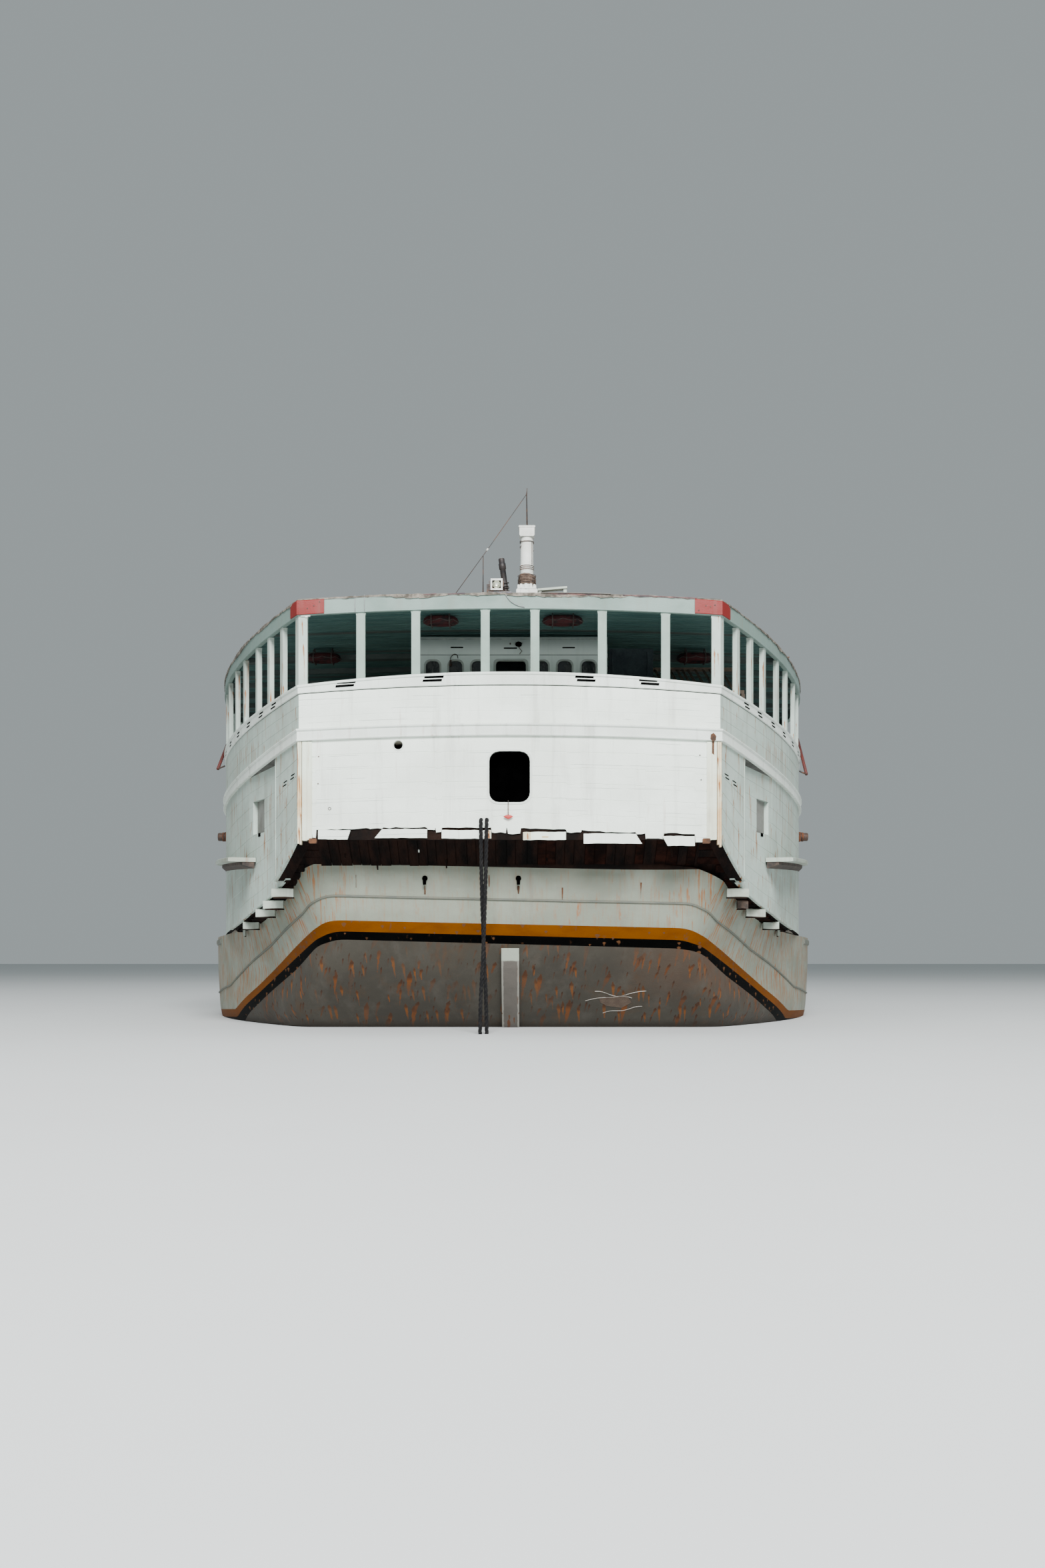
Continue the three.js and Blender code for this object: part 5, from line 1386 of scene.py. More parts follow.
def make_felt():
    """Sheets of felt across the roof, each lapped over the one astern, in two or three lengths."""
    build = Build()
    lap, thick = 0.10, 0.005
    starts = spaced(0.06, ROOF_END_U - 0.05, 0.98)
    for u0, u1 in zip(starts, starts[1:]):
        joints = [-1.0] + sorted(random.uniform(-0.6, 0.6) for _ in range(2)) + [1.0]
        for j, (s0, s1) in enumerate(zip(joints, joints[1:])):
            rings = []
            for u, lift in ((u0 - lap, 0.012 + 0.003 * (j % 2)), ((u0 + u1) / 2, 0.007), (u1, 0.003)):
                edge = u + random.uniform(-0.02, 0.02)
                half = roof_half(edge) - 0.03
                line = [(s * half, edge) for s in spaced(s0, s1, 0.07)]
                top = [(x, STERN_Y + v, roof_height(x, v) + lift + thick) for x, v in line]
                rings.append(top + [(x, y, z - thick) for x, y, z in reversed(top)])
            build.rings(rings, 1 if random.random() < 0.16 else 0)
    build.make("roof_felt", [ROOFING, PATCHED], slot="white_paint")


def fascia_section(p):
    low, high = p.line("fascia"), p.line("roof") - 0.010
    return [(-0.05, low), (0.017, low), (0.026, low + 0.005), (0.026, low + 0.024), (0.021, low + 0.031),
            (0.021, high), (-0.05, high)]


def make_fascia():
    build = Build()
    build.rings(sweep(round_path(ROOF_END_U), fascia_section))
    half = roof_half(ROOF_END_U)
    low = height("fascia", ROOF_END_U)
    rings = []
    for x in spaced(-half, half, 0.5):
        top = roof_height(x, ROOF_END_U) - 0.01
        rings.append([(x, STERN_Y + ROOF_END_U + out, z)
                      for out, z in ((-0.05, low), (0.02, low), (0.02, top), (-0.05, top))])
    build.rings(rings)
    build.make("fascia_board", FASCIA_SHADED, slot="white_paint", replaces=["fascia"])


def make_felt_edge():
    """The felt's frayed edge, turned down over the top of the fascia."""
    build = Build()
    extra_u, extra_x = spaced(0.3, ROOF_END_U - 0.02, 0.07), spaced(-3.15, 3.15, 0.045)
    hang, lift, proud = 0.02, 0.004, 0.006
    rings = []
    for p in round_path(ROOF_END_U - 0.02, extra_u, extra_x):
        hang = min(0.052, max(0.006, hang + random.uniform(-0.012, 0.012)))
        lift = min(0.022, max(0.003, lift + random.uniform(-0.006, 0.006)))
        proud = min(0.016, max(0.004, proud + random.uniform(-0.004, 0.004)))
        z = p.line("roof")
        rings.append([p.at(out, high) for out, high in (
            (-0.12, z + 0.004), (-0.12, z + 0.012), (0.012, z + lift + 0.008), (0.022 + proud, z + lift),
            (0.024 + proud, z - hang), (0.019, z - hang + 0.003), (0.019, z - 0.004))])
    build.rings(rings)
    build.make("roof_felt_edge", RAW_EDGE, slot="white_paint")
    strips = Build()
    for x, wide in ((-1.55, 0.42), (-0.95, 0.26), (0.55, 0.9), (1.75, 0.75), (2.4, 0.5)):
        rings = []
        for at in spaced(x, x + wide, 0.06):
            p = stern_place(at)
            z = p.line("roof") + 0.012 + random.uniform(-0.003, 0.006)
            tall = 0.018 + random.uniform(-0.006, 0.008)
            rings.append([p.at(0.030, z - tall), p.at(0.036, z - tall), p.at(0.034, z),
                          p.at(0.018, z + 0.004)])
        strips.rings(rings)
    strips.make("roof_edge_laths", DARK_LATH, slot="white_paint")


def corner_path(side, reach_u, reach_x):
    """From the side, round the stern's corner, to a place on the stern."""
    mitre = next(p for p in round_path(1.0)
                 if p.stern and p.x * side > 0 and abs(abs(p.x) - TRANSOM_HALF) < 1e-6)
    path = [side_place(side, u) for u in spaced(reach_u, 0.06, -0.08)] + [mitre]
    return path + [stern_place(side * x) for x in spaced(TRANSOM_HALF - 0.08, reach_x, -0.1)]


def make_salmon_patches():
    """Painted plates nailed round both corners of the fascia."""
    build = Build()
    for side, reach_u, reach_x in ((-1, 0.24, 2.86), (1, 0.30, 2.86)):
        rings = []
        path = corner_path(side, reach_u, reach_x)
        for i, p in enumerate(path):
            low, high = p.line("fascia") + 0.012, p.line("roof") - 0.004
            if i == 0:
                high -= 0.04
            rings.append([p.at(out, z) for out, z in (
                (0.024, low), (0.037, low), (0.041, low + 0.006), (0.041, high - 0.012), (0.031, high),
                (-0.06, high + 0.004), (-0.06, high - 0.006), (0.024, high - 0.012))])
        build.rings(rings)
    build.make("fascia_corner_plates", SALMON, slot="white_paint")
    nails = Build()
    for x, z in ((3.03, 6.60), (3.10, 6.585), (3.17, 6.61), (2.92, 6.53), (-3.02, 6.60), (-3.12, 6.56),
                 (-2.93, 6.66)):
        p = stern_place(x)
        prism(nails, p, circle(0.011, z, 8), 0.038, 0.046)
    nails.make("corner_plate_nails", STEEL, slot="steel")


def make_ceiling():
    """Boards laid across under the roof, and the beams that carry them, coloured with painted shade."""
    build = Build()
    pitch, gap, thick = 0.145, 0.007, 0.014
    for k, u in enumerate(spaced(0.10, ROOF_END_U - 0.12, pitch)[:-1]):
        half = roof_half(u) - 0.14
        sag = random.uniform(0.0, 0.004)
        rings = []
        for x in spaced(-half, half, half / 8):
            top = ceiling(x, u + pitch / 2) - 0.002
            rings.append([(x, STERN_Y + v, z) for v, z in (
                (u, top - thick - sag), (u + pitch - gap, top - thick - sag), (u + pitch - gap, top),
                (u, top))])
        build.rings(rings, 1 if k % 5 == 2 and random.random() < 0.6 else 0)
    build.make("ceiling_boards", [CEILING, CEILING_PALE], slot="white_paint")
    beams = Build()
    for u in spaced(3.6, ROOF_END_U - 0.6, 1.2):
        for side in (-1, 1):
            rings = []
            for x in spaced(1.66, roof_half(u) - 0.15, 0.45):
                top = ceiling(x, u) - 0.017
                rings.append([(side * x, STERN_Y + v, z) for v, z in (
                    (u - 0.035, top - 0.085), (u + 0.035, top - 0.085), (u + 0.035, top),
                    (u - 0.035, top))])
            beams.rings(rings)
    beams.make("roof_beams", CEILING_PALE, slot="white_paint")


make_roof()
make_felt()
make_fascia()
make_felt_edge()
make_salmon_patches()
make_ceiling()


# Deckhouse under the roof: its after wall shows through the stern's openings
DECKHOUSE = {"half": 1.62, "u": (2.0, 20.0), "top": 6.54, "heads": 6.14}
AFTER_WINDOWS = [(-1.418, -1.187), (-1.029, -0.808), (-0.650, -0.440), (0.420, 0.629), (0.786, 1.024),
                 (1.187, 1.423)]
AFTER_DOOR = (-0.246, 0.256)
DECKHOUSE_SIDE_WINDOWS = [(4.2 + 1.75 * k, 4.85 + 1.75 * k) for k in range(9)]
DECKHOUSE_SIDE_DOOR = (19.1, 19.75)


def upper_floor(u):
    """Top of the upper deck, a little below the belt."""
    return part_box("deckhouse_wall_port")[0][2] if u < 20 else height("belt", u) + 0.05


def across_place(u, x, ahead=False):
    """A place on an athwartships wall that faces astern, or ahead."""
    return Place(x, u, 0.0, 1.0 if ahead else -1.0, True)


def flat_side(side, half, u):
    """A place on a straight wall along the ship."""
    return Place(side * half, u, side, 0.0, False)


def arched(half, low, high, corner):
    """An outline with a square foot and rounded head."""
    points = [(-half, low), (half, low)]
    for cx, start in ((half - corner, 0), (-half + corner, 90)):
        for k in range(6):
            t = math.radians(start + 18 * k)
            points.append((cx + corner * math.cos(t), high - corner + corner * math.sin(t)))
    return points


def make_deckhouse():
    floor, top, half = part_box("deckhouse_wall_port")[0][2], DECKHOUSE["top"], DECKHOUSE["half"]
    start, end = DECKHOUSE["u"]
    foot, heads = floor + 0.12, DECKHOUSE["heads"]
    door = across_place(start, sum(AFTER_DOOR) / 2)
    windows = [(across_place(start, (x0 + x1) / 2), (x1 - x0) / 2) for x0, x1 in AFTER_WINDOWS]
    build = Build()
    for side in (-1, 1):
        build.block((side * half, start, floor + 0.02), (side * (half - WALL), end, top))
    wall = build.make("deckhouse_sides", [PANEL], slot="white_paint",
                      replaces=["deckhouse_wall_port", "deckhouse_wall_starboard"])
    cutter = Build()
    for u0, u1 in DECKHOUSE_SIDE_WINDOWS:
        cutter.block((-2.0, u0, 5.15), (2.0, u1, 5.90))
    cutter.block((-2.0, DECKHOUSE_SIDE_DOOR[0], 4.45), (2.0, DECKHOUSE_SIDE_DOOR[1], 6.05))
    carve(wall, cutter)

    ends = Build()
    for u in (start, end - 0.06):
        ends.block((-half + 0.01, u, floor + 0.02), (half - 0.01, u + 0.06, top))
    wall = ends.make("deckhouse_ends", [PANEL], slot="white_paint",
                     replaces=["deckhouse_after_wall", "deckhouse_fore_wall"])
    cutter = Build()
    for place, h in windows:
        prism(cutter, place, arched(h, 5.40, heads, 0.085), -0.3, 0.3)
    prism(cutter, door, arched((AFTER_DOOR[1] - AFTER_DOOR[0]) / 2, foot, heads, 0.06), -0.3, 0.3)
    carve(wall, cutter)

    trim, panes, lines = Build(), Build(), Build()
    for place, h in windows:
        opening = arched(h, 5.40, heads, 0.085)
        frame_ring(trim, place, opening, arched(h + 0.028, 5.37, heads + 0.028, 0.10), -0.03, 0.010)
        prism(panes, place, opening, -0.048, -0.040)
    frame_ring(trim, door, arched(0.251, foot, heads, 0.06), arched(0.290, foot, heads + 0.035, 0.07),
               -0.03, 0.012)
    for side in (-1, 1):
        for u0, u1 in DECKHOUSE_SIDE_WINDOWS:
            place, h = flat_side(side, half, (u0 + u1) / 2), (u1 - u0) / 2
            pane = rectangle(h - 0.02, 5.17, 5.88)
            frame_ring(trim, place, pane, rectangle(h + 0.05, 5.10, 5.95), -0.05, 0.018)
            prism(panes, place, pane, -0.045, -0.037)
    for z, tall in ((6.235, 0.010), (6.49, 0.030)):
        lines.block((-half + 0.02, start - 0.008, z), (half - 0.02, start + 0.01, z + tall), bevel=0.002)
    trim.make("deckhouse_window_frames", TRIM_SHADE, slot="white_paint")
    panes.make("deckhouse_glass", GLASS, slot="steel")
    lines.make("deckhouse_battens", PANEL_LINE, slot="white_paint")

    # Vents drawn as black slots: painted shade.
    vents = Build()
    for x0, x1, z in ((-1.005, -0.79, 6.365), (-0.115, 0.11, 6.355), (0.865, 1.08, 6.362)):
        outline = rounded((x1 - x0) / 2, z - 0.011, z + 0.011, 0.010, 2)
        prism(vents, across_place(start, (x0 + x1) / 2), outline, -0.01, 0.004)
    vents.make("deckhouse_vents", BLACK, slot="dark_wood")
    # A near-black sheet inside the deckhouse: painted shade for its dark interior.
    interior_shade = Build()
    interior_shade.block((-half + 0.1, start + 1.2, floor + 0.03), (half - 0.1, start + 1.24, top - 0.02))
    interior_shade.make("deckhouse_interior_shade_sheet", CABIN_DARK, slot="dark_wood")


def make_lamps():
    """A loop of flex with a bulb holder at a window, and a lamp over the doorway."""
    wall = STERN_Y + DECKHOUSE["u"][0] - 0.012
    loop = [(-1.00, wall, 6.10), (-1.00, wall - 0.01, 6.19), (-0.965, wall - 0.012, 6.235),
            (-0.93, wall - 0.012, 6.25),
            (-0.895, wall - 0.012, 6.235), (-0.88, wall - 0.01, 6.18)]
    build = Build()
    build.tube(curve_through(loop, 6), 0.007, 6)
    build.tube([(-1.003, wall, 6.055), (-1.003, wall, 6.15)], [0.026, 0.016], 10)
    build.tube([(-0.005, wall, 6.42), (-0.005, wall - 0.05, 6.42)], 0.012, 8)
    build.tube([(-0.005 + 0.2, wall - 0.01, 6.44), (0.14, wall - 0.02, 6.36), (0.19, wall - 0.02, 6.30),
                (0.15, wall - 0.02, 6.25)], 0.006, 6)
    build.make("deckhouse_flex", STEEL, slot="steel")
    head = Build()
    rings = []
    for z, r in ((0.0, 0.012), (-0.018, 0.045), (-0.045, 0.055), (-0.075, 0.045), (-0.09, 0.012)):
        turn = turns(16)
        rings.append([(0.135 + r * math.cos(t), wall - 0.045 + r * math.sin(t) * 0.7, 6.455 + z)
                      for t in turn])
    head.rings(rings)
    head.make("doorway_lamp", BLACK, slot="steel", flat=False)


# Oval floats under the ceiling. Columns: node, place across, along, half length
FLOATS = [
    ("float_port_inner", -1.110, 0.90, 0.290),
    ("float_starboard_inner", 0.845, 0.90, 0.330),
    ("float_port_outer", -3.260, 3.05, 0.310),
    ("float_starboard_outer", 3.200, 3.05, 0.330),
]


def make_float(node, x, u, half):
    """An oval ring of painted foam with its inner grating, straps and grab line."""
    low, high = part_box(node)
    top = min(high[2] - 0.03, low[2] + 0.150)
    middle = (low[2] + top) / 2
    thick, deep, wide = (top - low[2]) / 2 - 0.004, 0.205, half - 0.01
    y = STERN_Y + u
    build = Build()
    rings = []
    for t in turns(40):
        out = Vector((math.cos(t), math.sin(t), 0.0))
        centre = Vector((x + (wide - thick) * out.x, y + (deep - thick) * out.y, middle))
        rings.append([centre + out * thick * math.cos(a) + Vector((0, 0, thick * math.sin(a)))
                      for a in turns(10)])
    build.rings(rings + [rings[0]], caps=False)
    build.make(node + "_ring", FOAM, slot="red_foam", replaces=[node], flat=False)
    extra = Build()
    for k in range(5):
        at = x + (k - 2) * wide * 0.3
        reach = math.sqrt(max(0.0, 1 - ((at - x) / wide) ** 2)) * (deep - thick)
        extra.block((at - 0.018, u - reach, middle - 0.012), (at + 0.018, u + reach, middle + 0.012), 0,
                    0.004)
    for at in (x - half / 2, x + half / 2):
        reach = math.sqrt(max(0.0, 1 - ((at - x) / half) ** 2)) * 0.22
        under, over = low[2] - 0.004, top + 0.01
        loop = [(-reach - 0.01, middle), (-reach * 0.9, under), (0.0, low[2] - 0.008), (reach * 0.9, under),
                (reach + 0.01, middle), (reach * 0.7, over), (0.0, ceiling(at, u) - 0.012),
                (-reach * 0.7, over)]
        extra.tube(curve_through([(at, y + dy, z) for dy, z in loop + [loop[0]]], 4), 0.010, 6, 1)
    line = []
    for t in turns(48, closed=True):
        droop = 0.028 * abs(math.sin(4 * t))
        line.append((x + (wide + 0.006) * math.cos(t), y + (deep + 0.006) * math.sin(t), middle - droop))
    extra.tube(line, 0.006, 6, 1)
    extra.make(node + "_grating", [DARK, STRAP], slot="red_foam")


def make_gallery_gear():
    """Slatted bench-like rack on the starboard side, the dark board beside it and the green locker."""
    build = Build()
    slat = ((-0.022, 0), (0.022, 0), (0.022, 0.02), (-0.022, 0.02))
    for k in range(12):
        x, lean = 2.52 + 0.115 * k, 0.02 * math.sin(5 * k)
        build.rings([[(x - 0.10 * t + lean + dx, STERN_Y + 2.3 + 0.9 * t + dy, 5.72 + 0.50 * t)
                      for dx, dy in slat]
                     for t in (0.0, 1.0)])
    build.block((2.40, 2.28, 5.64), (3.95, 2.34, 5.70), 0, 0.008)
    build.block((2.35, 3.22, 6.20), (3.95, 3.28, 6.26), 0, 0.008)
    for x in (2.42, 3.90):
        build.block((x, 2.28, upper_floor(2)), (x + 0.06, 2.34, 5.64), 0, 0.006)
        build.block((x, 3.22, upper_floor(3)), (x + 0.06, 3.28, 6.20), 0, 0.006)
    build.make("gallery_rack", SLAT, slot="dark_wood")
    board = Build()
    board.block((1.66, 2.06, upper_floor(2)), (2.39, 2.12, 6.36), bevel=0.008)
    for x in (1.70, 2.29):
        board.block((x, 2.02, upper_floor(2) + 0.1), (x + 0.06, 2.06, 6.30), bevel=0.006)
    board.make("gallery_board", CABIN_DARK, slot="dark_wood")
    locker = Build()
    floor = upper_floor(6)
    locker.block((-5.25, 7.2, floor + 0.03), (-4.75, 7.9, floor + 1.32), bevel=0.02)
    locker.block((-5.28, 7.17, floor + 1.32), (-4.72, 7.93, floor + 1.37), bevel=0.015)
    locker.block((-5.20, 7.186, floor + 0.15), (-4.80, 7.2, floor + 1.24), bevel=0.01)
    locker.make("green_locker", GREEN, slot="white_paint")


def make_benches():
    """Slatted seats down both passages of the upper deck."""
    build = Build()
    for x in (-3.7, 3.7):
        for u in spaced(10.8, 23.4, 1.4):
            floor = upper_floor(min(u, 20))
            slats = [(0.10 * k, 0.43, 0.08, 0.03) for k in range(4)]
            slats += [(0.42, 0.56 + 0.12 * k, 0.025, 0.09) for k in range(3)]
            for du, dz, wide, tall in slats:
                build.block((x - 1.3, u + du, floor + dz), (x + 1.3, u + du + wide, floor + dz + tall), 0,
                            0.006)
            for end in (x - 1.2, x, x + 1.2):
                build.block((end - 0.03, u + 0.03, floor), (end + 0.03, u + 0.09, floor + 0.43), 0, 0.006)
                build.block((end - 0.03, u + 0.38, floor), (end + 0.03, u + 0.42, floor + 0.90), 0, 0.006)
    build.make("deck_benches", SLAT, slot="dark_wood")


make_deckhouse()
make_lamps()
for float_row in FLOATS:
    make_float(*float_row)
make_gallery_gear()
make_benches()


# Under the stern gallery: boards from the wall to the hull, ragged ends and the bits that hang down
# The underside boards are near black with painted shade; some have a red-brown tone.
OVERHANG_SLOPE = 0.6


def gallery_low(u):
    """The gallery floor's underside, which rises from the hull's stern to the wall."""
    return hull_top(u) + OVERHANG_SLOPE * max(0.0, HULL_STERN_U - u)


def rectangle_between(left, right, low, tall):
    return [(left, low), (right, low), (right, low + tall), (left, low + tall)]


def make_underside():
    build = Build()
    x = -3.02
    while x < 3.0:
        edge = min(3.02, x + random.uniform(0.13, 0.19))
        drop = random.uniform(0.0, 0.012)
        ragged = random.uniform(-0.02, 0.035)
        rings = []
        for u in (0.085 + ragged, 0.45, 0.92):
            low = gallery_low(u) - 0.026 - drop
            rings.append([(px, STERN_Y + u, z)
                          for px, z in rectangle_between(x + 0.004, edge - 0.004, low, 0.024)])
        build.rings(rings, 0 if x < 0.4 or random.random() < 0.45 else 1)
        x = edge
    build.make("overhang_boards", [UNDERSIDE_SHADE, RED_BOARD], slot="dark_wood")

    fans = Build()
    for side in (-1, 1):
        for k, u in enumerate(spaced(0.35, 4.6, 0.17)[:-1]):
            outer, inner = house_half(u + 0.08) - WALL - 0.02 - panel_inset(u + 0.08), 2.98
            if u > HULL_STERN_U:
                inner = min(hull_top_half(u + 0.1) - 0.05, outer - 0.05)
            if outer - inner < 0.08:
                continue
            drop = random.uniform(0.0, 0.012)
            fans.rings([[(side * x, STERN_Y + v, gallery_low(v) + dz - drop)
                         for v, dz in rectangle_between(u, u + 0.155, -0.03, 0.026)]
                        for x in (inner, (inner + outer) / 2, outer)], 1 if side > 0 and k % 3 != 1 else 0)
    fans.make("quarter_overhang_boards", [UNDERSIDE_SHADE, RED_BOARD], slot="dark_wood")

    bits = Build()
    for x, u, drop in ((-2.12, 0.78, 0.15), (-1.02, 0.74, 0.15), (-2.62, 0.6, 0.08), (0.58, 0.70, 0.07),
                       (1.86, 0.66, 0.09), (2.55, 0.5, 0.12)):
        z = gallery_low(u) - 0.02
        bits.tube([(x, STERN_Y + u, z), (x + 0.012, STERN_Y + u - 0.01, z - drop)], [0.020, 0.011], 6)
    bits.block((-1.447, 0.50, gallery_low(0.5) - 0.075), (-1.425, 0.53, gallery_low(0.5) - 0.02), 1)
    bits.make("overhang_scraps", [DARK, TRIM], slot="dark_wood")


# Timber ends that stick out under each quarter. Columns: place, outer end, half width, top below the
# wall's edge, thickness
QUARTER_TIMBERS = [
    (1.23, 3.87, 0.060, 0.010, 0.135),
    (1.74, 4.09, 0.062, 0.010, 0.130),
    (2.20, 4.29, 0.060, 0.010, 0.130),
    (3.20, 4.68, 0.062, 0.010, 0.125),
    (4.20, 5.02, 0.055, 0.010, 0.120),
]


def make_quarter_timbers():
    for side, name in PANEL_SIDES:
        build = Build()
        for k, (u, outer, half, down, thick) in enumerate(QUARTER_TIMBERS):
            top = min(wall_low(u + 0.06), hull_top(u + 0.06)) - down
            inner = hull_top_half(u + 0.06) + 0.003
            dark = side > 0 and k == 1
            end = outer - (0.16 if dark or k == 4 else 0.0)
            ring = [(-half, top - thick), (half, top - thick), (half, top - 0.012), (half - 0.012, top),
                    (-half + 0.012, top), (-half, top - 0.012)]
            build.rings([[(side * (inner + (end - inner) * t), STERN_Y + u + a,
                           z + 0.006 * math.sin(3 * t + k))
                          for a, z in ring] for t in spaced(0.0, 1.0, 0.125)], 2 if dark else 0)
            # A near-black strip under each timber: painted shade.
            cap = top - thick
            build.block((side * inner, u - half + 0.008, cap - 0.022),
                        (side * (end - 0.03), u + half - 0.008, cap), 1)
        build.make("quarter_timbers_" + name, [TIMBER_WHITE, DARK, TIMBER_DARK], slot="white_paint",
                   replaces=["brackets_" + name])

        lip = Build()
        near = spaced(0.0, PANEL_U, 0.13)
        far = spaced(PANEL_U + 0.03, INSET_END_U, 0.14) + spaced(INSET_END_U, 4.75, 0.2)[1:]
        for steps, foot, side_out, head, side_z, top_z in ((near, 0.010, 0.016, 0.0, 0.062, 0.070),
                                                           (far, 0.012, 0.020, 0.002, 0.052, 0.062)):
            section = [(-0.03, -0.006), (foot, -0.006), (side_out, 0.004), (side_out, side_z),
                       (head, top_z),
                       (-0.03, top_z)]
            path = [side_place(side, u, panel_inset(u)) for u in steps]
            lip.rings(sweep(path, lambda p: [(out, p.low() + z) for out, z in section]))
        lip.make("quarter_lower_edge_" + name, QUARTER_SHADED, slot="white_paint")


# The guards' ends: places along the side, how far they reach out, and the heights of their lower edge
GUARD = {"u": (2.3, 7.0), "reach": (0.45, 0.12), "low": (2.69, 2.90)}


def guard_size(u):
    """How far a guard reaches out there, and its lower edge's height."""
    start, end = GUARD["u"]
    share = (u - start) / (end - start)
    return [a + (b - a) * share for a, b in (GUARD["reach"], GUARD["low"])]


def make_ledges():
    """The guards along both quarters, square at their after ends, with a dark wedge of painted shade below
    them.
    """
    upper = [(-0.02, 0.110), (-0.03, 0.110), (0.0, 0.118), (0.0, 0.168), (-0.012, 0.176), (-0.05, 0.18),
             (-0.02, 0.18)]
    for side, name in PANEL_SIDES:
        build = Build()
        rings, under = [], []
        for u in [2.3, 2.34] + spaced(2.5, 7.0, 0.25):
            reach, low = guard_size(u)
            ends = [0.0] + [reach] * 5 + [0.0]
            rings.append([side_place(side, u).at(end + out, low + z) for end, (out, z) in zip(ends, upper)])
        build.rings(rings)
        # A dark wedge under each guard: painted shade.
        for u in [2.31] + spaced(2.5, 6.9, 0.4):
            reach, low = guard_size(u)
            reach *= 0.45
            under.append([side_place(side, u).at(out, low + z)
                          for out, z in ((0.0, 0.0), (reach, 0.06), (reach, 0.112), (0.0, 0.112))])
        build.rings(under, 1)
        build.make("guard_" + name, [TIMBER_WHITE, TIMBER_DARK], slot="white_paint",
                   replaces=["ledge_" + name])


def make_quarter_windows():
    """A recess with a grey board in each quarter, a black notch of painted shade at its sill, and a dark
    wedge of painted shade under the belt's step.
    """
    u0, u1 = QUARTER_WINDOW["u"]
    low, high = QUARTER_WINDOW["z"]
    for side, name in PANEL_SIDES:
        build = Build()
        place = side_place(side, (u0 + u1) / 2, panel_inset(2.18))
        prism(build, place, rectangle(0.315, low + 0.002, high - 0.002), -0.075, -0.050)
        # The notch under the sill, black: painted shade.
        prism(build, place, rectangle(0.09, low - 0.055, low + 0.004), -0.05, 0.004, 1)
        build.make("quarter_window_board_" + name, [WINDOW_BOARD, BLACK], slot="white_paint")

        # A dark wedge under the belt's step: painted shade.
        wedge = Build()
        rings = []
        for u in spaced(PANEL_U + 0.02, INSET_END_U - 0.12, 0.13):
            p = side_place(side, u)
            depth = panel_inset(u)
            tall = 0.155 * (depth / WALL_INSET)
            top = p.line("belt") + 0.004
            rings.append([p.at(-depth - 0.02, top - tall * 0.45), p.at(-0.004, top - tall * 0.16),
                          p.at(-0.004, top), p.at(-depth - 0.02, top)])
        wedge.rings(rings)
        wedge.make("belt_gap_shade_" + name, BELT_GAP_SHADE, slot="white_paint")

        edge = Build()
        p = side_place(side, PANEL_U - 0.012)
        prism(edge, p, rectangle(0.009, p.low() - 0.02, p.line("belt")), -0.16, 0.008)
        edge.make("panel_edge_" + name, QUARTER_SHADED, slot="white_paint")

        # Slots drawn as black dashes: painted shade.
        dashes = Build()
        for u, z in ((0.25, 4.00), (0.58, 3.93)):
            fall = (height("belt", u - 0.1) - height("belt", u + 0.1)) * 0.43
            vents = ((0.027, -0.015), (-0.027, 0.02))
            slot_pair(dashes, side_place(side, u), z, 0.085, 0.009, fall, vents, (-0.004, 0.003))
        dashes.make("panel_vents_" + name, BLACK, slot="dark_wood")


def make_stern_details():
    """The red float that hangs under the opening, its line, and marks of old fittings."""
    wire = Build()
    line = [(-0.02, STERN_Y - 0.030, 3.60), (-0.022, STERN_Y - 0.040, 3.50), (-0.02, STERN_Y - 0.045, 3.40),
            (-0.02, STERN_Y - 0.048, 3.375)]
    wire.tube(curve_through(line, 5), 0.006, 6)
    wire.make("red_float_line", STEEL, slot="steel")
    lip = Build()
    rings = []
    for t in spaced(-1.0, 1.0, 0.1):
        reach = max(0.02, (1 - abs(t) ** 2.2) ** 0.6)
        rings.append([(-0.02 + 0.075 * t, STERN_Y - 0.040 - 0.020 * reach * math.cos(a) * 0.9,
                       3.345 + 0.008 * abs(t) + 0.026 * reach * math.sin(a) * (1 + 0.25 * math.cos(3 * t)))
                      for a in turns(12)])
    lip.rings(rings)
    lip.make("red_float", LIP_RED, slot="red_foam", flat=False)

    marks = Build()
    eight = stern_place(-2.78)
    frame_ring(marks, eight, circle(0.016, 3.475, 8), circle(0.026, 3.475, 8), -0.002, 0.004)
    for x, z in ((-2.95, 4.28), (2.94, 4.30), (2.96, 3.92), (-2.96, 3.86)):
        prism(marks, stern_place(x), circle(0.011, z, 8), -0.002, 0.005)
    marks.make("stern_old_fittings", STEEL, slot="steel")
    hole = Build()
    rusted = stern_place(3.14)
    prism(hole, rusted, [(-0.042, 4.545), (-0.005, 4.505), (0.040, 4.525), (0.048, 4.590), (0.006, 4.640),
                         (-0.036, 4.615)], 0.02, 0.062)
    prism(hole, rusted, [(-0.016, 4.33), (0.018, 4.30), (0.020, 4.53), (-0.010, 4.56)], 0.0, 0.0235)
    hole.make("belt_corner_rust", CORNER_RUST, slot="white_paint")
    block = Build()
    for side in (-1, 1):
        block.block((side * 2.98, -0.035, 2.94), (side * 3.10, 0.06, 3.015), 0, 0.012)
    block.make("corner_rust_blocks", CORNER_RUST, slot="dark_wood")


make_underside()
make_quarter_timbers()
make_ledges()
make_quarter_windows()
make_stern_details()


# Fittings and scars on the hull's stern
def stern_y(z):
    """The transom's Y at a height, on the centreline."""
    column = hull_column(HULL_STERN_U, 0.0)
    for above, below in zip(column, column[1:]):
        if below[2] <= z <= above[2]:
            share = (above[2] - z) / max(above[2] - below[2], 1e-6)
            return STERN_Y + above[1] + (below[1] - above[1]) * share
    return STERN_Y + column[0][1]


def on_transom(x, z, out=0.0):
    return (x, stern_y(z) - out, z)


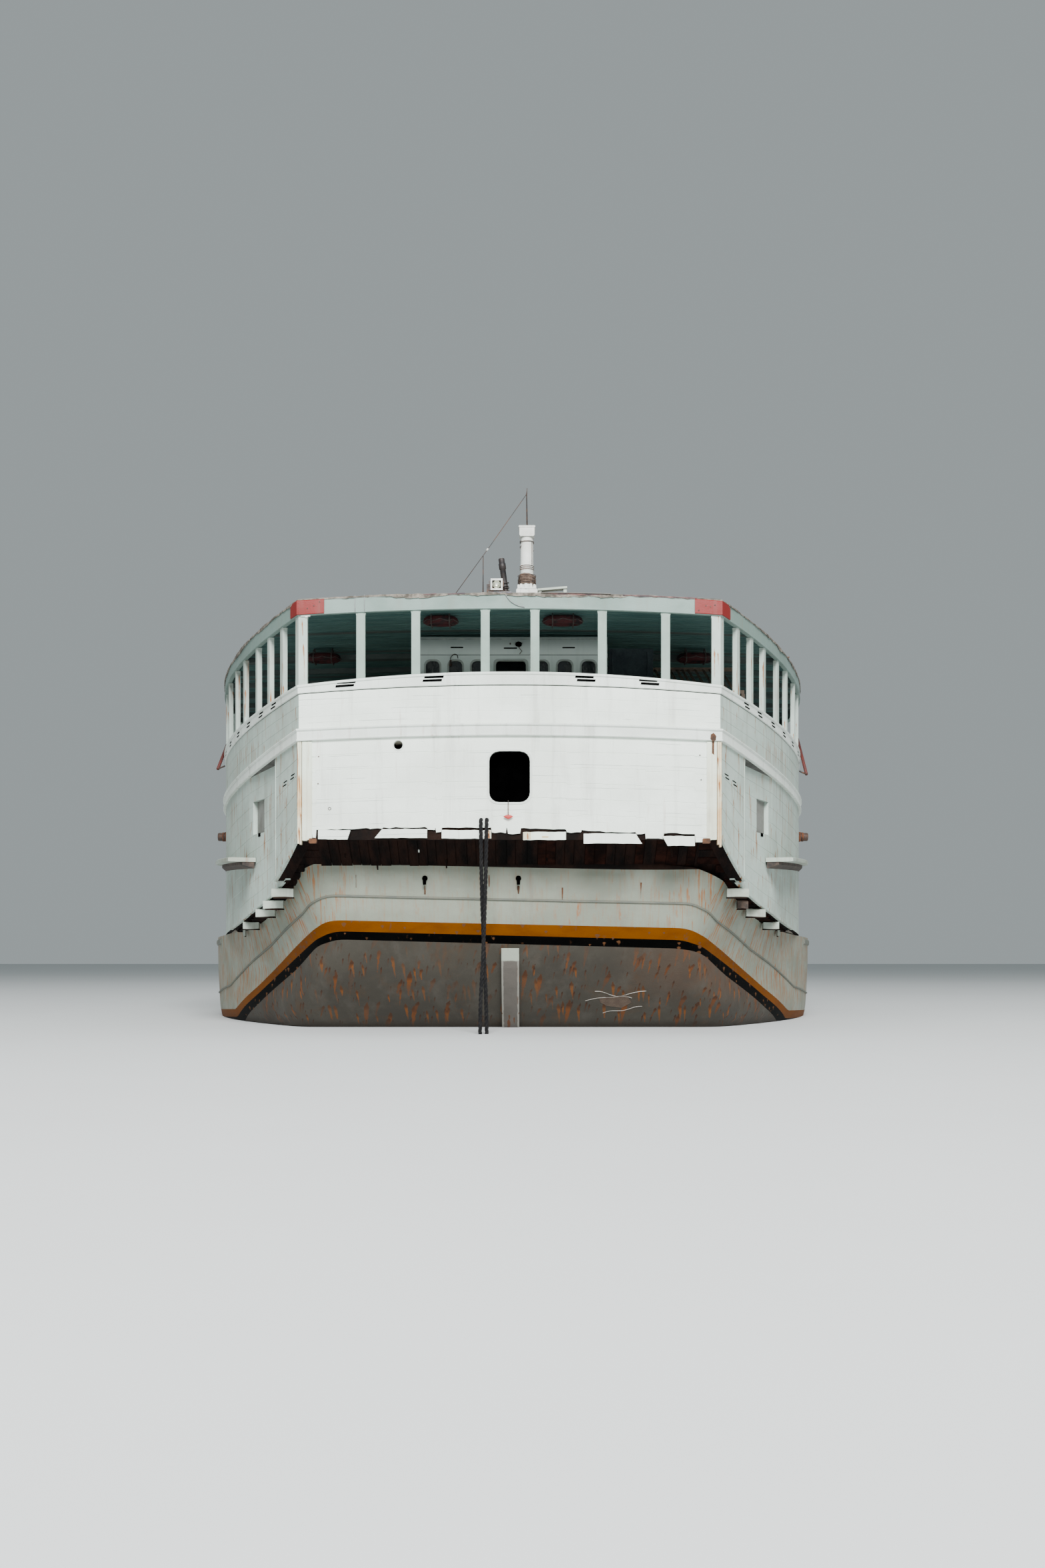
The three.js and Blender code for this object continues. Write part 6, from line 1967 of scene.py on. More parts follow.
def make_stub_pipes():
    build = Build()
    for x in (-1.365, 0.135):
        z = 2.445
        build.tube([on_transom(x, z, -0.03), on_transom(x, z - 0.01, 0.05), on_transom(x, z - 0.05, 0.085),
                    on_transom(x, z - 0.105, 0.09)], [0.030, 0.030, 0.028, 0.026], 12)
        build.tube([on_transom(x, z + 0.004, -0.01), on_transom(x, z, 0.012)], 0.045, 12)
    build.make("transom_drains", BLACK, slot="steel", flat=False)
    runs = Build()
    for x, top, low, wide in ((-1.365, 2.33, 2.19, 0.030), (0.135, 2.33, 2.20, 0.026),
                              (-2.47, 2.50, 2.30, 0.016),
                              (-0.335, 2.50, 2.31, 0.016), (0.84, 2.30, 2.05, 0.014),
                              (2.10, 2.38, 2.12, 0.016)):
        rings = []
        for t in spaced(0.0, 1.0, 0.1):
            z = top + (low - top) * t
            half = wide * (0.55 + 0.45 * math.sin(2.5 * t + x)) * (1 - 0.6 * t)
            rings.append([on_transom(x - half, z, 0.004), on_transom(x + half, z, 0.004),
                          on_transom(x + half, z, -0.01), on_transom(x - half, z, -0.01)])
        runs.rings(rings)
    runs.make("transom_rust_runs", CORNER_RUST, slot="hull_paint")


def make_post_paint():
    """The stern post's paint: white at its head, grey below, with painted highlights down its two edges."""
    p = Paint("stern_post_paint")
    clouds = p.step(p.noise((1.2, 1.2, 1.0), 2.0, 6.0), 0.35, 0.68)
    colour = p.mix(clouds, (0.120, 0.106, 0.092), (0.088, 0.078, 0.066))
    # Painted highlights: lighter strips down the post's two edges.
    across = p.math("ABSOLUTE", p.axis("X"), 0.0)
    ragged = p.times(p.noise((8.0, 8.0, 5.0), 3.0), 0.03)
    colour = p.mix(p.step(p.math("ADD", across, ragged), 0.125, 0.135), colour, (0.27, 0.26, 0.225))
    colour = p.mix(p.step(p.math("ADD", p.axis("Z"), p.times(ragged, 2.0)), 1.145, 1.165), colour,
                   (0.40, 0.44, 0.36))
    low = p.step(p.axis("Z"), 0.9, 0.05, 0.15, 1.0)
    where, _ = p.runs(0.08, 0.30, 0.4, 5.0)
    colour = p.mix(p.times(where, low), colour, (0.11, 0.038, 0.010))
    return p.finish(colour, p.noise((30.0, 30.0, 30.0), 5.0, 6.0), 0.003, 0.72)


POST_PAINT = make_post_paint()


STERN_POST = {"half": 0.145, "low": -0.36, "high": 1.33, "proud": 0.12}


def make_stern_post():
    """The post down the middle of the transom: it follows the transom's rake to below the water."""
    half, proud = STERN_POST["half"], STERN_POST["proud"]
    section = [(-half, -0.05), (-half, proud - 0.012), (-half + 0.012, proud), (half - 0.012, proud),
               (half, proud - 0.012), (half, -0.05)]
    build = Build()
    build.rings([[on_transom(x, z, out) for x, out in section]
                 for z in spaced(STERN_POST["low"], STERN_POST["high"], 0.08)])
    build.make("stern_post_timber", POST_PAINT, slot="bottom_paint", replaces=["stern_post"])


def make_scar():
    """A patched dent in the bottom paint on the starboard side, with scratches round it."""
    build = Build()
    outline = [(1.48, 0.50), (1.92, 0.57), (2.02, 0.43), (1.86, 0.34), (1.62, 0.37), (1.50, 0.43)]
    build.rings([[on_transom(x, z, out) for x, z in outline] for out in (-0.01, 0.006)])
    for x0, z0, x1, z1 in ((1.25, 0.46, 2.25, 0.62), (1.40, 0.62, 2.02, 0.50), (1.55, 0.25, 2.20, 0.36)):
        build.tube([on_transom(x0 + (x1 - x0) * t, z0 + (z1 - z0) * t + 0.015 * math.sin(9 * t), 0.003)
                    for t in spaced(0.0, 1.0, 0.1)], 0.0035, 5, 1)
    build.make("hull_scar", [SCAR, POST_EDGE], slot="bottom_paint")


# A discharge's pipe, flange and clamp: material, then distances out from the wall and radii
DISCHARGE_SECTIONS = [
    (0, [(-0.04, 0.085), (0.24, 0.085), (0.255, 0.078), (0.255, 0.062), (0.10, 0.060)]),
    (0, [(-0.01, 0.13), (0.014, 0.13), (0.016, 0.12)]),
    (1, [(0.12, 0.095), (0.16, 0.095)]),
]


def make_discharges():
    """The pipes that reach out at each quarter, with their flanges, bolts and clamps."""
    u, z = 8.6, 3.72
    wall = house_half(u)
    for side, name in PANEL_SIDES:
        def ring(out, r):
            return [(side * (wall + out), STERN_Y + u + r * math.cos(t), z + r * math.sin(t))
                    for t in turns(20)]

        build = Build()
        for index, section in DISCHARGE_SECTIONS:
            build.rings([ring(out, r) for out, r in section], index)
        build.block((side * (wall + 0.02), u - 0.11, z - 0.10), (side * (wall + 0.10), u + 0.10, z + 0.095),
                    1, 0.012)
        for t in turns(6):
            y, bolt_z = STERN_Y + u + 0.11 * math.cos(t), z + 0.11 * math.sin(t)
            build.tube([(side * (wall + out), y, bolt_z) for out in (0.01, 0.026)], 0.010, 6, 1)
        build.make("discharge_" + name, [STEEL, RUSTY], slot="steel", flat=False)


def make_poles():
    """Reddish poles that lean out from the rail on each side, each with a collar and a brace."""
    build = Build()
    for side, top_u, top_z, foot_u, foot_z in ((-1, 7.6, 5.56, 6.6, 4.90), (1, 7.4, 5.60, 6.3, 4.76)):
        head = Vector((side * (house_half(top_u) - 0.02), STERN_Y + top_u, top_z))
        foot = (side * (house_half(foot_u) + 0.16), STERN_Y + foot_u, foot_z)
        build.tube([head, foot], 0.030, 10)
        build.tube([head + Vector((0, 0, -0.05)), head + Vector((side * 0.005, 0, -0.11))], 0.037, 10, 1)
        brace = (side * (house_half(foot_u) + 0.02), STERN_Y + foot_u, foot_z + 0.06)
        build.tube([foot, brace], 0.016, 8, 1)
    build.make("rail_poles", [RED_POLE, STEEL], slot="steel", flat=False)


make_stub_pipes()
make_stern_post()
make_scar()
make_discharges()
make_poles()


# Gear on the roof's stern edge: the light post, a leaning pipe, a floodlight, an aerial and their wires
GEAR_U = 0.15
LIGHT_POST = {"x": 0.268, "radius": 0.103, "foot": 6.79, "head": 7.70}


def ring_at(x, u, z, r, steps=24):
    return [(x + r * math.cos(t), STERN_Y + u + r * math.sin(t), z) for t in turns(steps)]


def lathe(build, x, u, profile, index=0, steps=24):
    """A turned body: rings of (height, radius) about an upright axis."""
    build.rings([ring_at(x, u, z, r, steps) for z, r in profile], index)


def coil(x, u, z0, z1, r, turns, steps=20, wobble=0.0):
    """Points of a wire wound round an upright post."""
    points = []
    count = int(turns * steps)
    for k in range(count + 1):
        t = 2 * math.pi * k / steps
        away = r + wobble * math.sin(2.3 * t)
        points.append((x + away * math.cos(t), STERN_Y + u + away * math.sin(t),
                       z0 + (z1 - z0) * k / count))
    return points


def make_light_post():
    x, r, foot, head = (LIGHT_POST[key] for key in ("x", "radius", "foot", "head"))
    y = STERN_Y + GEAR_U
    build = Build()
    lathe(build, x, GEAR_U,
          [(foot, r), (foot + 0.3, r), (7.18, r - 0.002), (7.19, r + 0.004), (7.26, r + 0.004),
                             (7.27, r - 0.004), (head - 0.02, r - 0.006), (head, r - 0.016)])
    build.block((x - 0.115, GEAR_U - 0.112, head + 0.002), (x + 0.118, GEAR_U + 0.105, 7.845), bevel=0.016)
    build.block((x - 0.128, GEAR_U - 0.12, 7.835), (x + 0.130, GEAR_U + 0.112, 7.862), bevel=0.010)
    for t in turns(10, 0.2):
        cx, cy = x + 0.128 * math.cos(t), GEAR_U + 0.112 * math.sin(t)
        build.block((cx - 0.020, cy - 0.016, 6.885), (cx + 0.020, cy + 0.016, 6.965), bevel=0.006)
    build.block((x - 0.165, 0.035, 6.80), (x + 0.165, 0.262, 6.885), bevel=0.014)
    build.block((x - 0.135, 0.028, 6.885), (x + 0.135, 0.265, 6.905), bevel=0.006)
    post = build.make("light_post_painted", POST_WHITE, slot="white_paint", replaces=["light_post"])
    crease(post, 35)

    dark = Build()
    for z in (7.190, 7.216, 7.242):
        lathe(dark, x, GEAR_U,
              [(z, r + 0.0045), (z + 0.002, r + 0.008), (z + 0.012, r + 0.008), (z + 0.014, r + 0.0045)])
    dark.tube(coil(x, GEAR_U, 7.612, 7.640, r + 0.004, 1.6), 0.0055, 6)
    dark.tube(coil(x, GEAR_U, 7.500, 7.560, r + 0.003, 0.6), 0.0045, 6)
    dark.tube([(x + r * 0.75, y - r * 0.72, z) for z in spaced(7.62, 7.26, 0.06)], 0.005, 6)
    dark.tube([(x + 0.004, y, 7.85), (x - 0.004, y, 8.389), (x, y, 8.395)], [0.011, 0.008, 0.013], 8)
    dark.tube([(x, y, 8.39), (x + 0.004, y, 8.474)], [0.006, 0.004], 8)
    dark.make("light_post_wires", STEEL, slot="steel", flat=False)

    cloth = Build()
    for z0, z1, grow in ((6.960, 7.015, 0.024), (7.005, 7.065, 0.032), (7.055, 7.120, 0.026)):
        rings = []
        for t in spaced(0.0, 1.0, 0.2):
            ring = []
            swell = grow * math.sin(math.pi * min(0.98, max(0.06, t))) ** 0.5
            for a in turns(28):
                fold = 0.006 * math.sin(5 * a + 9 * z0) + 0.004 * math.sin(11 * a + 4 * t)
                reach = r + 0.004 + swell + fold
                droop = 0.010 * math.sin(2 * a + 7 * z0)
                ring.append((x + reach * math.cos(a), y + reach * math.sin(a), z0 + (z1 - z0) * t + droop))
            rings.append(ring)
        cloth.rings(rings)
    wrap = cloth.make("light_post_lagging", CLOTH, slot="dark_wood", flat=False)
    crease(wrap, 60)
    ties = Build()
    for z in (6.985, 7.035, 7.095):
        ties.tube(coil(x, GEAR_U, z, z + 0.012, r + 0.034, 1.1, wobble=0.004), 0.0045, 6)
    for a, drop in ((-0.5, 0.05), (-0.9, 0.03)):
        tx, ty = x + 0.139 * math.cos(a), y + 0.139 * math.sin(a)
        ties.tube([(tx, ty, 7.05), (tx + 0.012, ty - 0.006, 7.0), (tx + 0.006, ty - 0.003, 7.0 - drop)],
                  0.004, 6)
    ties.make("light_post_ties", STEEL, slot="steel", flat=False)

    plank = Build()
    rings = []
    for px, z in ((0.435, 6.868), (0.64, 6.885), (0.890, 6.905)):
        rings.append([(px, STERN_Y + u, z + dz)
                      for u, dz in ((0.03, -0.016), (0.17, -0.016), (0.17, 0.016), (0.03, 0.016))])
    plank.rings(rings)
    for px, z in ((0.47, 6.855), (0.86, 6.89)):
        low = roof_height(px, 0.1) + 0.008
        plank.block((px - 0.025, 0.05, low), (px + 0.025, 0.15, z - 0.004), bevel=0.004)
    plank.make("roof_plank", TIMBER_WHITE, slot="white_paint")


def make_leaning_pipe():
    foot, head = Vector((-0.052, STERN_Y + 0.25, 6.80)), Vector((-0.130, STERN_Y + 0.25, 7.40))
    way = head - foot
    build = Build()
    at = [foot + way * t for t in (0.0, 0.16, 0.17, 0.72, 0.73, 0.87, 0.88, 0.985, 1.0)]
    build.tube(at, [0.050, 0.050, 0.045, 0.045, 0.055, 0.055, 0.047, 0.047, 0.044], 18)
    build.make("leaning_pipe_painted", PIPE_BLACK, slot="steel", replaces=["leaning_pipe"], flat=False)
    cap = Build()
    tip = way.normalized() * 0.004
    cap.tube([head - tip, head + tip], 0.037, 18)
    cap.make("leaning_pipe_bore", MOULDING, slot="steel", flat=False)
    wound = Build()
    side = Vector((1.0, 0.0, 0.13)).normalized()
    depth = Vector((0.0, 1.0, 0.0))
    points = []
    for k in range(91):
        t = 2 * math.pi * k / 14
        middle = foot + way * (0.10 + 0.28 * k / 90)
        away = 0.054 + 0.012 * math.sin(0.37 * t)
        points.append(middle + side * away * math.cos(t) + depth * away * math.sin(t))
    wound.tube(points, 0.006, 6)
    wound.make("leaning_pipe_wire", STEEL, slot="steel", flat=False)


def make_floodlight():
    """A square lamp with a bright bowl in its frame, on a bent bracket."""
    x, z, half = -0.200, 6.950, 0.092
    place = across_place(0.055, x)
    body = Build()
    frame_ring(body, place, rectangle(0.068, z - 0.062, z + 0.062),
               rectangle(half, z - half + 0.004, z + half - 0.002), -0.03, 0.022)
    prism(body, place, rectangle(half - 0.012, z - 0.078, z + 0.078), -0.075, -0.03)
    left, right = x - half, x + half
    for low, high, bevel in (
            ((left - 0.028, 0.045, z - 0.03), (left - 0.018, 0.105, z + 0.06), 0.002),
            ((right + 0.006, 0.045, z - 0.03), (right + 0.016, 0.105, z + 0.06), 0.002),
            ((left - 0.03, 0.05, 6.855), (right + 0.016, 0.10, 6.868), 0.002),
            ((x - 0.10, 0.06, 6.795), (x - 0.05, 0.10, 6.86), 0.004),
            ((x + 0.04, 0.06, 6.795), (x + 0.09, 0.10, 6.86), 0.004),
            ((-0.355, 0.065, 6.795), (-0.305, 0.115, 6.96), 0.006)):
        body.block(low, high, 1, bevel)
    body.make("floodlight_body", [POST_WHITE, STEEL], slot="steel", replaces=["floodlight"])
    bowl = Build()
    profile = ((0.004, 0.062), (-0.004, 0.058), (-0.018, 0.040), (-0.024, 0.016), (-0.025, 0.004))
    bowl.rings([[(x + r * math.cos(t), STERN_Y + 0.055 - out, z + r * math.sin(t))
                 for t in turns(24, math.pi / 4)]
                for out, r in profile], 0, caps=False)
    outline = [(x - 0.067, z - 0.061), (x + 0.067, z - 0.061), (x + 0.067, z + 0.061),
               (x - 0.067, z + 0.061)]
    bowl.add([(px, STERN_Y + u, pz) for u in (0.050, 0.084) for px, pz in outline],
             [(4, 5, 6, 7), (0, 4, 7, 3), (1, 2, 6, 5), (3, 7, 6, 2), (0, 1, 5, 4)], 1)
    bowl.tube([(x - 0.03, STERN_Y + 0.045, z - 0.005), (x + 0.03, STERN_Y + 0.045, z + 0.005)], 0.009, 8, 2)
    bowl.make("floodlight_bowl", [REFLECTOR, STEEL, LAMP_TUBE], slot="steel", flat=False)


def make_aerials():
    build = Build()
    y = STERN_Y + GEAR_U
    build.tube([(-0.413, y, 6.78), (-0.411, y, 7.42)], [0.0085, 0.0060], 8)
    build.tube([(-0.413, y, 6.78), (-0.413, y, 6.83)], 0.020, 8)
    build.make("roof_aerial", STEEL, slot="steel", replaces=["antenna"], flat=False)
    stay = Build()
    top, low = Vector((0.260, y, 8.374)), Vector((-0.909, STERN_Y + 0.32, roof_height(-0.909, 0.32) + 0.02))
    stay.tube([top, top.lerp(low, 0.5) + Vector((0.0, 0.0, -0.012)), low], 0.0055, 6)
    middle = top.lerp(low, 0.52) + Vector((0.0, 0.0, -0.010))
    way = (low - top).normalized() * 0.022
    stay.tube([middle - way, middle - way * 0.5, middle + way * 0.5, middle + way],
              [0.006, 0.014, 0.014, 0.006], 8, 1)
    stay.block((-0.94, 0.29, low.z - 0.03), (-0.88, 0.35, low.z + 0.01), 0, 0.006)
    stay.make("aerial_stay", [STEEL, POST_WHITE], slot="steel", flat=False)

    wires = Build()
    face = STERN_Y - 0.026
    for x in (-2.385, -2.240):
        top = height("roof", 0, x) + 0.03
        low = height("fascia", 0, x) + 0.01
        wires.tube([(x, STERN_Y + 0.12, top + 0.01), (x, face + 0.01, top),
                    (x + 0.004, face - 0.004, top - 0.04),
                    (x - 0.003, face - 0.004, (top + low) / 2), (x + 0.002, face - 0.004, low),
                    (x + 0.002, face + 0.03, low - 0.016)], 0.0055, 6)
    run = [(-0.09, STERN_Y + 0.10, 6.825), (-0.075, face + 0.004, 6.80), (0.0, face - 0.010, 6.69),
           (0.076, face - 0.010, 6.633),
           (0.150, face - 0.010, 6.600), (0.225, face - 0.010, 6.580), (0.230, face + 0.02, 6.560)]
    wires.tube(curve_through(run, 5), 0.006, 6)
    wires.make("fascia_wires", CABLE_GREY, slot="steel", flat=False)
    cables = Build()
    for k, (dz, du) in enumerate(((0.0, 0.0), (0.014, 0.02), (0.006, 0.04))):
        line = [(x, STERN_Y + 0.02 + du + 0.012 * math.sin(13 * x + k),
                 6.815 + dz + 0.006 * math.sin(17 * x + 2 * k))
                for x in spaced(-0.33, 0.03, 0.04)]
        cables.tube(line, 0.0085, 6, k % 2)
    cables.make("roof_edge_cables", [CABLE_BLUE, CABLE_GREY], slot="steel", flat=False)


def make_roof_box():
    """A small dark box on the starboard edge of the roof, and the corner post's broken bracket."""
    build = Build()
    u = 4.6
    x = roof_half(u) - 0.12
    z = roof_height(x, u)
    build.block((x - 0.10, u - 0.16, z + 0.004), (x + 0.02, u + 0.16, z + 0.115), 0, 0.012)
    build.block((x - 0.12, u - 0.18, z + 0.105), (x + 0.04, u + 0.18, z + 0.125), 0, 0.006)
    build.make("roof_side_box", STEEL, slot="steel")
    bracket = Build()
    p = stern_place(-TRANSOM_HALF + 0.09)
    top = height("fascia", 0, TRANSOM_HALF) + 0.012
    outline = [(-0.055, top), (0.095, top - 0.004), (0.088, top - 0.018), (0.052, top - 0.020),
               (0.045, top - 0.034),
               (0.020, top - 0.036), (0.012, top - 0.022), (-0.055, top - 0.020)]
    prism(bracket, p, outline, -0.02, 0.018)
    bracket.make("corner_broken_bracket", TRIM, slot="white_paint")


make_light_post()
make_leaning_pipe()
make_floodlight()
make_aerials()
make_roof_box()


# Wheelhouse, funnel, mast and the gear forward
WHEELHOUSE = {"half": 2.6, "u": (26.3, 29.9), "top": 7.15}
WHEEL_SIDE_WINDOWS = [(28.15, 28.85), (29.0, 29.7)]
WHEEL_FRONT_WINDOWS = [(-2.35 + 0.96 * k, -1.49 + 0.96 * k) for k in range(5)]
WHEEL_AFTER_WINDOWS = [(-1.9, -1.1), (1.1, 1.9)]


def window(build, place, half, low, high, rim=0.05, corner=0.05):
    """A window's frame, its sill and its glass, in one build."""
    frame_ring(build, place, rounded(half - 0.012, low + 0.012, high - 0.012, corner, 2),
               rounded(half + rim, low - rim, high + rim, corner + 0.02, 2), -0.05, 0.018)
    prism(build, place, rectangle(half + rim + 0.02, low - rim - 0.025, low - rim + 0.004), -0.005, 0.04)
    prism(build, place, rounded(half - 0.01, low + 0.01, high - 0.01, corner, 2), -0.045, -0.037, 1)


def make_wheelhouse_trim():
    half, top = WHEELHOUSE["half"], WHEELHOUSE["top"]
    u0, u1 = WHEELHOUSE["u"]
    build = Build()
    for side in (-1, 1):
        for a, b in WHEEL_SIDE_WINDOWS:
            window(build, flat_side(side, half, (a + b) / 2), (b - a) / 2, 5.7, 6.6)
    for a, b in WHEEL_FRONT_WINDOWS:
        window(build, across_place(u1, (a + b) / 2, ahead=True), (b - a) / 2, 5.75, 6.6, 0.04)
    for a, b in WHEEL_AFTER_WINDOWS:
        window(build, across_place(u0, (a + b) / 2), (b - a) / 2, 5.75, 6.55)
    build.make("wheelhouse_windows", [TRIM, GLASS], slot="white_paint")

    trim = Build()
    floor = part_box("wheelhouse")[0][2]
    for side in (-1, 1):
        for u in (u0 - 0.012, u1 - 0.088):
            trim.block((side * (half - 0.09), u, floor + 0.02),
                       (side * (half + 0.014), u + 0.10, top - 0.002),
                       bevel=0.006)
        inner, outer = side * (half - 0.01), side * (half + 0.022)
        for a, b in ((u0 + 0.1, 26.95), (27.83, u1 - 0.1)):
            trim.block((inner, a, 5.42), (outer, b, 5.48), bevel=0.006)
            for z in spaced(floor + 0.25, 5.35, 0.235):
                trim.block((inner, a, z), (outer, b, z + 0.014), bevel=0.003)
    for y0, y1 in ((u0 - 0.022, u0 + 0.01), (u1 - 0.01, u1 + 0.022)):
        trim.block((-half + 0.1, y0, 5.42), (half - 0.1, y1, 5.48), bevel=0.006)
    trim.make("wheelhouse_battens", TRIM, slot="white_paint")

    edge = Build()
    reach, after, fore = half + 0.25, u0 - 0.2, u1 + 0.45
    low, high = 7.135, 7.256
    for side, u in ((-1, after), (1, fore)):
        edge.block((side * (reach - 0.02), after - 0.022, low),
                   (side * (reach + 0.022), fore + 0.022, high), bevel=0.008)
        edge.block((-reach + 0.02, u - side * 0.02, low), (reach - 0.02, u + side * 0.022, high),
                   bevel=0.008)
    edge.make("wheelhouse_roof_edge", TRIM, slot="white_paint")

    lights = Build()
    for side, index in ((-1, 0), (1, 1)):
        x = side * (half + 0.12)
        lights.block((x, 29.3, 7.26), (x + side * 0.16, 29.34, 7.50), 2, 0.004)
        lights.block((x, 29.34, 7.26), (x + side * 0.02, 29.95, 7.50), 2, 0.004)
        lathe(lights, x + side * 0.10, 29.46,
              [(7.27, 0.05), (7.28, 0.06), (7.40, 0.06), (7.44, 0.03), (7.45, 0.012)], index, 14)
    lights.make("side_lights", [LAMP_RED, LAMP_GREEN, DARK], slot="steel")


def make_doors():
    """Window, handle and rails of each wheelhouse door, which swing with it."""
    half = WHEELHOUSE["half"]
    for side, name in PANEL_SIDES:
        build = Build()
        place = flat_side(side, half, 27.375)
        frame_ring(build, place, rounded(0.190, 5.672, 6.278, 0.04, 2),
                   rounded(0.232, 5.628, 6.322, 0.05, 2),
                   -0.045, 0.010)
        prism(build, place, rounded(0.195, 5.668, 6.282, 0.04, 2), -0.032, -0.026, 1)
        frame_ring(build, place, rectangle(0.235, 4.66, 5.46), rectangle(0.262, 4.633, 5.487), -0.004,
                   0.008)
        grip, y = side * (half + 0.06), STERN_Y + 27.11
        build.tube([(side * (half - 0.01), y, 5.55), (grip, y, 5.55), (grip, y + 0.10, 5.55)],
                   [0.012, 0.012, 0.010], 8, 2)
        prism(build, flat_side(side, half, 27.11), rectangle(0.03, 5.49, 5.61), -0.002, 0.006, 2)
        build.make("wheelhouse_door_fittings_" + name, [TRIM, GLASS, BRONZE], slot="white_paint",
                   body="wheelhouse_door_" + name)


# Material, then rings: height above the foot, half length, half width and corner radius
FUNNEL_SECTIONS = [
    (0, [(0.0, 1.30, 0.70, 0.30), (0.05, 1.30, 0.70, 0.30), (1.10, 1.205, 0.635, 0.27)]),
    (1, [(1.10, 1.215, 0.645, 0.27), (1.115, 1.22, 0.65, 0.27), (1.52, 1.185, 0.625, 0.26),
         (1.535, 1.18, 0.62, 0.26)]),
    (2, [(1.53, 1.165, 0.605, 0.26), (1.70, 1.15, 0.60, 0.26), (1.90, 1.15, 0.60, 0.26),
         (1.91, 1.10, 0.55, 0.22),
         (1.84, 1.08, 0.53, 0.22)]),
    (0, [(0.0, 1.36, 0.76, 0.32), (0.07, 1.36, 0.76, 0.32), (0.08, 1.33, 0.73, 0.31)]),
]
FUNNEL_PIPE = [(1.75, 0.13), (2.32, 0.13), (2.35, 0.125), (2.35, 0.110), (2.0, 0.108)]


def make_funnel():
    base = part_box("funnel")[0][2]
    u = 13.0
    build = Build()
    for index, levels in FUNNEL_SECTIONS:
        build.rings([[(x, STERN_Y + u + y, base + z) for x, y in rounded(wide, -long, long, corner, 5)]
                     for z, long, wide, corner in levels], index)
    body = build.make("funnel_casing", [WHITE, NAVY, SOOT], slot="white_paint", replaces=["funnel"])
    crease(body, 35)
    pipes = Build()
    for x in (-0.28, 0.28):
        lathe(pipes, x, u, [(base + z, r) for z, r in FUNNEL_PIPE], steps=20)
        lathe(pipes, x, u, [(base + 2.05, 0.14), (base + 2.09, 0.14)], steps=20)
    for k in range(5):
        z = base + 0.55 + 0.085 * k
        for side in (-1, 1):
            inner, outer = side * (0.655 - 0.015 * k), side * (0.70 - 0.015 * k)
            pipes.block((inner, u - 0.45, z), (outer, u + 0.45, z + 0.05), 0, 0.006)
    obj = pipes.make("funnel_pipes", SOOT, slot="steel")
    crease(obj, 35)
    stays = Build()
    for side in (-1, 1):
        for du in (-0.9, 0.9):
            top = (side * 0.60, STERN_Y + u + du, base + 1.75)
            x, v = side * 2.3, u + du * 1.7
            z = roof_height(x, v)
            stays.tube([top, (x, STERN_Y + v, z + 0.01)], 0.010, 6)
            stays.block((x - 0.05, v - 0.05, z - 0.004), (x + 0.05, v + 0.05, z + 0.03), 0, 0.008)
    stays.make("funnel_stays", STEEL, slot="steel")


def make_mast_gear():
    u, foot = 27.2, 7.24
    build = Build()
    head = Vector((0.0, STERN_Y + u, foot + 3.45))
    for x, v in ((-2.55, 26.4), (2.55, 26.4), (-2.0, 30.1), (2.0, 30.1)):
        low = Vector((x, STERN_Y + v, 7.25))
        build.tube([head, low], 0.009, 6)
        build.tube([head.lerp(low, 0.93), low], 0.018, 8)
    for end in (-1.05, 1.05):
        build.tube([(end, STERN_Y + u, foot + 2.6), (0.0, STERN_Y + u, foot + 3.3)], 0.007, 6)
    lathe(build, 0.0, u, [(foot + 0.04, 0.13), (foot + 0.12, 0.13), (foot + 0.15, 0.10)], 0, 16)
    for z in (1.2, 2.2):
        lathe(build, 0.0, u, [(foot + z, 0.095), (foot + z + 0.05, 0.095)], 0, 16)
    build.make("mast_stays", STEEL, slot="steel", flat=False)
    lamps = Build()
    for x, v, z in ((0.0, u - 0.14, foot + 2.0), (0.0, u + 0.14, foot + 2.9), (-0.9, u, foot + 2.66),
                    (0.9, u, foot + 2.66)):
        lathe(lamps, x, v, [(z, 0.03), (z + 0.01, 0.055), (z + 0.04, 0.058)], 1, 14)
        lathe(lamps, x, v, [(z + 0.04, 0.048), (z + 0.12, 0.048)], 0, 14)
        lathe(lamps, x, v, [(z + 0.12, 0.058), (z + 0.14, 0.05), (z + 0.16, 0.012)], 1, 14)
    lamps.block((-0.03, u - 0.12, foot + 1.96), (0.03, u - 0.05, foot + 2.0), 1, 0.004)
    lamps.block((-0.03, u + 0.05, foot + 2.86), (0.03, u + 0.12, foot + 2.9), 1, 0.004)
    lamps.make("mast_lamps", [LAMP_TUBE, STEEL], slot="steel")


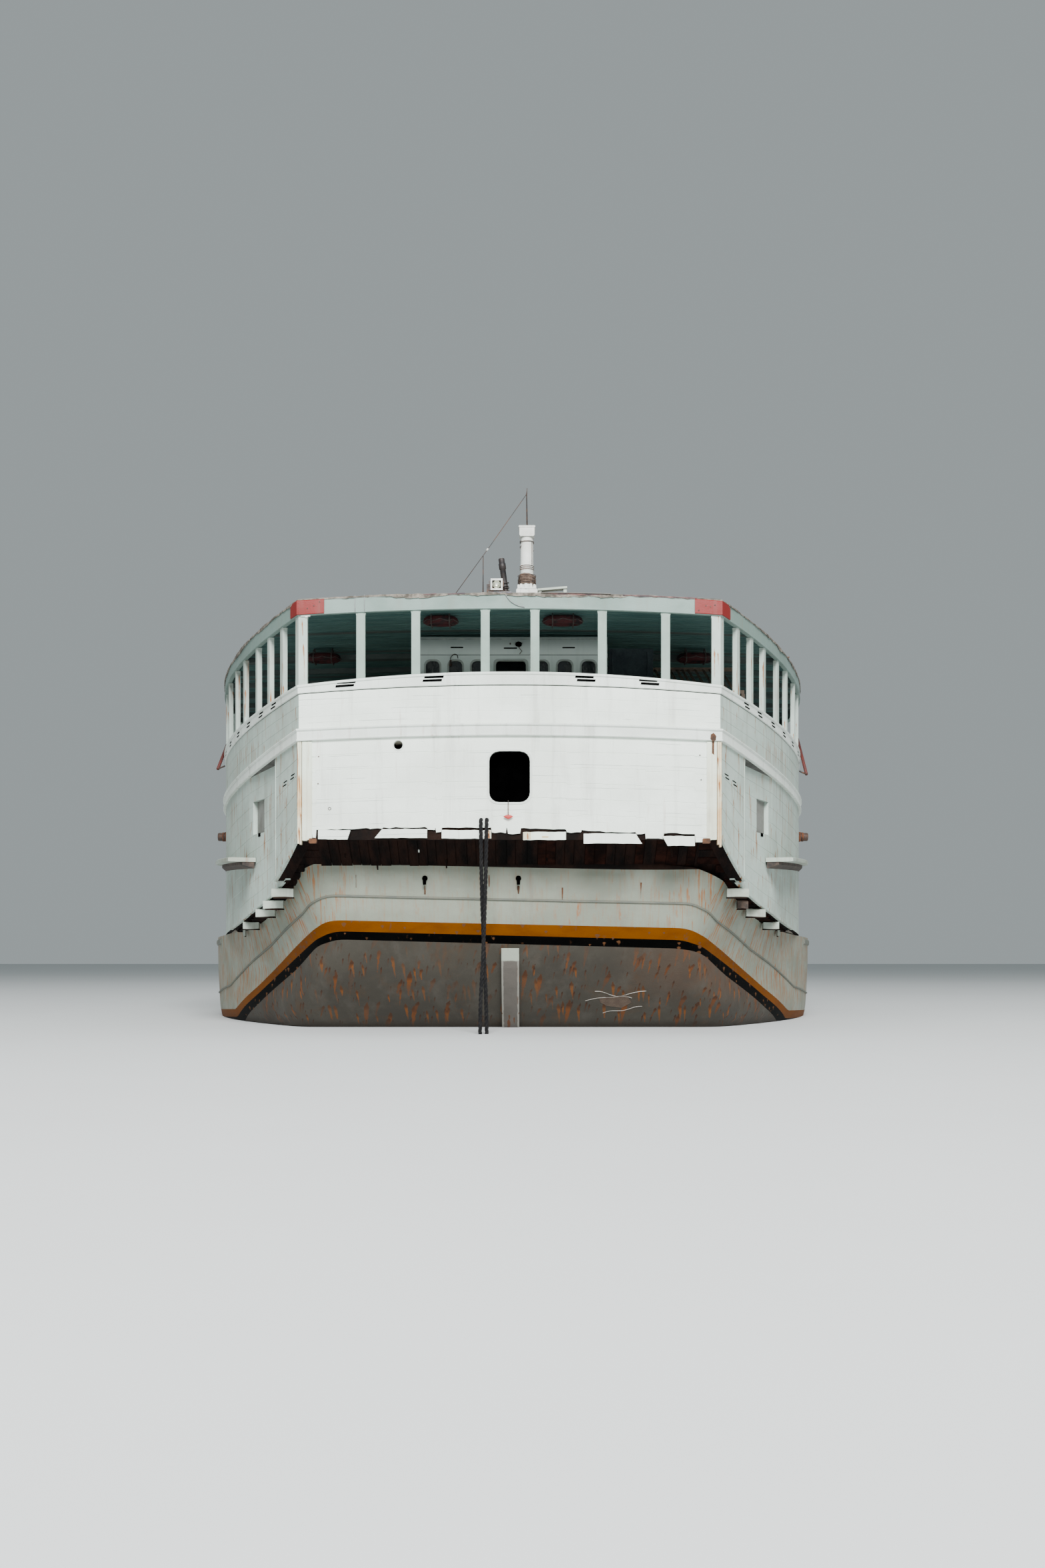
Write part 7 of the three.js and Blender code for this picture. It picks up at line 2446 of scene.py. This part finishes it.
def make_hatch_gear():
    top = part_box("fore_hatch_lid")[1][2]
    build = Build()
    for k in range(9):
        x = -0.92 + 0.206 * k
        build.block((x, 31.965, top), (x + 0.196, 33.735, top + 0.022), 0, 0.004)
    for u in (32.2, 32.85, 33.5):
        build.block((-0.93, u - 0.03, top + 0.022), (0.93, u + 0.03, top + 0.040), 1, 0.004)
    for x in (-0.45, 0.45):
        handle = [(x, 32.05, 0.02), (x, 32.04, 0.09), (x + 0.16, 32.04, 0.09), (x + 0.16, 32.05, 0.02)]
        build.tube(curve_through([(hx, STERN_Y + u, top + z) for hx, u, z in handle], 5), 0.011, 8, 1)
    build.make("fore_hatch_lid_boards", [DECK, STEEL], slot="white_paint", body="fore_hatch_lid")
    sides = Build()
    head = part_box("fore_hatch")[1][2]
    for side in (-1, 1):
        inner, outer = side * 0.898, side * 0.925
        sides.block((inner, 31.99, head - 0.16), (outer, 33.70, head - 0.10), bevel=0.006)
        for u in spaced(32.15, 33.55, 0.35):
            sides.block((inner, u - 0.025, head - 0.32), (outer, u + 0.025, head - 0.16), bevel=0.004)
    sides.block((-0.89, 31.975, head - 0.16), (0.89, 32.002, head - 0.10), bevel=0.006)
    sides.make("fore_hatch_battens", WHITE, slot="white_paint")


def make_windlass_gear():
    floor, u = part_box("windlass")[0][2], 35.0
    axis_z = floor + 0.52
    build = Build()

    def around(x, r, angle):
        return (x, STERN_Y + u + r * math.cos(angle), axis_z + r * math.sin(angle))

    def drum(x0, x1, profile, index=0):
        build.rings([[around(x0 + (x1 - x0) * t, r, angle) for angle in turns(24)] for t, r in profile],
                    index)

    for side in (-1, 1):
        drum(side * 0.665, side * 0.95,
             ((0.0, 0.20), (0.1, 0.20), (0.18, 0.165), (0.6, 0.150), (0.9, 0.175), (1.0, 0.195)))
        drum(side * 0.30, side * 0.42,
             ((0.0, 0.24), (0.12, 0.25), (0.30, 0.19), (0.70, 0.19), (0.88, 0.25), (1.0, 0.24)), 1)
        for angle in turns(8):
            build.tube([around(side * x, 0.20, angle) for x in (0.325, 0.395)], 0.028, 8, 1)
    drum(-0.10, -0.02, ((0.0, 0.27), (0.1, 0.285), (0.9, 0.285), (1.0, 0.27)))
    for angle in turns(28):
        build.tube([around(x, 0.288, angle) for x in (-0.095, -0.025)], 0.014, 6)
    build.block((0.10, u - 0.22, floor + 0.12), (0.42, u + 0.20, floor + 0.30), 0, 0.02)
    y, grip = STERN_Y + u, floor + 0.72
    build.tube([(0.48, y - 0.25, floor + 0.12), (0.50, y - 0.42, grip)], 0.015, 8)
    build.tube([(0.50, y - 0.42, grip), (0.50, y - 0.425, grip + 0.04)], 0.028, 10)
    gear = build.make("windlass_drums", [STEEL, RUSTY], slot="steel")
    crease(gear, 35)


def chain_links(build, points, size=0.055, wire=0.012):
    """Oval links along a line, each turned a quarter from the last."""
    placed, _ = evenly([Vector(p) for p in points], size * 1.45)
    for i, (a, b) in enumerate(zip(placed, placed[1:])):
        way = (b - a).normalized()
        middle = (a + b) / 2
        side = way.orthogonal().normalized()
        if i % 2:
            side = way.cross(side)
        loop = [middle + way * size * math.cos(t) + side * size * 0.55 * math.sin(t)
                for t in turns(12, closed=True)]
        build.tube(loop, wire, 5)


def make_anchor_gear():
    build = Build()
    for side, name in PANEL_SIDES:
        low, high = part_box("anchor_" + name)
        x, y, top = (low[0] + high[0]) / 2, (low[1] + high[1]) / 2, high[2]
        chain_links(build, [(x + side * 0.02, y, top - 0.02), (x - side * 0.02, y + 0.02, top + 0.12),
                            (x - side * 0.16, y + 0.04, top + 0.20)])
        centre = Vector((x - side * 0.05, y + 0.03, top + 0.15))
        build.rings([[centre + Vector((side * away, r * math.cos(t), r * 0.8 * math.sin(t)))
                      for t in turns(18)]
                     for away, r in ((0.05, 0.12), (0.075, 0.14), (0.05, 0.16), (-0.05, 0.16))], 1)
    build.make("anchor_chains", [CHAIN, STEEL], slot="steel", flat=False)
    deck = Build()
    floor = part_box("windlass")[0][2]
    for side in (-1, 1):
        line = [(0.36, 35.05, 0.72), (0.40, 35.4, 0.55), (0.9, 35.7, 0.35), (1.7, 35.86, 0.48),
                (2.02, 35.9, 0.60)]
        chain_links(deck, curve_through([(side * x, STERN_Y + u, floor + z) for x, u, z in line], 6))
    deck.make("deck_chains", CHAIN, slot="steel", flat=False)


def bow_outer(u):
    return max(0.02, hull_top_half(u) - 0.03)


def make_bow_trim():
    """A cap rail on the bow bulwark, its stanchions, the rubbing strakes and a stem band."""
    build = Build()
    for side in (-1, 1):
        rings = []
        for u in spaced(31.0, 38.92, 0.28):
            outer, inner = bow_outer(u) + 0.025, max(-0.02, bow_outer(u) - 0.14)
            section = [(inner, -0.004), (outer, -0.004), (outer + 0.006, 0.02), (outer - 0.01, 0.045),
                       (inner, 0.045)]
            rings.append([(side * x, STERN_Y + u, hull_top(u) + 0.95 + z) for x, z in section])
        build.rings(rings)
        for u in spaced(31.4, 37.6, 0.78):
            x, z = bow_outer(u) - 0.10, hull_top(u)
            build.block((side * (x - 0.07), u - 0.04, z + 0.07), (side * x, u + 0.04, z + 0.945), 0, 0.008)
    build.make("bow_cap_rail", TRIM, slot="white_paint")
    rub = Build()
    section = [(-0.05, -0.06), (0.012, -0.055), (0.030, -0.03), (0.030, 0.03), (0.012, 0.055),
               (-0.05, 0.06)]
    for side in (-1, 1):
        rub.rings([[(side * (hull_top_half(u) + out), STERN_Y + u, hull_top(u) - 0.10 + z)
                    for out, z in section]
                   for u in spaced(7.2, 38.6, 0.45)])
    rub.make("hull_rubbing_strake", MOULDING, slot="hull_paint")
    stem = Build()
    stem_line = ((39.02, 3.5), (38.9, 2.6), (38.0, 1.4), (36.95, 0.1), (36.4, -0.6))
    stem.tube([(0.0, STERN_Y + u - 0.06, z) for u, z in stem_line], 0.05, 8)
    stem.make("stem_band", MOULDING, slot="hull_paint", flat=False)


def make_gates():
    """Rails across both boarding gates, and the frames round them."""
    sill = hull_top(GATE["u"][0]) + 0.12
    for side, name in PANEL_SIDES:
        build = Build()
        place = side_place(side, sum(GATE["u"]) / 2)
        frame_ring(build, place, rectangle(0.785, sill + 0.01, sill + GATE["height"] - 0.012),
                   rectangle(0.87, sill - 0.06, sill + GATE["height"] + 0.07), -0.085, 0.024)
        for k in range(3):
            z = sill + 0.28 + 0.36 * k
            build.tube([place.on_wall(a, -0.05, z) for a in (-0.79, 0.79)], 0.022, 10, 1)
        build.make("gate_rails_" + name, [TRIM, STEEL], slot="white_paint")


def make_front_wall_trim():
    """Battens, windows and a frame round the doorway of the house's fore wall."""
    build = Build()
    frame_ring(build, across_place(HOUSE_END_U, 0.0, ahead=True), rectangle(0.43, 2.0, 3.98),
               rectangle(0.52, 1.93, 4.07), -0.02, 0.03)
    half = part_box("front_wall")[1][0]
    for x in spaced(-half + 0.15, half - 0.15, 0.62):
        if abs(x) > 0.56:
            build.block((x - 0.012, HOUSE_END_U - 0.004, 1.98), (x + 0.012, HOUSE_END_U + 0.012, 4.34), 0,
                        0.003)
    for x in (-3.1, -1.75, 1.75, 3.1):
        window(build, across_place(HOUSE_END_U + 0.002, x, ahead=True), 0.30, 3.0, 3.6, 0.05, 0.06)
    build.make("front_wall_trim", [TRIM, GLASS], slot="white_paint")


def make_foredeck_boards():
    """Planks laid along the foredeck."""
    build = Build()
    for k, x in enumerate(spaced(-4.2, 4.2, 0.14), 1):
        start = end = HOUSE_END_U + 0.03
        while end < 38.0 and abs(x) + 0.08 < hull_top_half(end + 0.3) - 0.15:
            end += 0.3
        if end - start < 0.5:
            continue
        build.rings([[(px, STERN_Y + u, z) for px, z in
                      rectangle_between(x + 0.005, x + 0.135, hull_top(u) + 0.061, 0.008)]
                     for u in spaced(start, end, 0.6)], int(k % 3 == 0))
    build.make("foredeck_planks", [DECK, DECK_WORN], slot="deck_paint")


def make_roof_gear_forward():
    """Four mushroom vents on the roof, and the ladder up to the wheelhouse's roof."""
    build = Build()
    for x, u in ((-2.6, 8.0), (2.6, 8.0), (-2.8, 17.5), (2.8, 17.5)):
        z = roof_height(x, u)
        lathe(build, x, u, [(z - 0.01, 0.13), (z + 0.02, 0.13), (z + 0.03, 0.10), (z + 0.30, 0.10)], 0, 18)
        lathe(build, x, u, [(z + 0.28, 0.16), (z + 0.30, 0.19), (z + 0.36, 0.17), (z + 0.40, 0.10),
                            (z + 0.41, 0.03)], 0, 18)
    obj = build.make("roof_vents", TRIM, slot="white_paint")
    crease(obj, 40)
    ladder = Build()
    y = STERN_Y + WHEELHOUSE["u"][0] - 0.10
    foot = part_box("wheelhouse")[0][2]
    for x in (-0.22, 0.22):
        ladder.tube([(x, y, foot), (x, y, 7.28)], 0.018, 8)
    for z in spaced(foot + 0.28, 7.15, 0.28):
        ladder.tube([(-0.22, y, z), (0.22, y, z)], 0.013, 8)
    ladder.make("wheelhouse_ladder", STEEL, slot="steel", flat=False)


make_wheelhouse_trim()
make_doors()
make_funnel()
make_mast_gear()
make_hatch_gear()
make_windlass_gear()
make_anchor_gear()
make_bow_trim()
make_gates()
make_front_wall_trim()
make_foredeck_boards()
make_roof_gear_forward()


# Finishes of the solids that show as they are
NODE_FINISHES = {
    # The gallery floor takes the underside boards, near black with painted shade.
    "keel": BOTTOM, "rudder": BOTTOM, "gallery_floor": UNDERSIDE_SHADE, "main_deck": DECK,
    "foredeck": DECK, "upper_deck": DECK, "front_wall": WHITE, "wheelhouse": WHITE,
    "wheelhouse_roof": ROOFING,
    "foremast": TRIM, "fore_hatch": WHITE, "fore_hatch_lid": DECK, "windlass": STEEL,
    "bow_bulwark": HULL_WHITE,
}
for stem, material in (("propeller", BRONZE), ("shaft_tube", BOTTOM), ("engine", ENGINE_GREEN),
                       ("anchor", RUSTY),
                       ("wheelhouse_door", DOOR_PAINT)):
    for _, name in PANEL_SIDES:
        NODE_FINISHES[stem + "_" + name] = material


def finish_nodes():
    for node, material in NODE_FINISHES.items():
        obj = bpy.data.objects[node]
        if not obj.material_slots:
            obj.data.materials.append(material)
        for used in obj.material_slots:
            used.material = material


finish_nodes()
